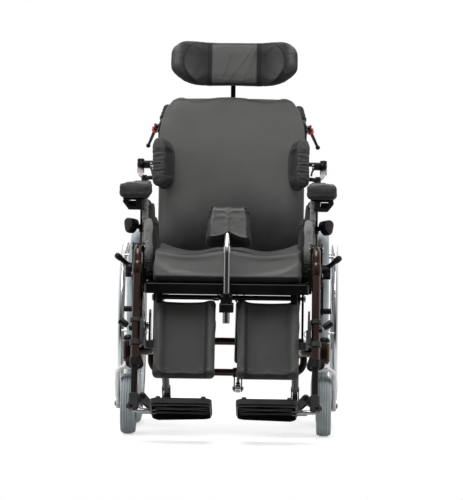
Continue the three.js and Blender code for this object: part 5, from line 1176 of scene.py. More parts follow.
recline_top = spot([RECLINE_STRUT_X, *RECLINE_FOOT], "back")
for name, (cylinder, piston) in (
    ("tilt_strut", gas_strut(TILT_STRUT_X, TILT_HEAD, TILT_FOOT, 0.7)),
    ("recline_strut", gas_strut(RECLINE_STRUT_X, RECLINE_HEAD, recline_top[1:], 0.66)),
):
    hang(cylinder, name + "_barrel", black_paint, name + "_cylinder", [name + "_cylinder"])
    hang(piston, name + "_piston", chrome, name + "_rod", [name + "_rod"])
    print(name, "at", cylinder.points[0].mean(0).round().tolist())

# %% [markdown]
# ## Back frame
#
# Two canes rise from the recline hinges, swell outwards at shoulder height and turn back into the
# push handles. Between them a thin moulded shell holds the cushion. Everything here is drawn
# upright and leaned over by `spot`.

# %% Canes, shell and brackets
HANDLE_ROOT = np.array([222, 5, 452.0])
HANDLE_TIP = np.array([206, 95, 521.0])
back = Form("back")
for side in (1, -1):
    def s(x, y, z):
        return np.array([side * x, y, z], float)
    back.add(tube([s(200, 0, 26), s(200, 0, 330), s(222, 0, 405), s(222, 5, 452), s(206, 95, 521)], 10.9,
                  bend=24, sides=28),
             plate(belt([[0, 0, 16], [0, 38, 11]]), "x", *both(side, 192.6, 207.4), holes=[disc(0, 0, 6.6)]),
             rod(s(200, 6, 334), s(286, 12, 334), 7, 24),
             collar(s(192, 0, 334) if side > 0 else s(208, 0, 334), AXIS_X, 6, 14, 16),
             turned(eased([[4, 322.3], [10.8, 322.3], [11, 323.4], [11, 345], [9.4, 346.2]]), s(286, 12, 0),
                    UP, 32), rod(s(286, 12, 302), s(286, 12, 330), 3.9, 16))
    lug = belt([[14, 450, 8], [5, 436, 8]])
    back.add(plate(lug, "x", *both(side, 222, 234.4)), rod(s(231, 14, 450), s(243, 14, 450), 2.45, 16))
back.add(rod((-200, 0, 72), (200, 0, 72), 10, 28), rod((-200, 0, 188), (200, 0, 188), 10, 28))
ears(back, RECLINE_STRUT_X, [0, 188, 10], RECLINE_FOOT)
hang(back, "back_canes", black_paint, "back", ["back_frame"])

# %% [markdown]
# The shell is a moulded sheet with two slots and a rolled edge. The clamp of the headrest's post is
# bolted to it, and screws hold it to the canes.

# %% Back shell, clamp and bolts
shell = Form("back")
shell_outline = belt([[142, 428, 70], [-142, 428, 70], [201, 51, 11], [-201, 51, 11]], 64)
slots = [belt([[-120, z, 8], [120, z, 8]], 24) for z in (130, 270)]
shell.add(plate(shell_outline, "y", -15, -8.6, holes=slots, soft=1.2))
edge = grown(shell_outline, -3)
shell.add(swept(np.stack([edge[:, 0], np.full(len(edge), -9.4), edge[:, 1]], -1), circle(12), 2.6,
                closed_path=True))
for z in (200, 340):
    shell.add(block((-150, 150), (-10.2, -5.8), (z - 7, z + 7), 2))
hang(shell, "back_shell", black_plastic, "back")

head_block = Form("back")
for low, high in ((-24, -8.2), (8.2, 24)):
    head_block.add(block((low, high), (-8, 18), (392.4, 461.6), 2))
for rear, fore in ((14.4, 18), (-8, 5.2)):
    head_block.add(block((-24, 24), (rear, fore), (392.4, 461.6), 2))
head_block.add(turned([[5, 18], [6, 20], [12.5, 21], [13.4, 25], [13.4, 31], [12, 33.5], [0.01, 34]],
                      (0, 0, 427), REAR, 24))
hang(head_block, "headrest_clamp", black_plastic, "back")
back_bolts = Form("back")
for x in (-19, 19):
    for z in (400, 454):
        back_bolts.add(bolt((x, 17.8, z), REAR, 4.2, 2.6))
ear_pin(back_bolts, RECLINE_STRUT_X, RECLINE_FOOT)
for side in (1, -1):
    for z in (90, 210, 320):
        back_bolts.add(bolt((side * 186, -8.7, z), REAR, 6, 2.6))
hang(back_bolts, "back_fasteners", steel, "back")

# %% [markdown]
# The post is a flat bar that slides in the clamp on the shell, with a tongue for the hinge.

# %% Headrest post
post = Form("back").add(block((-7.4, 7.4), (6.1, 13.9), (372, 676), 2))
post.add(plate(belt([[10, 646, 6], [-18, 646, 8]]), "x", -7.4, 7.4, holes=[disc(-18, 646, 4.6)]))
hang(post, "headrest_post", black_paint, "headrest_mast", ["headrest_stem"])

# %% [markdown]
# The push grips are rubber sleeves with finger waists and fine ribs. Below each is a release
# lever for the struts. A red catch has to be lifted before the lever moves.

# %% Grips, levers and catches
axis = unit(HANDLE_TIP - HANDLE_ROOT)
grip_start = HANDLE_ROOT + (HANDLE_TIP - HANDLE_ROOT) * 0.32
grip_length = np.linalg.norm(HANDLE_TIP - HANDLE_ROOT) * 0.68 + 5
along = np.linspace(0, 1, 110)
swell = np.interp(along, [0, 0.12, 0.3, 0.42, 0.58, 0.7, 0.9, 1], [0.86, 1, 0.9, 1, 0.9, 1, 0.98, 0.72])
ribs = 0.35 * np.sin(along * FULL_TURN * 26) * (along > 0.08) * (along < 0.93)
sleeve = [[15.6 * w + r, a * grip_length] for w, r, a in zip(swell, ribs, along)]
profile = [[11.1, 3]] + sleeve + [[0.01, grip_length + 0.4]]
hang(Form("back").add(turned(profile, grip_start, axis, 44)), "push_grip_sleeve", grip_rubber, "back",
     ["push_grip"], pair=True)

# %% [markdown]
# The lever is a tapering bar on a hub. The catch is a red collar round it with a prong.

# %% Release levers and catches
PIVOT = np.array([239, 14, 450.0])
LEVER_TIP = np.array([268, 103, 402.0])
reach = LEVER_TIP - PIVOT
release = Form("back").add(rod(PIVOT - [3.9, 0, 0], PIVOT + [3.9, 0, 0], 8, 28))
length = np.linalg.norm(reach)
release.add(turned([[5.8, 0], [5.8, 10], [5.2, 40], [4.3, length - 8], [5.2, length - 6], [6.8, length - 3],
                    [7.4, length], [6.6, length + 3.4], [4.2, length + 6], [0.01, length + 7]], PIVOT, reach,
                   24))
hang(release, "release_handle", black_plastic, "release", ["release_lever"])
hook = Form("back").add(collar(PIVOT + unit(reach) * 14, reach, 7.6, 10.4, 9))
middle = PIVOT + unit(reach) * 18.5
prong_foot = middle + [0, 0, 7.9]
hook.add(tube([prong_foot, prong_foot + [0, 0, 13]], 3.7, sides=16, soft=1.6))
for side in (-1, 1):
    hook.add(tube([middle + [side * 7.6, 0, 0], middle + [side * 7.6, 2, 11]], 2.0, sides=12))
hang(hook, "red_catch", red_plastic, "safety_catch", ["release_catch"])

# %% [markdown]
# Lateral supports hang from hinge pins on the back's side bars. Each has a flat alloy arm that
# comes forwards round the sitter, a small swing-away lever, and a disc screwed to the pad.

# %% Lateral arms
splay = math.radians(10)
outward = np.array([math.cos(splay), math.sin(splay), 0])
face = np.array([214, -131, 268]) + outward * 21.3
elbow = np.array([268, -108, 268.0])
lateral = Form("back")
arm_path = route([(286, 12, 311.5), (282, -54, 286), (254, -108, 254)], 40)
lateral.add(
    laid(arm_path, box_section(15, 7, 3), (1, 0, 0)),
    collar((286, 12, 301.4), UP, 4.6, 11, 20),
    turned(eased([[4, 0], [19.8, 0], [19.8, 3.6], [8, 4]]), face, outward, 40))
hang(lateral, "lateral_support_arm", taupe, "lateral_support", ["lateral_arm"])
lateral_black = Form("back")
lateral_black.add(tube([face + outward * 3, face + outward * 14, elbow], 6.5, bend=10, sides=24),
                  turned([[0.01, -11], [7, -10], [10, -6], [10, 6], [7, 10], [0.01, 11]], elbow, UP, 32),
                  turned([[3, 0], [8, 1], [9.2, 4], [9.2, 9], [7.6, 12], [0.01, 12.6]], elbow + [0, 0, -7],
                         (0, -1, 0), 24),
                  turned([[6, 0], [11, 2], [13.4, 8], [13.4, 14], [11, 20], [5, 22], [0.01, 22.2]],
                         (284, 8, 316), (0, -0.1, 1), 32), block((250, 276), (-2, 14), (316, 334), 3),
                  tube([(256, -4, 318), (250, -10, 306), (248, -14, 294)], 3.2, bend=10, sides=16))
hang(lateral_black, "lateral_swing_lever", black_plastic, "lateral_support")
lateral_bits = Form("back")
for z in (321, 329):
    lateral_bits.add(rod((250, -6, z), (256, -6, z), 2.4, 14))
hang(lateral_bits, "lateral_hinge_pins", steel, "lateral_support")

# %% [markdown]
# ## Armrests and pommel
#
# An armrest drops over a post on the seat and is clamped by a three-lobed knob. A cast cradle
# joins its sleeve to a plate under the pad.


# %% Three-lobed knobs
def lobed_knob(centre, direction, lobe, reach, depth, sides=72):
    """A hand knob's section is a circle swollen three times. It narrows towards both faces."""
    direction = unit(direction)
    side = unit(np.cross(direction, [0.31, 0.22, 0.92]))
    up = np.cross(direction, side)
    a = np.arange(sides) * FULL_TURN / sides
    outline = (reach + lobe) * (0.89 + 0.11 * np.cos(3 * a))
    steps = [(0.0, 0.55), (0.02, 0.86), (0.14, 0.97), (0.5, 1.0), (0.82, 0.97), (0.97, 0.86), (1.0, 0.5),
             (1.0, 0.02)]
    rings = []
    for depth_share, size in steps:
        ring = np.asarray(centre) + direction * depth * depth_share
        rings.append(ring + (outline * size)[:, None] * (np.cos(a)[:, None] * side + np.sin(a)[:, None] * up))
    return np.concatenate(rings), grid_faces(len(steps), sides) + end_faces(len(steps), sides)


print("a knob has", len(lobed_knob((0, 0, 0), UP, 1, 10, 5)[0]), "points")

# %% [markdown]
# The sleeve slides on the seat's post. The cradle and the knob ride with it.

# %% Armrest frames
arm = Form()
arm.add(
    collar(ARM_POST + [0, 0, 562], UP, 8.6, 10.4, 143),
    plate(rounded((246, -425), (314, -157), 10), "z", 705.8, 710.6, soft=1.0),
    block((247.0, 249.6), (-270, -128), (629.4, 650.6), 1.0))
hang(arm, "armrest_sleeve", black_paint, "armrest", ["armrest_frame"])
cradle_form = Form()
cradle = belt([[263, 680, 6], [294, 680, 6], [307, 700, 8], [263, 703, 6]], 32)
window = belt([[279, 690, 4], [289, 690, 4], [296, 699, 4], [279, 699, 4]], 16)
cradle_form.add(plate(cradle, "y", -400, -249, holes=[window], soft=2.0))
for y in (-384, -340):
    cradle_form.add(block((276, 300), (y - 3, y + 3), (683, 700), 1.5))
cradle_form.add(collar(ARM_POST + [0, 0, 672], UP, 10.2, 14.5, 26))
hang(cradle_form, "armrest_cradle", cast, "armrest")
arm_knob = Form().add(lobed_knob((284, -277, 624), (0.78, -0.62, 0.1), 12.5, 13.5, 27))
arm_knob.add(
    rod((267, -270, 617), (286, -279, 624), 7, 20),
    collar(ARM_POST + [0, 0, 603], UP, 10.3, 13.6, 24))
hang(arm_knob, "armrest_knob", black_plastic, "armrest")

# %% [markdown]
# The pommel's tube is chromed. It rises out of its receiver and bends back into the pad.

# %% Pommel stem
stem = Form().add(tube([(0, -500, 345), (0, -500, 566), (0, -462.6, 603.4)], 10.4, bend=40, sides=36))
hang(stem, "pommel_tube", chrome, "pommel", ["pommel_stem"])
cap = Form().add(turned([[0.01, -1.4], [9.2, -1.4], [10.3, -0.4], [10.3, 3.5], [10.2, 4]], (0, -500, 345), UP,
                        32))
hang(cap, "pommel_tube_end", grey_plastic, "pommel")

# %% [markdown]
# ## Legrests
#
# The hanger is a bent tube with an open top end. Down it slide the calf bracket and the leg
# extension, each held by a clamp. The footplate is a hollow casting with ribs under it.

# %% Hangers
leg = Form("leg")
leg.add(
    tube([(0, 0, 0), (0, -45, -16.4), (0, -45, -378)], 12, bend=36, sides=32),
    collar((-12, 0, 0), AXIS_X, 6.6, 14, 24),
    turned([[12.1, -58], [13.2, -60], [14.2, -68], [14.2, -92], [12.4, -96]], (0, -45, 0), UP, 36),
    weld((0, -8, -2.9), (0, -45, -16.4), 13.0))
hang(leg, "hanger_tube", bronze, "legrest", ["leg_hanger"])
leg_black = Form("leg")
leg_black.add(
    collar((0, -45, -378), UP, 11.9, 15, 24),
    lobed_knob((0, -27, -357), REAR, 14.5, 14.5, 16),
    rod((0, -34, -357), (0, -26, -357), 7, 20),
    turned([[13.9, -13.2], [14.4, -12.6], [14.4, -11.8]], (0, 0, 0), AXIS_X, 32))
hang(leg_black, "hanger_clamp", black_plastic, "legrest")

# %% [markdown]
# The bracket is a casting with two collars on the hanger, a web between them, and an arm that
# reaches behind the pad. A small black grip frees it.

# %% Calf brackets
bracket = Form("leg")
bracket.add(collar((0, -45, -245), UP, 12.5, 17, 12), collar((0, -45, -315), UP, 12.5, 17, 16))
web = belt([[-36, -241, 5], [-36, -307, 5], [-54, -241, 5], [-54, -307, 5]])
bracket.add(
    plate(web, "x", -24, -13.4, holes=[belt([[-45, -258, 4.5], [-45, -290, 4.5]])], soft=1.2),
    block((-28, -20), (-45, 91), (-286, -262), 2),
    block((-84, -20), (83, 91), (-286, -262), 2),
    collar((-84, 87, -274), (-1, 0, 0), 5.5, 9.5, 7),
    weld((-24, -40, -274), REAR, 10, 2))
hang(bracket, "calf_bracket_casting", cast, "calf_carrier", ["calf_bracket"])
bracket_metal = Form("leg").add(rod((-128, 87, -274), (-84, 87, -274), 5.9, 20))
bracket_metal.add(
    tube([(12, -45, -262), (26, -45, -254), (40, -45, -243)], 3.4, bend=20, sides=16),
    bolt((-18, -30, -307), REAR, 4, 2.4))
hang(bracket_metal, "calf_bracket_pins", steel, "calf_carrier")
grip_way = np.array([37, 0, 27.0])
grip_profile = eased([[3.2, 10], [7.5, 10.4], [9.6, 16], [11.2, 36.0], [10.2, 39.2], [4, 40]])
grip_form = Form("leg").add(turned(grip_profile, (15, -45, -262), grip_way, 28))
grip_form.add(turned(eased([[8, 8], [8.4, 12], [8.4, 18.0], [6, 19.6]]), (0, -45, -262), AXIS_X, 24))
hang(grip_form, "calf_bracket_grip", black_plastic, "calf_carrier")

# %% [markdown]
# The extension slides inside the hanger, and buttons mark its steps. A cast clamp at its foot
# holds the pin that the footplate turns on.

# %% Leg extensions
extension = Form("leg").add(tube([(0, -45, -160), (0, -45, -512)], 9.7, sides=28))
for z in np.arange(-455, -385, 14):
    extension.add(turned([[3.0, 8], [3.0, 9.9], [2.2, 10.1], [0.01, 10.1]], (0, -45, z), (0, -1, 0), 14))
hang(extension, "leg_extension_tube", black_paint, "leg_extension", ["leg_tube"])
clamp = Form("leg").add(collar((0, -45, -512), UP, 9.8, 15, 50, 1.6))
clamp.add(
    plate(belt([[0, -487, 14], [-27, -475, 11]]), "y", -57, -33, soft=2.0),
    plate(belt([[-8, -470, 6], [14, -505, 7], [-6, -505, 7]]), "y", -60.2, -56.5, soft=1.0))
hang(clamp, "footplate_clamp", cast, "leg_extension")
clamp_metal = Form("leg").add(rod((-27, -69, -475), (-27, -21, -475), 4.9, 20))
clamp_metal.add(bolt((-27, -68.8, -475), (0, -1, 0), 8.6, 4.6), bolt((6, -60, -502), (0, -1, 0), 4.6, 3))
hang(clamp_metal, "footplate_pin", black_paint, "leg_extension")
stop = Form("leg").add(tube([(2, -46, -513), (-49, -45, -513)], 6.6, sides=20))
hang(stop, "footplate_stop_bar", steel, "leg_extension")


# %% [markdown]
# A footplate is a sheet with a rim folded down all round, which hangs lower at the heel. A dark
# underside with slanting folds closes it, and rubber treads lie on top.

# %% Footplates
PLATE_LOW, PLATE_HIGH, PLATE_CORNER = (-230, -127), (-50, 27), 22
plate_outline = rounded(PLATE_LOW, PLATE_HIGH, PLATE_CORNER)


def skirt(outline, wall, top, bottom, dip=0.0):
    """A rim folded down all round a plate. Its heel hangs lower by `dip`, in a soft wave."""
    inside = grown(outline, -wall)
    heel = smooth(outline[:, 1], -40, 27) * (0.55 + 0.45 * np.cos((outline[:, 0] + 128) / 90 * math.pi * 0.9))
    foot_line = (bottom - dip * heel)[:, None]
    levels = [(outline, np.full_like(foot_line, top)), (outline, foot_line), (inside, foot_line),
              (inside, np.full_like(foot_line, top - 1))]
    ring = np.stack([np.concatenate(level, 1) for level in levels], 1)
    return ring.reshape(-1, 3), grid_faces(len(outline), 4, close_rows=True)


foot = Form("leg").add(plate(plate_outline, "z", -499.4, -495.5, soft=1.0))
foot.add(skirt(plate_outline, 3.0, -496.4, -511.5))
for low, high in ((-69, -58.2), (-31.8, -21)):
    foot.add(plate(belt([[-27, -475, 11], [-61, -510, 8]]), "y", low, high, holes=[disc(-27, -475, 5.4)],
                   soft=1.2))
hang(foot, "footplate_casting", cast, "foot_support", ["footplate"])

under = Form("leg").add(skirt(grown(plate_outline, -3.2), 2.4, -499.0, -517.0, 14))
under.add(plate(grown(plate_outline, -5), "z", -501.8, -499.6, soft=0.8))
ribs = [((-222, -104), (-60, -84)), ((-222, -84), (-60, -108)), ((-222, -60), (-60, -38)),
        ((-222, -34), (-60, -62)), ((-222, -10), (-60, 6)), ((-222, 12), (-60, -14))]
for (x0, y0), (x1, y1) in ribs:
    under.add(tube([(x0, y0, -505), (x1, y1, -505)], 4.2, sides=14))
under.add(block((-58, -22), (-20, 14), (-508, -501), 2.5))
hang(under, "footplate_underside", black_plastic, "foot_support")
grips = Form("leg")
for y in np.arange(-108, 12, 12):
    grips.add(block((-214, -66), (y - 2.2, y + 2.2), (-496.0, -494.8), 0.8))
for x in (-206, -74):
    grips.add(turned([[7, 0], [7.4, 3], [6.4, 7.6], [0.01, 8.4]], (x, -112, -495.8), UP, 16))
hang(grips, "footplate_treads", grip_rubber, "foot_support")
print("footplate:", len(ribs), "folds under it")

# %% [markdown]
# ## Upholstery
#
# A pad is a block of foam in a sewn cover. It starts as a rounded block on an even grid. Cloth
# physics then blows it up a little while its seams stay put, which pulls soft creases towards
# them. Last come the things a needle does: a groove along each seam, a row of stitches in the
# groove, and the gathers where a cover is drawn round a tight edge.


# %% Rounded blocks of foam
class Pad:
    """A block of foam with round edges, on an even grid. (u, v, w) run from -1 to 1 along its sides."""

    def __init__(self, half_sizes, rounding, pitch, shape=None):
        half_sizes, rounding = np.asarray(half_sizes, float), np.asarray(rounding, float)
        cells = np.maximum(2, np.round(2 * half_sizes / pitch)).astype(int)
        points, faces, start = [], [], 0
        for axis in range(3):
            a, b = [k for k in range(3) if k != axis]
            ticks = [np.linspace(-1, 1, cells[k] + 1) for k in (a, b)]
            grid_a, grid_b = np.meshgrid(*ticks, indexing="ij")
            for sign in (-1, 1):
                side = np.zeros(grid_a.shape + (3,))
                side[..., a], side[..., b], side[..., axis] = grid_a, grid_b, sign
                points.append(side.reshape(-1, 3))
                quads = np.array(grid_faces(*grid_a.shape, close_columns=False)) + start
                faces.append(quads[:, ::-1] if (sign > 0) == (axis == 1) else quads)
                start += side.shape[0] * side.shape[1]
        raw = np.concatenate(points)
        cube, index = np.unique(np.round(raw, 9), axis=0, return_inverse=True)
        core = half_sizes - rounding
        inner = np.clip(cube * half_sizes, -core, core)
        over = (cube * half_sizes - inner) / rounding
        self.points = inner + rounding * over / np.linalg.norm(over, axis=1, keepdims=True)
        self.uvw = self.points / half_sizes
        self.faces = index.reshape(-1)[np.concatenate(faces)]
        self.tone = np.zeros(len(cube))
        if shape:
            self.points = self.points + np.stack(np.broadcast_arrays(*shape(*self.uvw.T)), -1)

    def normals(self):
        """The outward direction at each grid point."""
        a, b, c, d = (self.points[self.faces[:, k]] for k in range(4))
        across = np.cross(c - a, d - b)
        total = np.zeros_like(self.points)
        for k in range(4):
            np.add.at(total, self.faces[:, k], across)
        return total / np.maximum(np.linalg.norm(total, axis=1, keepdims=True), 1e-12)

    def push(self, amount):
        """Move the surface outwards by an amount for each grid point."""
        self.points = self.points + self.normals() * np.asarray(amount)[:, None]
        return self


test_block = Pad((50, 40, 30), (10, 10, 10), 5)
outwards = (test_block.normals() * test_block.points).sum(1)
print("a block of foam:", len(test_block.points), "points, all facing out:", bool((outwards > 0).all()))

# %% [markdown]
# The cloth step treats the cover as fabric that is a little too large and is held at its seams.
# Air pressure stands for the foam. Gravity is off, since the pad is stuffed, and no point may go
# further than `cap`, so that the pad keeps to its place.


# %% Blowing a cover up
SIMULATED_FRAMES = 16


def inflate(pad, held, cap, pressure=4.0, slack=0.035):
    """Simulate the cover under pressure, with the points in `held` sewn down."""
    data = bpy.data.meshes.new("cover")
    data.from_pydata((pad.points * MM).tolist(), [], pad.faces.tolist())
    cover = bpy.data.objects.new("cover", data)
    bpy.context.scene.collection.objects.link(cover)
    group = cover.vertex_groups.new(name="sewn")
    group.add([int(i) for i in np.flatnonzero(held)], 1.0, "REPLACE")
    cloth = cover.modifiers.new("cloth", "CLOTH")
    rules = cloth.settings
    rules.quality = 5
    rules.mass = 0.2
    rules.tension_stiffness = 12
    rules.compression_stiffness = 6
    rules.bending_stiffness = 0.25
    rules.use_pressure = True
    rules.uniform_pressure_force = pressure
    rules.shrink_min = -slack
    rules.effector_weights.gravity = 0
    rules.vertex_group_mass = "sewn"
    cloth.point_cache.frame_start, cloth.point_cache.frame_end = 1, SIMULATED_FRAMES
    for number in range(1, SIMULATED_FRAMES + 1):
        bpy.context.scene.frame_set(number)
    settled = cover.evaluated_get(bpy.context.evaluated_depsgraph_get()).to_mesh()
    after = np.empty(len(settled.vertices) * 3)
    settled.vertices.foreach_get("co", after)
    move = after.reshape(-1, 3) / MM - pad.points
    distance = np.linalg.norm(move, axis=1, keepdims=True)
    pad.points = pad.points + move * np.minimum(1, cap / np.maximum(distance, 1e-9))
    print("inflated", len(pad.points), "points, most", round(float(distance.max()), 1), "mm")
    bpy.context.scene.frame_set(1)
    bpy.data.objects.remove(cover)
    bpy.data.meshes.remove(data)
    return pad

# %% [markdown]
# Seams are drawn as lines in the pad's own millimetres and dropped onto its surface. The groove
# is cut by pushing nearby points in; the stitches are short fat threads with a gap after each.

# %% Seams and stitches
def walked(path, step):
    """The same line with points every `step` millimetres."""
    path = np.asarray(path, float)
    gaps = np.linalg.norm(np.diff(path, axis=0), axis=1)
    at = np.concatenate([[0], np.cumsum(gaps)])
    places = np.linspace(0, at[-1], max(2, int(at[-1] / step)))
    return np.stack([np.interp(places, at, path[:, k]) for k in range(3)], -1)


def dropped(pad, path, direction, step=1.5):
    """Drop a line onto the pad along a direction, and give only the points that land on it."""
    tree = BVHTree.FromPolygons(pad.points.tolist(), pad.faces.tolist())
    direction = Vector(unit(direction))
    landed = []
    for place in walked(path, step):
        hit = tree.ray_cast(Vector(place) - direction * 400, direction)[0]
        if hit is not None:
            landed.append(list(hit))
    return np.array(landed)


def distance_to(pad, line):
    """How far each grid point is from a line of points."""
    tree = KDTree(len(line))
    for i, place in enumerate(line):
        tree.insert(place, i)
    tree.balance()
    return np.array([tree.find(p)[2] for p in pad.points])


def groove(pad, line, depth, width, shade=0.0):
    """Sink the surface along a line, as thread pulls a cover into its foam, and paint shade along it."""
    near = hill(distance_to(pad, line), width)
    # Painted shade along the seam.
    pad.tone -= shade * near
    return pad.push(-depth * near)


def stitched(lines, outward, length=3.4, gap=1.6, radius=0.45, lift=0.2):
    """One short thread after another along each line, lifted a little towards `outward`."""
    points, faces, start = [], [], 0
    for line in lines:
        line = walked(line, length + gap)
        step = np.gradient(line, axis=0)
        step /= np.maximum(np.linalg.norm(step, axis=1, keepdims=True), 1e-9)
        for place, along in zip(line, step):
            path = [place + along * length * share for share in (-0.5, -0.25, 0.25, 0.5)]
            surface = swept(path + np.asarray(outward) * lift, circle(6),
                            [0.3 * radius, radius, radius, 0.3 * radius])
            points.append(surface[0])
            faces += [[i + start for i in f] for f in surface[1]]
            start += len(surface[0])
    return np.concatenate(points), faces


print("100 mm of seam takes", len(walked([(0, 0, 0), (0, 0, 100)], 5.0)), "stitches")
# %% [markdown]
# Cover fabric is a dense knit: dull and slightly furry at grazing light. Each pad's grid carries
# an attribute named `tone`, which the finish reads as the share of the lighter colour. The tone
# holds painted light and painted shade: lighter on faces the light falls on, darker in seams,
# underneath and where shadow falls.

# %% Fabric finishes
def fabric(name, dark, light, roughness=0.82, sheen=0.12, pitch=0.9, depth=0.00012):
    """Knitted cover cloth. Crossed sine waves make the loops of the knit, `pitch` millimetres apart."""
    finish = Finish(name, dark, roughness, Specular_IOR_Level=0.25, Sheen_Weight=sheen, Sheen_Roughness=0.4)
    x, y, z = (axis * (FULL_TURN / pitch) for axis in finish.axes())
    loops = x.sine() * z.sine() + y.sine() * z.sine() + x.sine() * y.sine()
    # The tone attribute carries each pad's painted light and painted shade.
    painted_light_share = finish.node("Attribute", {"attribute_name": "tone"}, None, 2)
    cloudy = finish.noise(16.0, 4.0)
    share = painted_light_share + 0.14 * cloudy - 0.07 + 0.03 * loops
    finish.set("Base Color", finish.between(share, dark, light))
    finish.set("Roughness", roughness + 0.12 * finish.noise(40.0, 4.0) - 0.06)
    fuzz = finish.noise(1400.0, 2.0)
    return finish.bump(0.6 * loops + 0.8 * fuzz, depth)


CLOTH_DARK, CLOTH_LIGHT = (0.0085, 0.0085, 0.0087), (0.172, 0.171, 0.168)
cushion_cloth = fabric("cushion_cloth", CLOTH_DARK, CLOTH_LIGHT)
back_cloth = fabric("back_cloth", CLOTH_DARK, CLOTH_LIGHT)
head_cloth = fabric("headrest_cloth", CLOTH_DARK, CLOTH_LIGHT)
pad_cloth = fabric("pad_cloth", CLOTH_DARK, CLOTH_LIGHT)
# A brighter copy of the pad cloth, for the painted light on thigh pads and side guards that lie in the shade
# of the arm pads.
lit_pad_cloth = fabric("pad_cloth_painted_light", CLOTH_DARK, (0.330, 0.328, 0.322))
leatherette = moulded("arm_leatherette", (0.024, 0.024, 0.025), (0.050, 0.050, 0.051), 0.72, 620.0, 0.00018,
                      0.22)
thread = moulded("sewing_thread", (0.030, 0.030, 0.031), (0.060, 0.060, 0.062), 0.7, 2600.0, 0.00008)
for finish in (cushion_cloth, back_cloth, head_cloth):
    finish.slot = "upholstery"
pad_cloth.slot = lit_pad_cloth.slot = "pad_cover"
leatherette.slot = "arm_pad_cover"
print("cloth from", CLOTH_DARK[0], "to", CLOTH_LIGHT[0])

# %% [markdown]
# A pad is smoothed by one level of subdivision, and hands its `tone` to the finish. `trim` takes
# stitches and piping to the same place.

# %% Hanging a pad
def pad_piece(pad, centre, where, name, finish, body, node, side=None, spin=0.0):
    points = pad.points
    if spin:
        points = points @ np.array(Matrix.Rotation(spin, 3, "Z")).T
    points = spot(points + np.asarray(centre, float), where)
    faces = pad.faces
    if side == "right":
        points, faces = points * [-1, 1, 1], faces[:, ::-1]
    mark = f"{side}_" if side else ""
    data = bpy.data.meshes.new(mark + name)
    data.from_pydata(to_row(points).tolist(), [], faces.tolist())
    tone = data.attributes.new("tone", "FLOAT", "POINT")
    tone.data.foreach_set("value", np.clip(pad.tone, 0, 1).astype(np.float32))
    data.shade_smooth()
    piece = bpy.data.objects.new(mark + name, data)
    bpy.context.scene.collection.objects.link(piece)
    fine = piece.modifiers.new("fine", "SUBSURF")
    fine.levels = fine.render_levels = 1
    own = mark + body if mark + body in frame["bodies"] else body
    settle(piece, finish, own, [mark + node])
    print(piece.name, "measures", np.ptp(points, 0).round().tolist(), "mm")
    return piece


def trim(surfaces, centre, where, name, finish, body, pair, spin=0.0):
    """Stitches or piping that go with a pad, carried to its place in the same way."""
    form = Form(where)
    for points, faces in surfaces:
        if spin:
            points = points @ np.array(Matrix.Rotation(spin, 3, "Z")).T
        form.add((points + np.asarray(centre, float), faces))
    hang(form, name, finish, body, pair=pair, sharp=60)

# %% [markdown]
# ### Seat cushion
#
# A contoured foam: two troughs for the thighs run from front to rear, with a low ridge between
# them that the pommel stands over. The boxing round its edge is sewn to the top panel.

# %% Seat cushion
def seat_shape(u, v, w):
    """Two troughs run along the top under the legs, with a low ridge between them and at each side."""
    front = 1 - smooth(v, -0.2, 0.9)
    rising = smooth(w, -0.4, 0.9)
    troughs = np.sin(math.pi * np.minimum(1, np.abs(u))) ** 2
    ahead = (4 - 9 * troughs + 4 * hill(u, 0.25)) * front
    behind = (6 - 16 * troughs + 5 * smooth(np.abs(u), 0.75, 1)) * (1 - front)
    bow = -4 * v * v * np.sign(u) * np.abs(u) ** 4
    return bow, 5 * u * u * smooth(-v, 0.3, 1), (ahead + behind) * rising


cushion = Pad((222, 216.5, 47), (8, 26, 12), 6.2, seat_shape)
CUSHION_AT = (0, -264, 508.3)
u, v, w = cushion.uvw.T
inflate(cushion, (w < -0.55) | (np.abs(u) > 0.93) & (w < 0.3), 4, pressure=3.0, slack=0.008)
# Painted light and shade on the cover: the front face is painted lighter and its crest darker, the troughs on
# top carry painted shade, the middle ridge is a little lighter, and the band below the seam is near black.
cushion.tone = 0.28 + 0.64 * smooth(-v, 0.90, 0.995) * smooth(w, -0.62, -0.45)
cushion.tone += 0.10 * hill(u, 0.22) * (w > 0.5)
cushion.tone -= 0.12 * hill(np.abs(u) - 0.5, 0.2) * smooth(w, 0.4, 0.9)
cushion.tone -= 0.34 * smooth(-v, 0.80, 0.95) * smooth(w, 0.40, 0.85)
under = smooth(-w, 0.56, 0.62)
cushion.tone = cushion.tone * (1 - under) + under * 0.02
seam_line = dropped(cushion, [(-206, -260, -27), (206, -260, -27)], REAR)
groove(cushion, seam_line, 2.6, 2.6, 0.2)
side_seams = [dropped(cushion, [(s * 260, -180, -27), (s * 260, 200, -27)], (-s, 0, 0)) for s in (-1, 1)]
for line in side_seams:
    groove(cushion, line, 2.2, 2.6, 0.2)
pad_piece(cushion, CUSHION_AT, "chair", "seat_cushion_cover", cushion_cloth, "seat", "seat_cushion")
trim([stitched([seam_line + [0, 0, 3.4]], (0, -1, 0), lift=0.1)],
     CUSHION_AT, "chair", "seat_cushion_stitches", thread, "seat", False)

# %% [markdown]
# ### Back cushion
#
# It is wider than the shell and closes round its edges. Its middle is hollowed to the shape of
# a back, and the fall-off of light towards the lower centre is also painted into the cloth as
# shade, together with a painted shadow under the headrest and a darker rear face.

# %% Back cushion
def back_shape(u, v, w):
    """The front is hollowed between the side wings, and the upper corners fall away in a long curve."""
    front = 1 - smooth(v, -1, 0.6)
    hollow = 14 * (1 - smooth(np.abs(u), 0.2, 0.95)) * front
    shoulder = smooth(np.abs(u), 0.40, 1.0) * smooth(w, 0.52, 1.0)
    return -24 * np.sign(u) * shoulder, hollow, -3 * shoulder


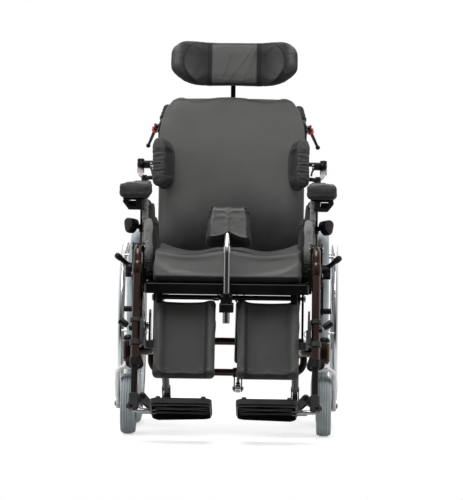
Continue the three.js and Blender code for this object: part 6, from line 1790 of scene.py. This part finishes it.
back_pad = Pad((226.5, 27.4, 254), (52, 24, 52), 6.6, back_shape)
BACK_AT = (0, -43.65, 283.5)
u, v, w = back_pad.uvw.T
inflate(back_pad, (v > 0.6) | (np.abs(u) > 0.96), 6)
drape = np.sin(5.5 * w + 2.4 * np.abs(u) + 0.8) * 1.0 + 0.5 * np.sin(11 * w - 5 * u)
back_pad.push(0.7 * drape * (v < 0) * smooth(np.abs(u), 0.1, 0.9))
# Painted shade: darker towards the lower centre, a painted shadow of the headrest at the top, and a darker
# rear face.
fall = w + 0.30 * u * u - 0.12 * u
back_pad.tone = 0.03 + 0.55 * smooth(fall, -0.72, 0.0) - 0.15 * smooth(w, 0.72, 0.95) * smooth(u, -0.55, -0.1)
back_pad.tone -= 0.25 * smooth(v, -0.3, 0.4)
side_seams = [dropped(back_pad, [(s * 300, 4, -235), (s * 300, 4, 215)], (-s, 0, 0)) for s in (-1, 1)]
for line in side_seams:
    groove(back_pad, line, 1.8, 3.0, 0.1)
pad_piece(back_pad, BACK_AT, "back", "back_cushion_cover", back_cloth, "back", "back_cushion")

# %% [markdown]
# ### Headrest
#
# Two wings bulge forwards on each side of a flat centre panel. A double row of stitches runs down
# each side of the panel, and a curved seam shapes each wing.

# %% Headrest shape
HEAD_HALF, HEAD_SEAMS = 196, (0.36, 0.41)


def head_arc(w):
    """How far out the curved seam of a wing runs at each height, as a share of half the width."""
    return 0.50 + 0.30 * np.sqrt(np.maximum(0, 1 - (w / 0.95) ** 2))


def head_shape(u, v, w):
    """The wings swell forwards to their curved seams, and their lower outer corners are cut back."""
    side = np.abs(u)
    front = 1 - smooth(v, -0.9, 0.4)
    swell = smooth(side, 0.40, 0.80)
    face = smooth(side, 0.385, head_arc(w))
    lift = 30 * np.clip((side - 0.5) / 0.5, 0, 1) ** 2 * np.maximum(0, -w)
    recess = 4 * hill(side - 0.385, 0.035) * front
    return 0 * u, -15 * swell - 14 * face * front + recess, lift


print("a wing's seam at mid height:", round(float(head_arc(0) * HEAD_HALF)), "mm out")

# %% [markdown]
# The middle panel and the faces of the wings are lighter than the channels between them. That is
# painted light: painted shade in the channels, growing towards the panel, a painted highlight on
# the upper part of each outer rim, and painted shade over the rear and the lower part. The panel
# is darker at its top and bottom edges.

# %% Headrest
head_pad = Pad((HEAD_HALF, 30.5, 68), (52, 27, 40), 4.0, head_shape)
HEAD_AT = (4, -45, 639)
u, v, w = head_pad.uvw.T
side, front = np.abs(u), 1 - smooth(v, -0.6, 0.2)
channel = np.minimum(*(np.abs(side - place) for place in HEAD_SEAMS))
held = (v < 0) & ((channel < 0.012) | (np.abs(side - head_arc(w)) < 0.014)) | (v > 0.6)
flat = head_pad.points
inflate(head_pad, held, 6, pressure=4, slack=0.03)
swelling = 0.25 + 0.25 * smooth(side, 0.30, 0.50)
head_pad.points = flat + (head_pad.points - flat) * swelling[:, None]
# Painted light and shade: shade in the channels, a highlight on the outer rims, and shade at the rear and the
# bottom.
panel = smooth(-side, -0.37, -0.34)
wing_face = smooth(side, 0.40, 0.74) * (1 - smooth(side - head_arc(w), -0.02, 0.02))
outside = smooth(side - head_arc(w), -0.01, 0.03)
head_pad.tone = 0.09 + 0.36 * panel * smooth(0.93 - np.abs(w), 0.0, 0.06) + 0.17 * wing_face
head_pad.tone += outside * (0.42 * hill(side - 0.92, 0.06) * smooth(w, -0.5, 0.2) + 0.02)
head_pad.tone *= (1 - 0.75 * smooth(v, -0.5, 0.3) * smooth(-w, -0.4, 0.9))

# %% [markdown]
# The seams are dropped onto the finished shape. Creases and gathers come after them.

# %% Headrest seams
head_lines = []
for s in (-1, 1):
    for place in HEAD_SEAMS:
        x = s * place * HEAD_HALF
        head_lines.append(dropped(head_pad, [(x, -120, -64), (x, -120, 66)], REAR))
    heights = np.linspace(-0.90, 0.90, 60)
    arc_x = s * HEAD_HALF * head_arc(heights)
    arc_z = 70 * heights + 30 * np.clip((head_arc(heights) - 0.5) / 0.5, 0, 1) ** 2 * np.maximum(0, -heights)
    head_lines.append(dropped(head_pad, np.stack([arc_x, np.full(60, -120.0), arc_z], -1), REAR))
for z in (62, -60):
    head_lines.append(dropped(head_pad, [(-70, -120, z), (70, -120, z)], REAR))
for line in head_lines:
    groove(head_pad, line, 2.4, 2.6, 0.14)
CREASES = ((62, 54, -18, -56), (66, 40, 28, -58), (70, 50, 50, -30), (-10, 30, -34, -40))
for x0, z0, x1, z1 in CREASES:
    crease = dropped(head_pad, [(x0, -120, z0), (x1, -120, z1)], REAR)
    groove(head_pad, crease, 1.3, 3.2, 0.07)
pucker = np.sin(70 * w + 3 * u) * hill(side - head_arc(w) + 0.03, 0.05) * front * smooth(u, 0.2, 0.5)
head_pad.push(0.8 * pucker + 0.4 * np.sin(9 * (u * 2.2 + w * 0.9)) * front * smooth(side, 0.45, 0.7))
pad_piece(head_pad, HEAD_AT, "back", "headrest_cover", head_cloth, "headrest", "headrest_pad")
trim([stitched([line + [2.6, 0, 0]], (0, -1, 0), lift=0.0) for line in head_lines[:6]],
     HEAD_AT, "back", "headrest_stitches", thread, "headrest", False)
hinge = Form("back").add(block((-40, 40), (-15.5, -8), (622, 670), 3))
hinge.add(rod((-24, -18, 646), (24, -18, 646), 4, 16))
for x in (-18, 18):
    hinge.add(block((x - 5, x + 5), (-20, -6), (634, 658), 2))
hang(hinge, "headrest_hinge_plate", black_plastic, "headrest")

# %% [markdown]
# ### Pommel
#
# The pommel keeps the knees apart. Its cover is sewn down the middle of the front and piped at
# the top corners, and it opens round the tube at the bottom.

# %% Pommel
def hem_height(u):
    """The hem climbs from both sides to a point over the tube."""
    return -0.50 + 0.30 * np.exp(-np.abs(u) / 0.35) - 0.06 * smooth(u, 0.2, 0.8)


def pommel_shape(u, v, w):
    """The block narrows forwards and upwards. Below the hem, the front falls back round the tube."""
    hem = hem_height(u)
    under = smooth(-v, 0.2, 1.0) * (1 - smooth(w, hem - 0.26, hem))
    ahead = 1 - smooth(v, -1, 0.1)
    return (u * (2 * (1 - w) - 5 * smooth(w, 0.2, 1) - 5 * ahead), (20 + 10 * hill(u, 0.25)) * under,
            -5 * smooth(v, -0.6, 1) * smooth(w, 0.3, 1))


pommel = Pad((64, 41.2, 60), (18, 22, 13), 3.2, pommel_shape)
POMMEL_AT = (3, -428, 627)
u, v, w = pommel.uvw.T
hem = hem_height(u)
inflate(pommel, (np.abs(u) < 0.03) & (v < 0) | (w < hem) | (np.abs(np.abs(u) - 0.90) < 0.03) & (v < -0.6), 4)
# Painted light and shade: only the front face is lighter. It grows lighter upwards and is painted darker at
# its top crest, and the sides carry painted shade.
face = smooth(-v, 0.60, 0.90) * smooth(w, hem - 0.02, hem + 0.04) * (1 - smooth(np.abs(u), 0.82, 0.95))
pommel.tone = 0.03 + 0.88 * face * (0.76 + 0.20 * smooth(w, -0.6, 0.5) - 0.36 * smooth(w, 0.66, 0.9))
across = np.linspace(-58, 58, 80)
hem_line = dropped(pommel, np.stack([across, np.full(80, -90.0), 60 * hem_height(across / 60) + 1], -1), REAR)
middle_seam = dropped(pommel, [(0, -90, -12), (0, -90, 56)], REAR)
side_seams = [dropped(pommel, [(s * 55, -90, -30), (s * 50, -90, 50)], REAR) for s in (-1, 1)]
for line, depth in ((middle_seam, 1.8), (hem_line, 1.6), (side_seams[0], 1.4), (side_seams[1], 1.4)):
    groove(pommel, line, depth, 2.2, 0.16)
u, v, w = pommel.uvw.T
pommel.push(0.6 * np.sin(8 * w + 3 * u) * (v < 0) + 0.5 * np.sin(30 * w) * hill(np.abs(u) - 0.95, 0.05))
pommel.push(0.7 * np.sin(64 * u + 40 * w) * smooth(hem - w, 0.03, 0.12) * smooth(-v, 0.2, 0.6))
pad_piece(pommel, POMMEL_AT, "chair", "pommel_cover", pad_cloth, "pommel", "pommel_pad")
trim([stitched([line + [1.5, 0, 0] for line in [middle_seam] + side_seams], (0, -1, 0))],
     POMMEL_AT, "chair", "pommel_stitches", thread, "pommel", False)
trim([swept(hem_line + [0, -0.6, 0], circle(8), 1.5)], POMMEL_AT, "chair", "pommel_hem", pad_cloth, "pommel",
     False)
ears = [block((s * 50 - 3, s * 50 + 3), (-34, -27), (53, 59.5), 1.6) for s in (-1, 1)]
trim(ears, POMMEL_AT, "chair", "pommel_piping_ends", black_plastic, "pommel", False)

# %% [markdown]
# ### Side pads
#
# Thigh pads, side guards and lateral pads are made alike: a smooth dark inner face, and a lighter
# band round the front edge that is gathered into little horizontal folds. Apart from their painted
# light, only their sizes and places differ. The right ones are the left ones mirrored. The band's
# lightness is partly its cloth and partly painted light: it is painted lighter towards the top,
# the thigh pads and side guards, which lie in the shade of the arm pads, are painted brighter, and
# each fold has a painted highlight on its crest and painted shade in its trough.

# %% Thigh, side and lateral pads
def leaning(out, end, inwards, dropping=0.0):
    """The front of a side pad leans outwards, and its rear inwards, so that its inner face can be seen."""
    def lean(u, v, w):
        ahead, behind = 1 - smooth(v, -1, end), smooth(v, -0.9, 0.5) * (1 - 0.7 * w * w)
        return out * ahead - inwards * behind, 0 * v, -dropping * smooth(w, 0, 1) * smooth(v, -0.95, 0.2)
    return lean


SIDE_PADS = (
    # name, half sizes, roundings, lean, centre, frame, body, node, spin, folds to the metre,
    # heights between which they lie
    ("thigh_pad_cover", (14.2, 58, 93), (10, 16, 34), leaning(10, -0.1, 11), (232.4, -285, 554), "chair",
     "seat", "thigh_pad", 0.0, 105, (-1.0, -0.1)),
    ("side_guard_cover", (10.6, 89, 102), (7, 14, 22), leaning(14, 0.1, 4, 22), (240.0, -196, 605), "chair",
     "armrest", "side_guard", 0.0, 90, (-0.3, 1.0)),
    ("lateral_pad_cover", (20.8, 55.4, 74.0), (14, 20, 32), leaning(0, 1, 15), (215, -131, 311), "back",
     "lateral_support", "lateral_pad", splay, 82, (-0.75, 0.55)),
)
# How light each body's band is painted, at the bottom and added towards the top: painted light, brightest for
# the side guards, which lie in the shade of the arm pads.
PAINTED_LIGHTNESS = {"seat": (0.03, 0.97), "armrest": (0.95, 0.05), "lateral_support": (0.20, 0.05)}
for name, half, roundings, lean, centre, where, body, node, spin, folds, span in SIDE_PADS:
    side_pad = Pad(half, roundings, 3.2, lean)
    u, v, w = side_pad.uvw.T
    edge = np.abs(np.abs(u) - 0.80) < 0.06
    inflate(side_pad, edge & (v < -0.3), 3.5)
    band = smooth(-v, 0.70, 0.84)
    folded = smooth(w, span[0] - 0.08, span[0] + 0.2) * (1 - smooth(w, span[1] - 0.2, span[1] + 0.1))
    wander = 1.3 * np.sin(5.1 * w + 1.0) + 0.9 * np.sin(13 * w - 2.0 * u) + 1.1 * u
    fold = np.sin(FULL_TURN * folds * MM * side_pad.points[:, 2] + wander)
    uneven = 0.55 + 0.45 * np.sin(17 * w + 2.0)
    side_pad.push(2.0 * fold * band * folded * uneven)
    # Painted light on the front band: lighter towards the top, with a painted highlight on the crest of each
    # fold and painted shade in its trough.
    painted_light_share = PAINTED_LIGHTNESS[body][0] + PAINTED_LIGHTNESS[body][1] * smooth(w, -0.5, 0.15)
    side_pad.tone = 0.015 + band * (painted_light_share + 0.18 * fold * folded * uneven)
    rim_lines = []
    for s in (-1, 1):
        heights = np.linspace(-half[2] * 0.90, half[2] * 0.90, 60)
        reach = half[1] * 0.80 * np.sqrt(1 - (heights / half[2]) ** 4 * 0.9)
        line = np.stack([np.full(60, s * 200.0), -reach, heights], -1)
        rim_lines.append(dropped(side_pad, line, (-s, 0, 0)))
    for line in rim_lines:
        groove(side_pad, line, 1.3, 2.0, 0.06)
    for side in ("left", "right"):
        # Thigh pads and side guards take the brighter cloth for their painted light.
        cloth = pad_cloth if body == "lateral_support" else lit_pad_cloth
        pad_piece(side_pad, centre, where, name, cloth, body, node, side, spin)
    trim([stitched([line + [0, 2.4, 0]], unit([s, 0, 0]), lift=0.2) for s, line in zip((-1, 1), rim_lines)],
         centre, where, name.replace("cover", "stitches"), thread, body, True, spin)

# %% [markdown]
# ### Arm pads
#
# Moulded foam under black leatherette. A welt runs round the edge, with stitches below it.

# %% Arm pads
def arm_shape(u, v, w):
    """The pad narrows a little towards the rear, and its crown is softly domed."""
    return 4 * smooth(v, -0.2, 1) * (1 - u) * 0.5, 0 * u, 1.5 * (1 - u * u) * smooth(w, 0.5, 1) - 1.5


def round_the_edge(pad, outline, height, lift):
    """Points round a pad at one height, a little outside its surface."""
    tree = BVHTree.FromPolygons(pad.points.tolist(), pad.faces.tolist())
    ring = []
    for x, y in walked(np.column_stack([outline, np.zeros(len(outline))]), 3.0)[:, :2]:
        towards = Vector((-x, -y, 0)).normalized()
        hit, normal = tree.ray_cast(Vector((x, y, height)) - towards * 200, towards)[:2]
        if hit is not None:
            ring.append(np.array(hit) + np.array(normal) * lift)
    return np.array(ring)


arm_pad = Pad((43.5, 161, 21.8), (13, 24, 11), 4.2, arm_shape)
ARM_AT = (279, -291, 734)
u, v, w = arm_pad.uvw.T
inflate(arm_pad, (w < -0.4) | (np.abs(w - 0.2) < 0.12), 2.0)
outline = belt([[s * 25, t * 142, 17.4] for s in (-1, 1) for t in (-1, 1)], 40)
loop = np.concatenate([outline, outline[:1]])
for height, depth in ((-12.5, 1.5), (-4.0, 0.9), (8.0, 1.0)):
    groove(arm_pad, round_the_edge(arm_pad, loop, height, 0), depth, 1.9)
groove(arm_pad, dropped(arm_pad, [(0, -260, -4), (0, -260, 8)], REAR, 0.5), 1.2, 1.6)
for side in ("left", "right"):
    pad_piece(arm_pad, ARM_AT, "chair", "arm_pad_cover", leatherette, "armrest", "arm_pad", side)
trim([stitched([round_the_edge(arm_pad, loop, height, 0.1)], (0, 0, 0)) for height in (-15.5, 10.4)],
     ARM_AT, "chair", "arm_pad_stitches", thread, "armrest", True)

# %% [markdown]
# ### Calf pads
#
# A shallow dish with a bolster on each side. The cover is gathered to a hem at the back edges.

# %% Calf pads
def calf_shape(u, v, w):
    """The front is hollowed between two bolsters, and the top edge dips in the middle."""
    front = 1 - smooth(v, -1, 0.6)
    face = 15 * (1 - smooth(np.abs(u), 0.60, 0.80)) + 3 * u * u * (np.abs(u) < 0.6)
    dip = -6 * (1 - u * u) * smooth(w, 0.4, 1)
    return 0 * u, face * front, dip


calf = Pad((92.5, 21.8, 120), (14, 17, 14), 3.8, calf_shape)
CALF_AT = (-140.5, 52.5, -266)
u, v, w = calf.uvw.T
inflate(calf, (v > 0.4) | (np.abs(w) > 0.9), 3.0)
calf.push(0.5 * np.sin(7 * u + 3 * w) * (v < 0) * smooth(np.abs(u), 0.3, 0.8))
bolster = hill(np.abs(u) - 0.84, 0.075)
# Painted light and shade: a little lighter upwards, a painted highlight on each bolster, and painted shade in
# the valleys inside the bolsters, on the rear and along the bottom edge.
calf.tone = 0.34 + 0.05 * smooth(w, -1, 1) + 0.13 * bolster
calf.tone -= (0.30 * hill(u + 0.70, 0.05) + 0.10 * hill(u - 0.66, 0.08)) * (v < 0)
calf.tone -= 0.22 * smooth(v, -0.2, 0.5)
calf.tone *= (1 - 0.45 * hill(w + 0.93, 0.05))
low_hem = dropped(calf, [(-86, -90, -103), (-60, -90, -108), (60, -90, -108), (86, -90, -103)], REAR)
groove(calf, low_hem, 2.4, 2.8, 0.16)
for s in (-1, 1):
    groove(calf, dropped(calf, [(s * 64, -90, -106), (s * 63, -90, 111)], REAR), 1.0, 7.0, 0.02)
tuck = dropped(calf, [(89, -90, -88), (74, -90, -104)], REAR)
groove(calf, tuck, 1.8, 2.2, 0.12)
calf.push(0.6 * np.sin(34 * u) * hill(w + 0.90, 0.05) * (v < 0))
for side in ("left", "right"):
    pad_piece(calf, CALF_AT, "leg", "calf_pad_cover", back_cloth, "calf_rest", "calf_pad", side)
trim([stitched([low_hem + [0, 0, 3.0]], (0, -1, 0))], CALF_AT, "leg", "calf_pad_stitches", thread,
     "calf_rest", True)
calf_back = Form("leg").add(block((-118, -92), (70, 98), (-285, -263), 3))
calf_back.add(plate(rounded((-190, -340), (-92, -200), 14), "y", 73.5, 76.5))
hang(calf_back, "calf_pad_mount", black_plastic, "calf_rest")

# %% [markdown]
# ## The floor
#
# A white disc on the floor catches a soft shadow. It grows transparent towards its rim and glows a
# little to the camera, so that it has no edge against the white room.

# %% Floor
FLOOR_RADIUS = 1.9
rings = [0.0, 0.4, 0.8, 1.2, 1.6, FLOOR_RADIUS]
floor_points, floor_faces = turned([[max(r * 1000, 0.001), 0] for r in rings], (0, -180, 0), UP, 96)
floor_data = bpy.data.meshes.new("floor")
floor_data.from_pydata(to_row(floor_points).tolist(), [], floor_faces[:-2])
floor = bpy.data.objects.new("floor", floor_data)
bpy.context.scene.collection.objects.link(floor)
floor_finish = Finish("white_floor", (0.9, 0.9, 0.9), 0.6, Specular_IOR_Level=0.1, Emission_Strength=1.0)
floor_finish.set("Roughness", 0.55 + 0.1 * floor_finish.noise(3.0))
from_middle = floor_finish.node("VectorMath", {"operation": "LENGTH"}, {0: floor_finish.object_place()},
                                "Value")
floor_finish.set("Alpha", 0.6 * (1 - floor_finish.ramp(from_middle, 0.35, FLOOR_RADIUS)))
to_camera = floor_finish.node("LightPath", output="Is Camera Ray")
floor_finish.set("Emission Color", floor_finish.between(to_camera, (0, 0, 0), (0.35, 0.35, 0.35)))
dress(floor, floor_finish)
print("floor: a disc of", FLOOR_RADIUS, "m that fades to its rim")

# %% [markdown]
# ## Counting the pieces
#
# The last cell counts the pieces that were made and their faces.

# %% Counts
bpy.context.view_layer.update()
faces = sum(len(o.data.polygons) for o in made.values())
print(len(made), "pieces,", faces, "faces before their modifiers")
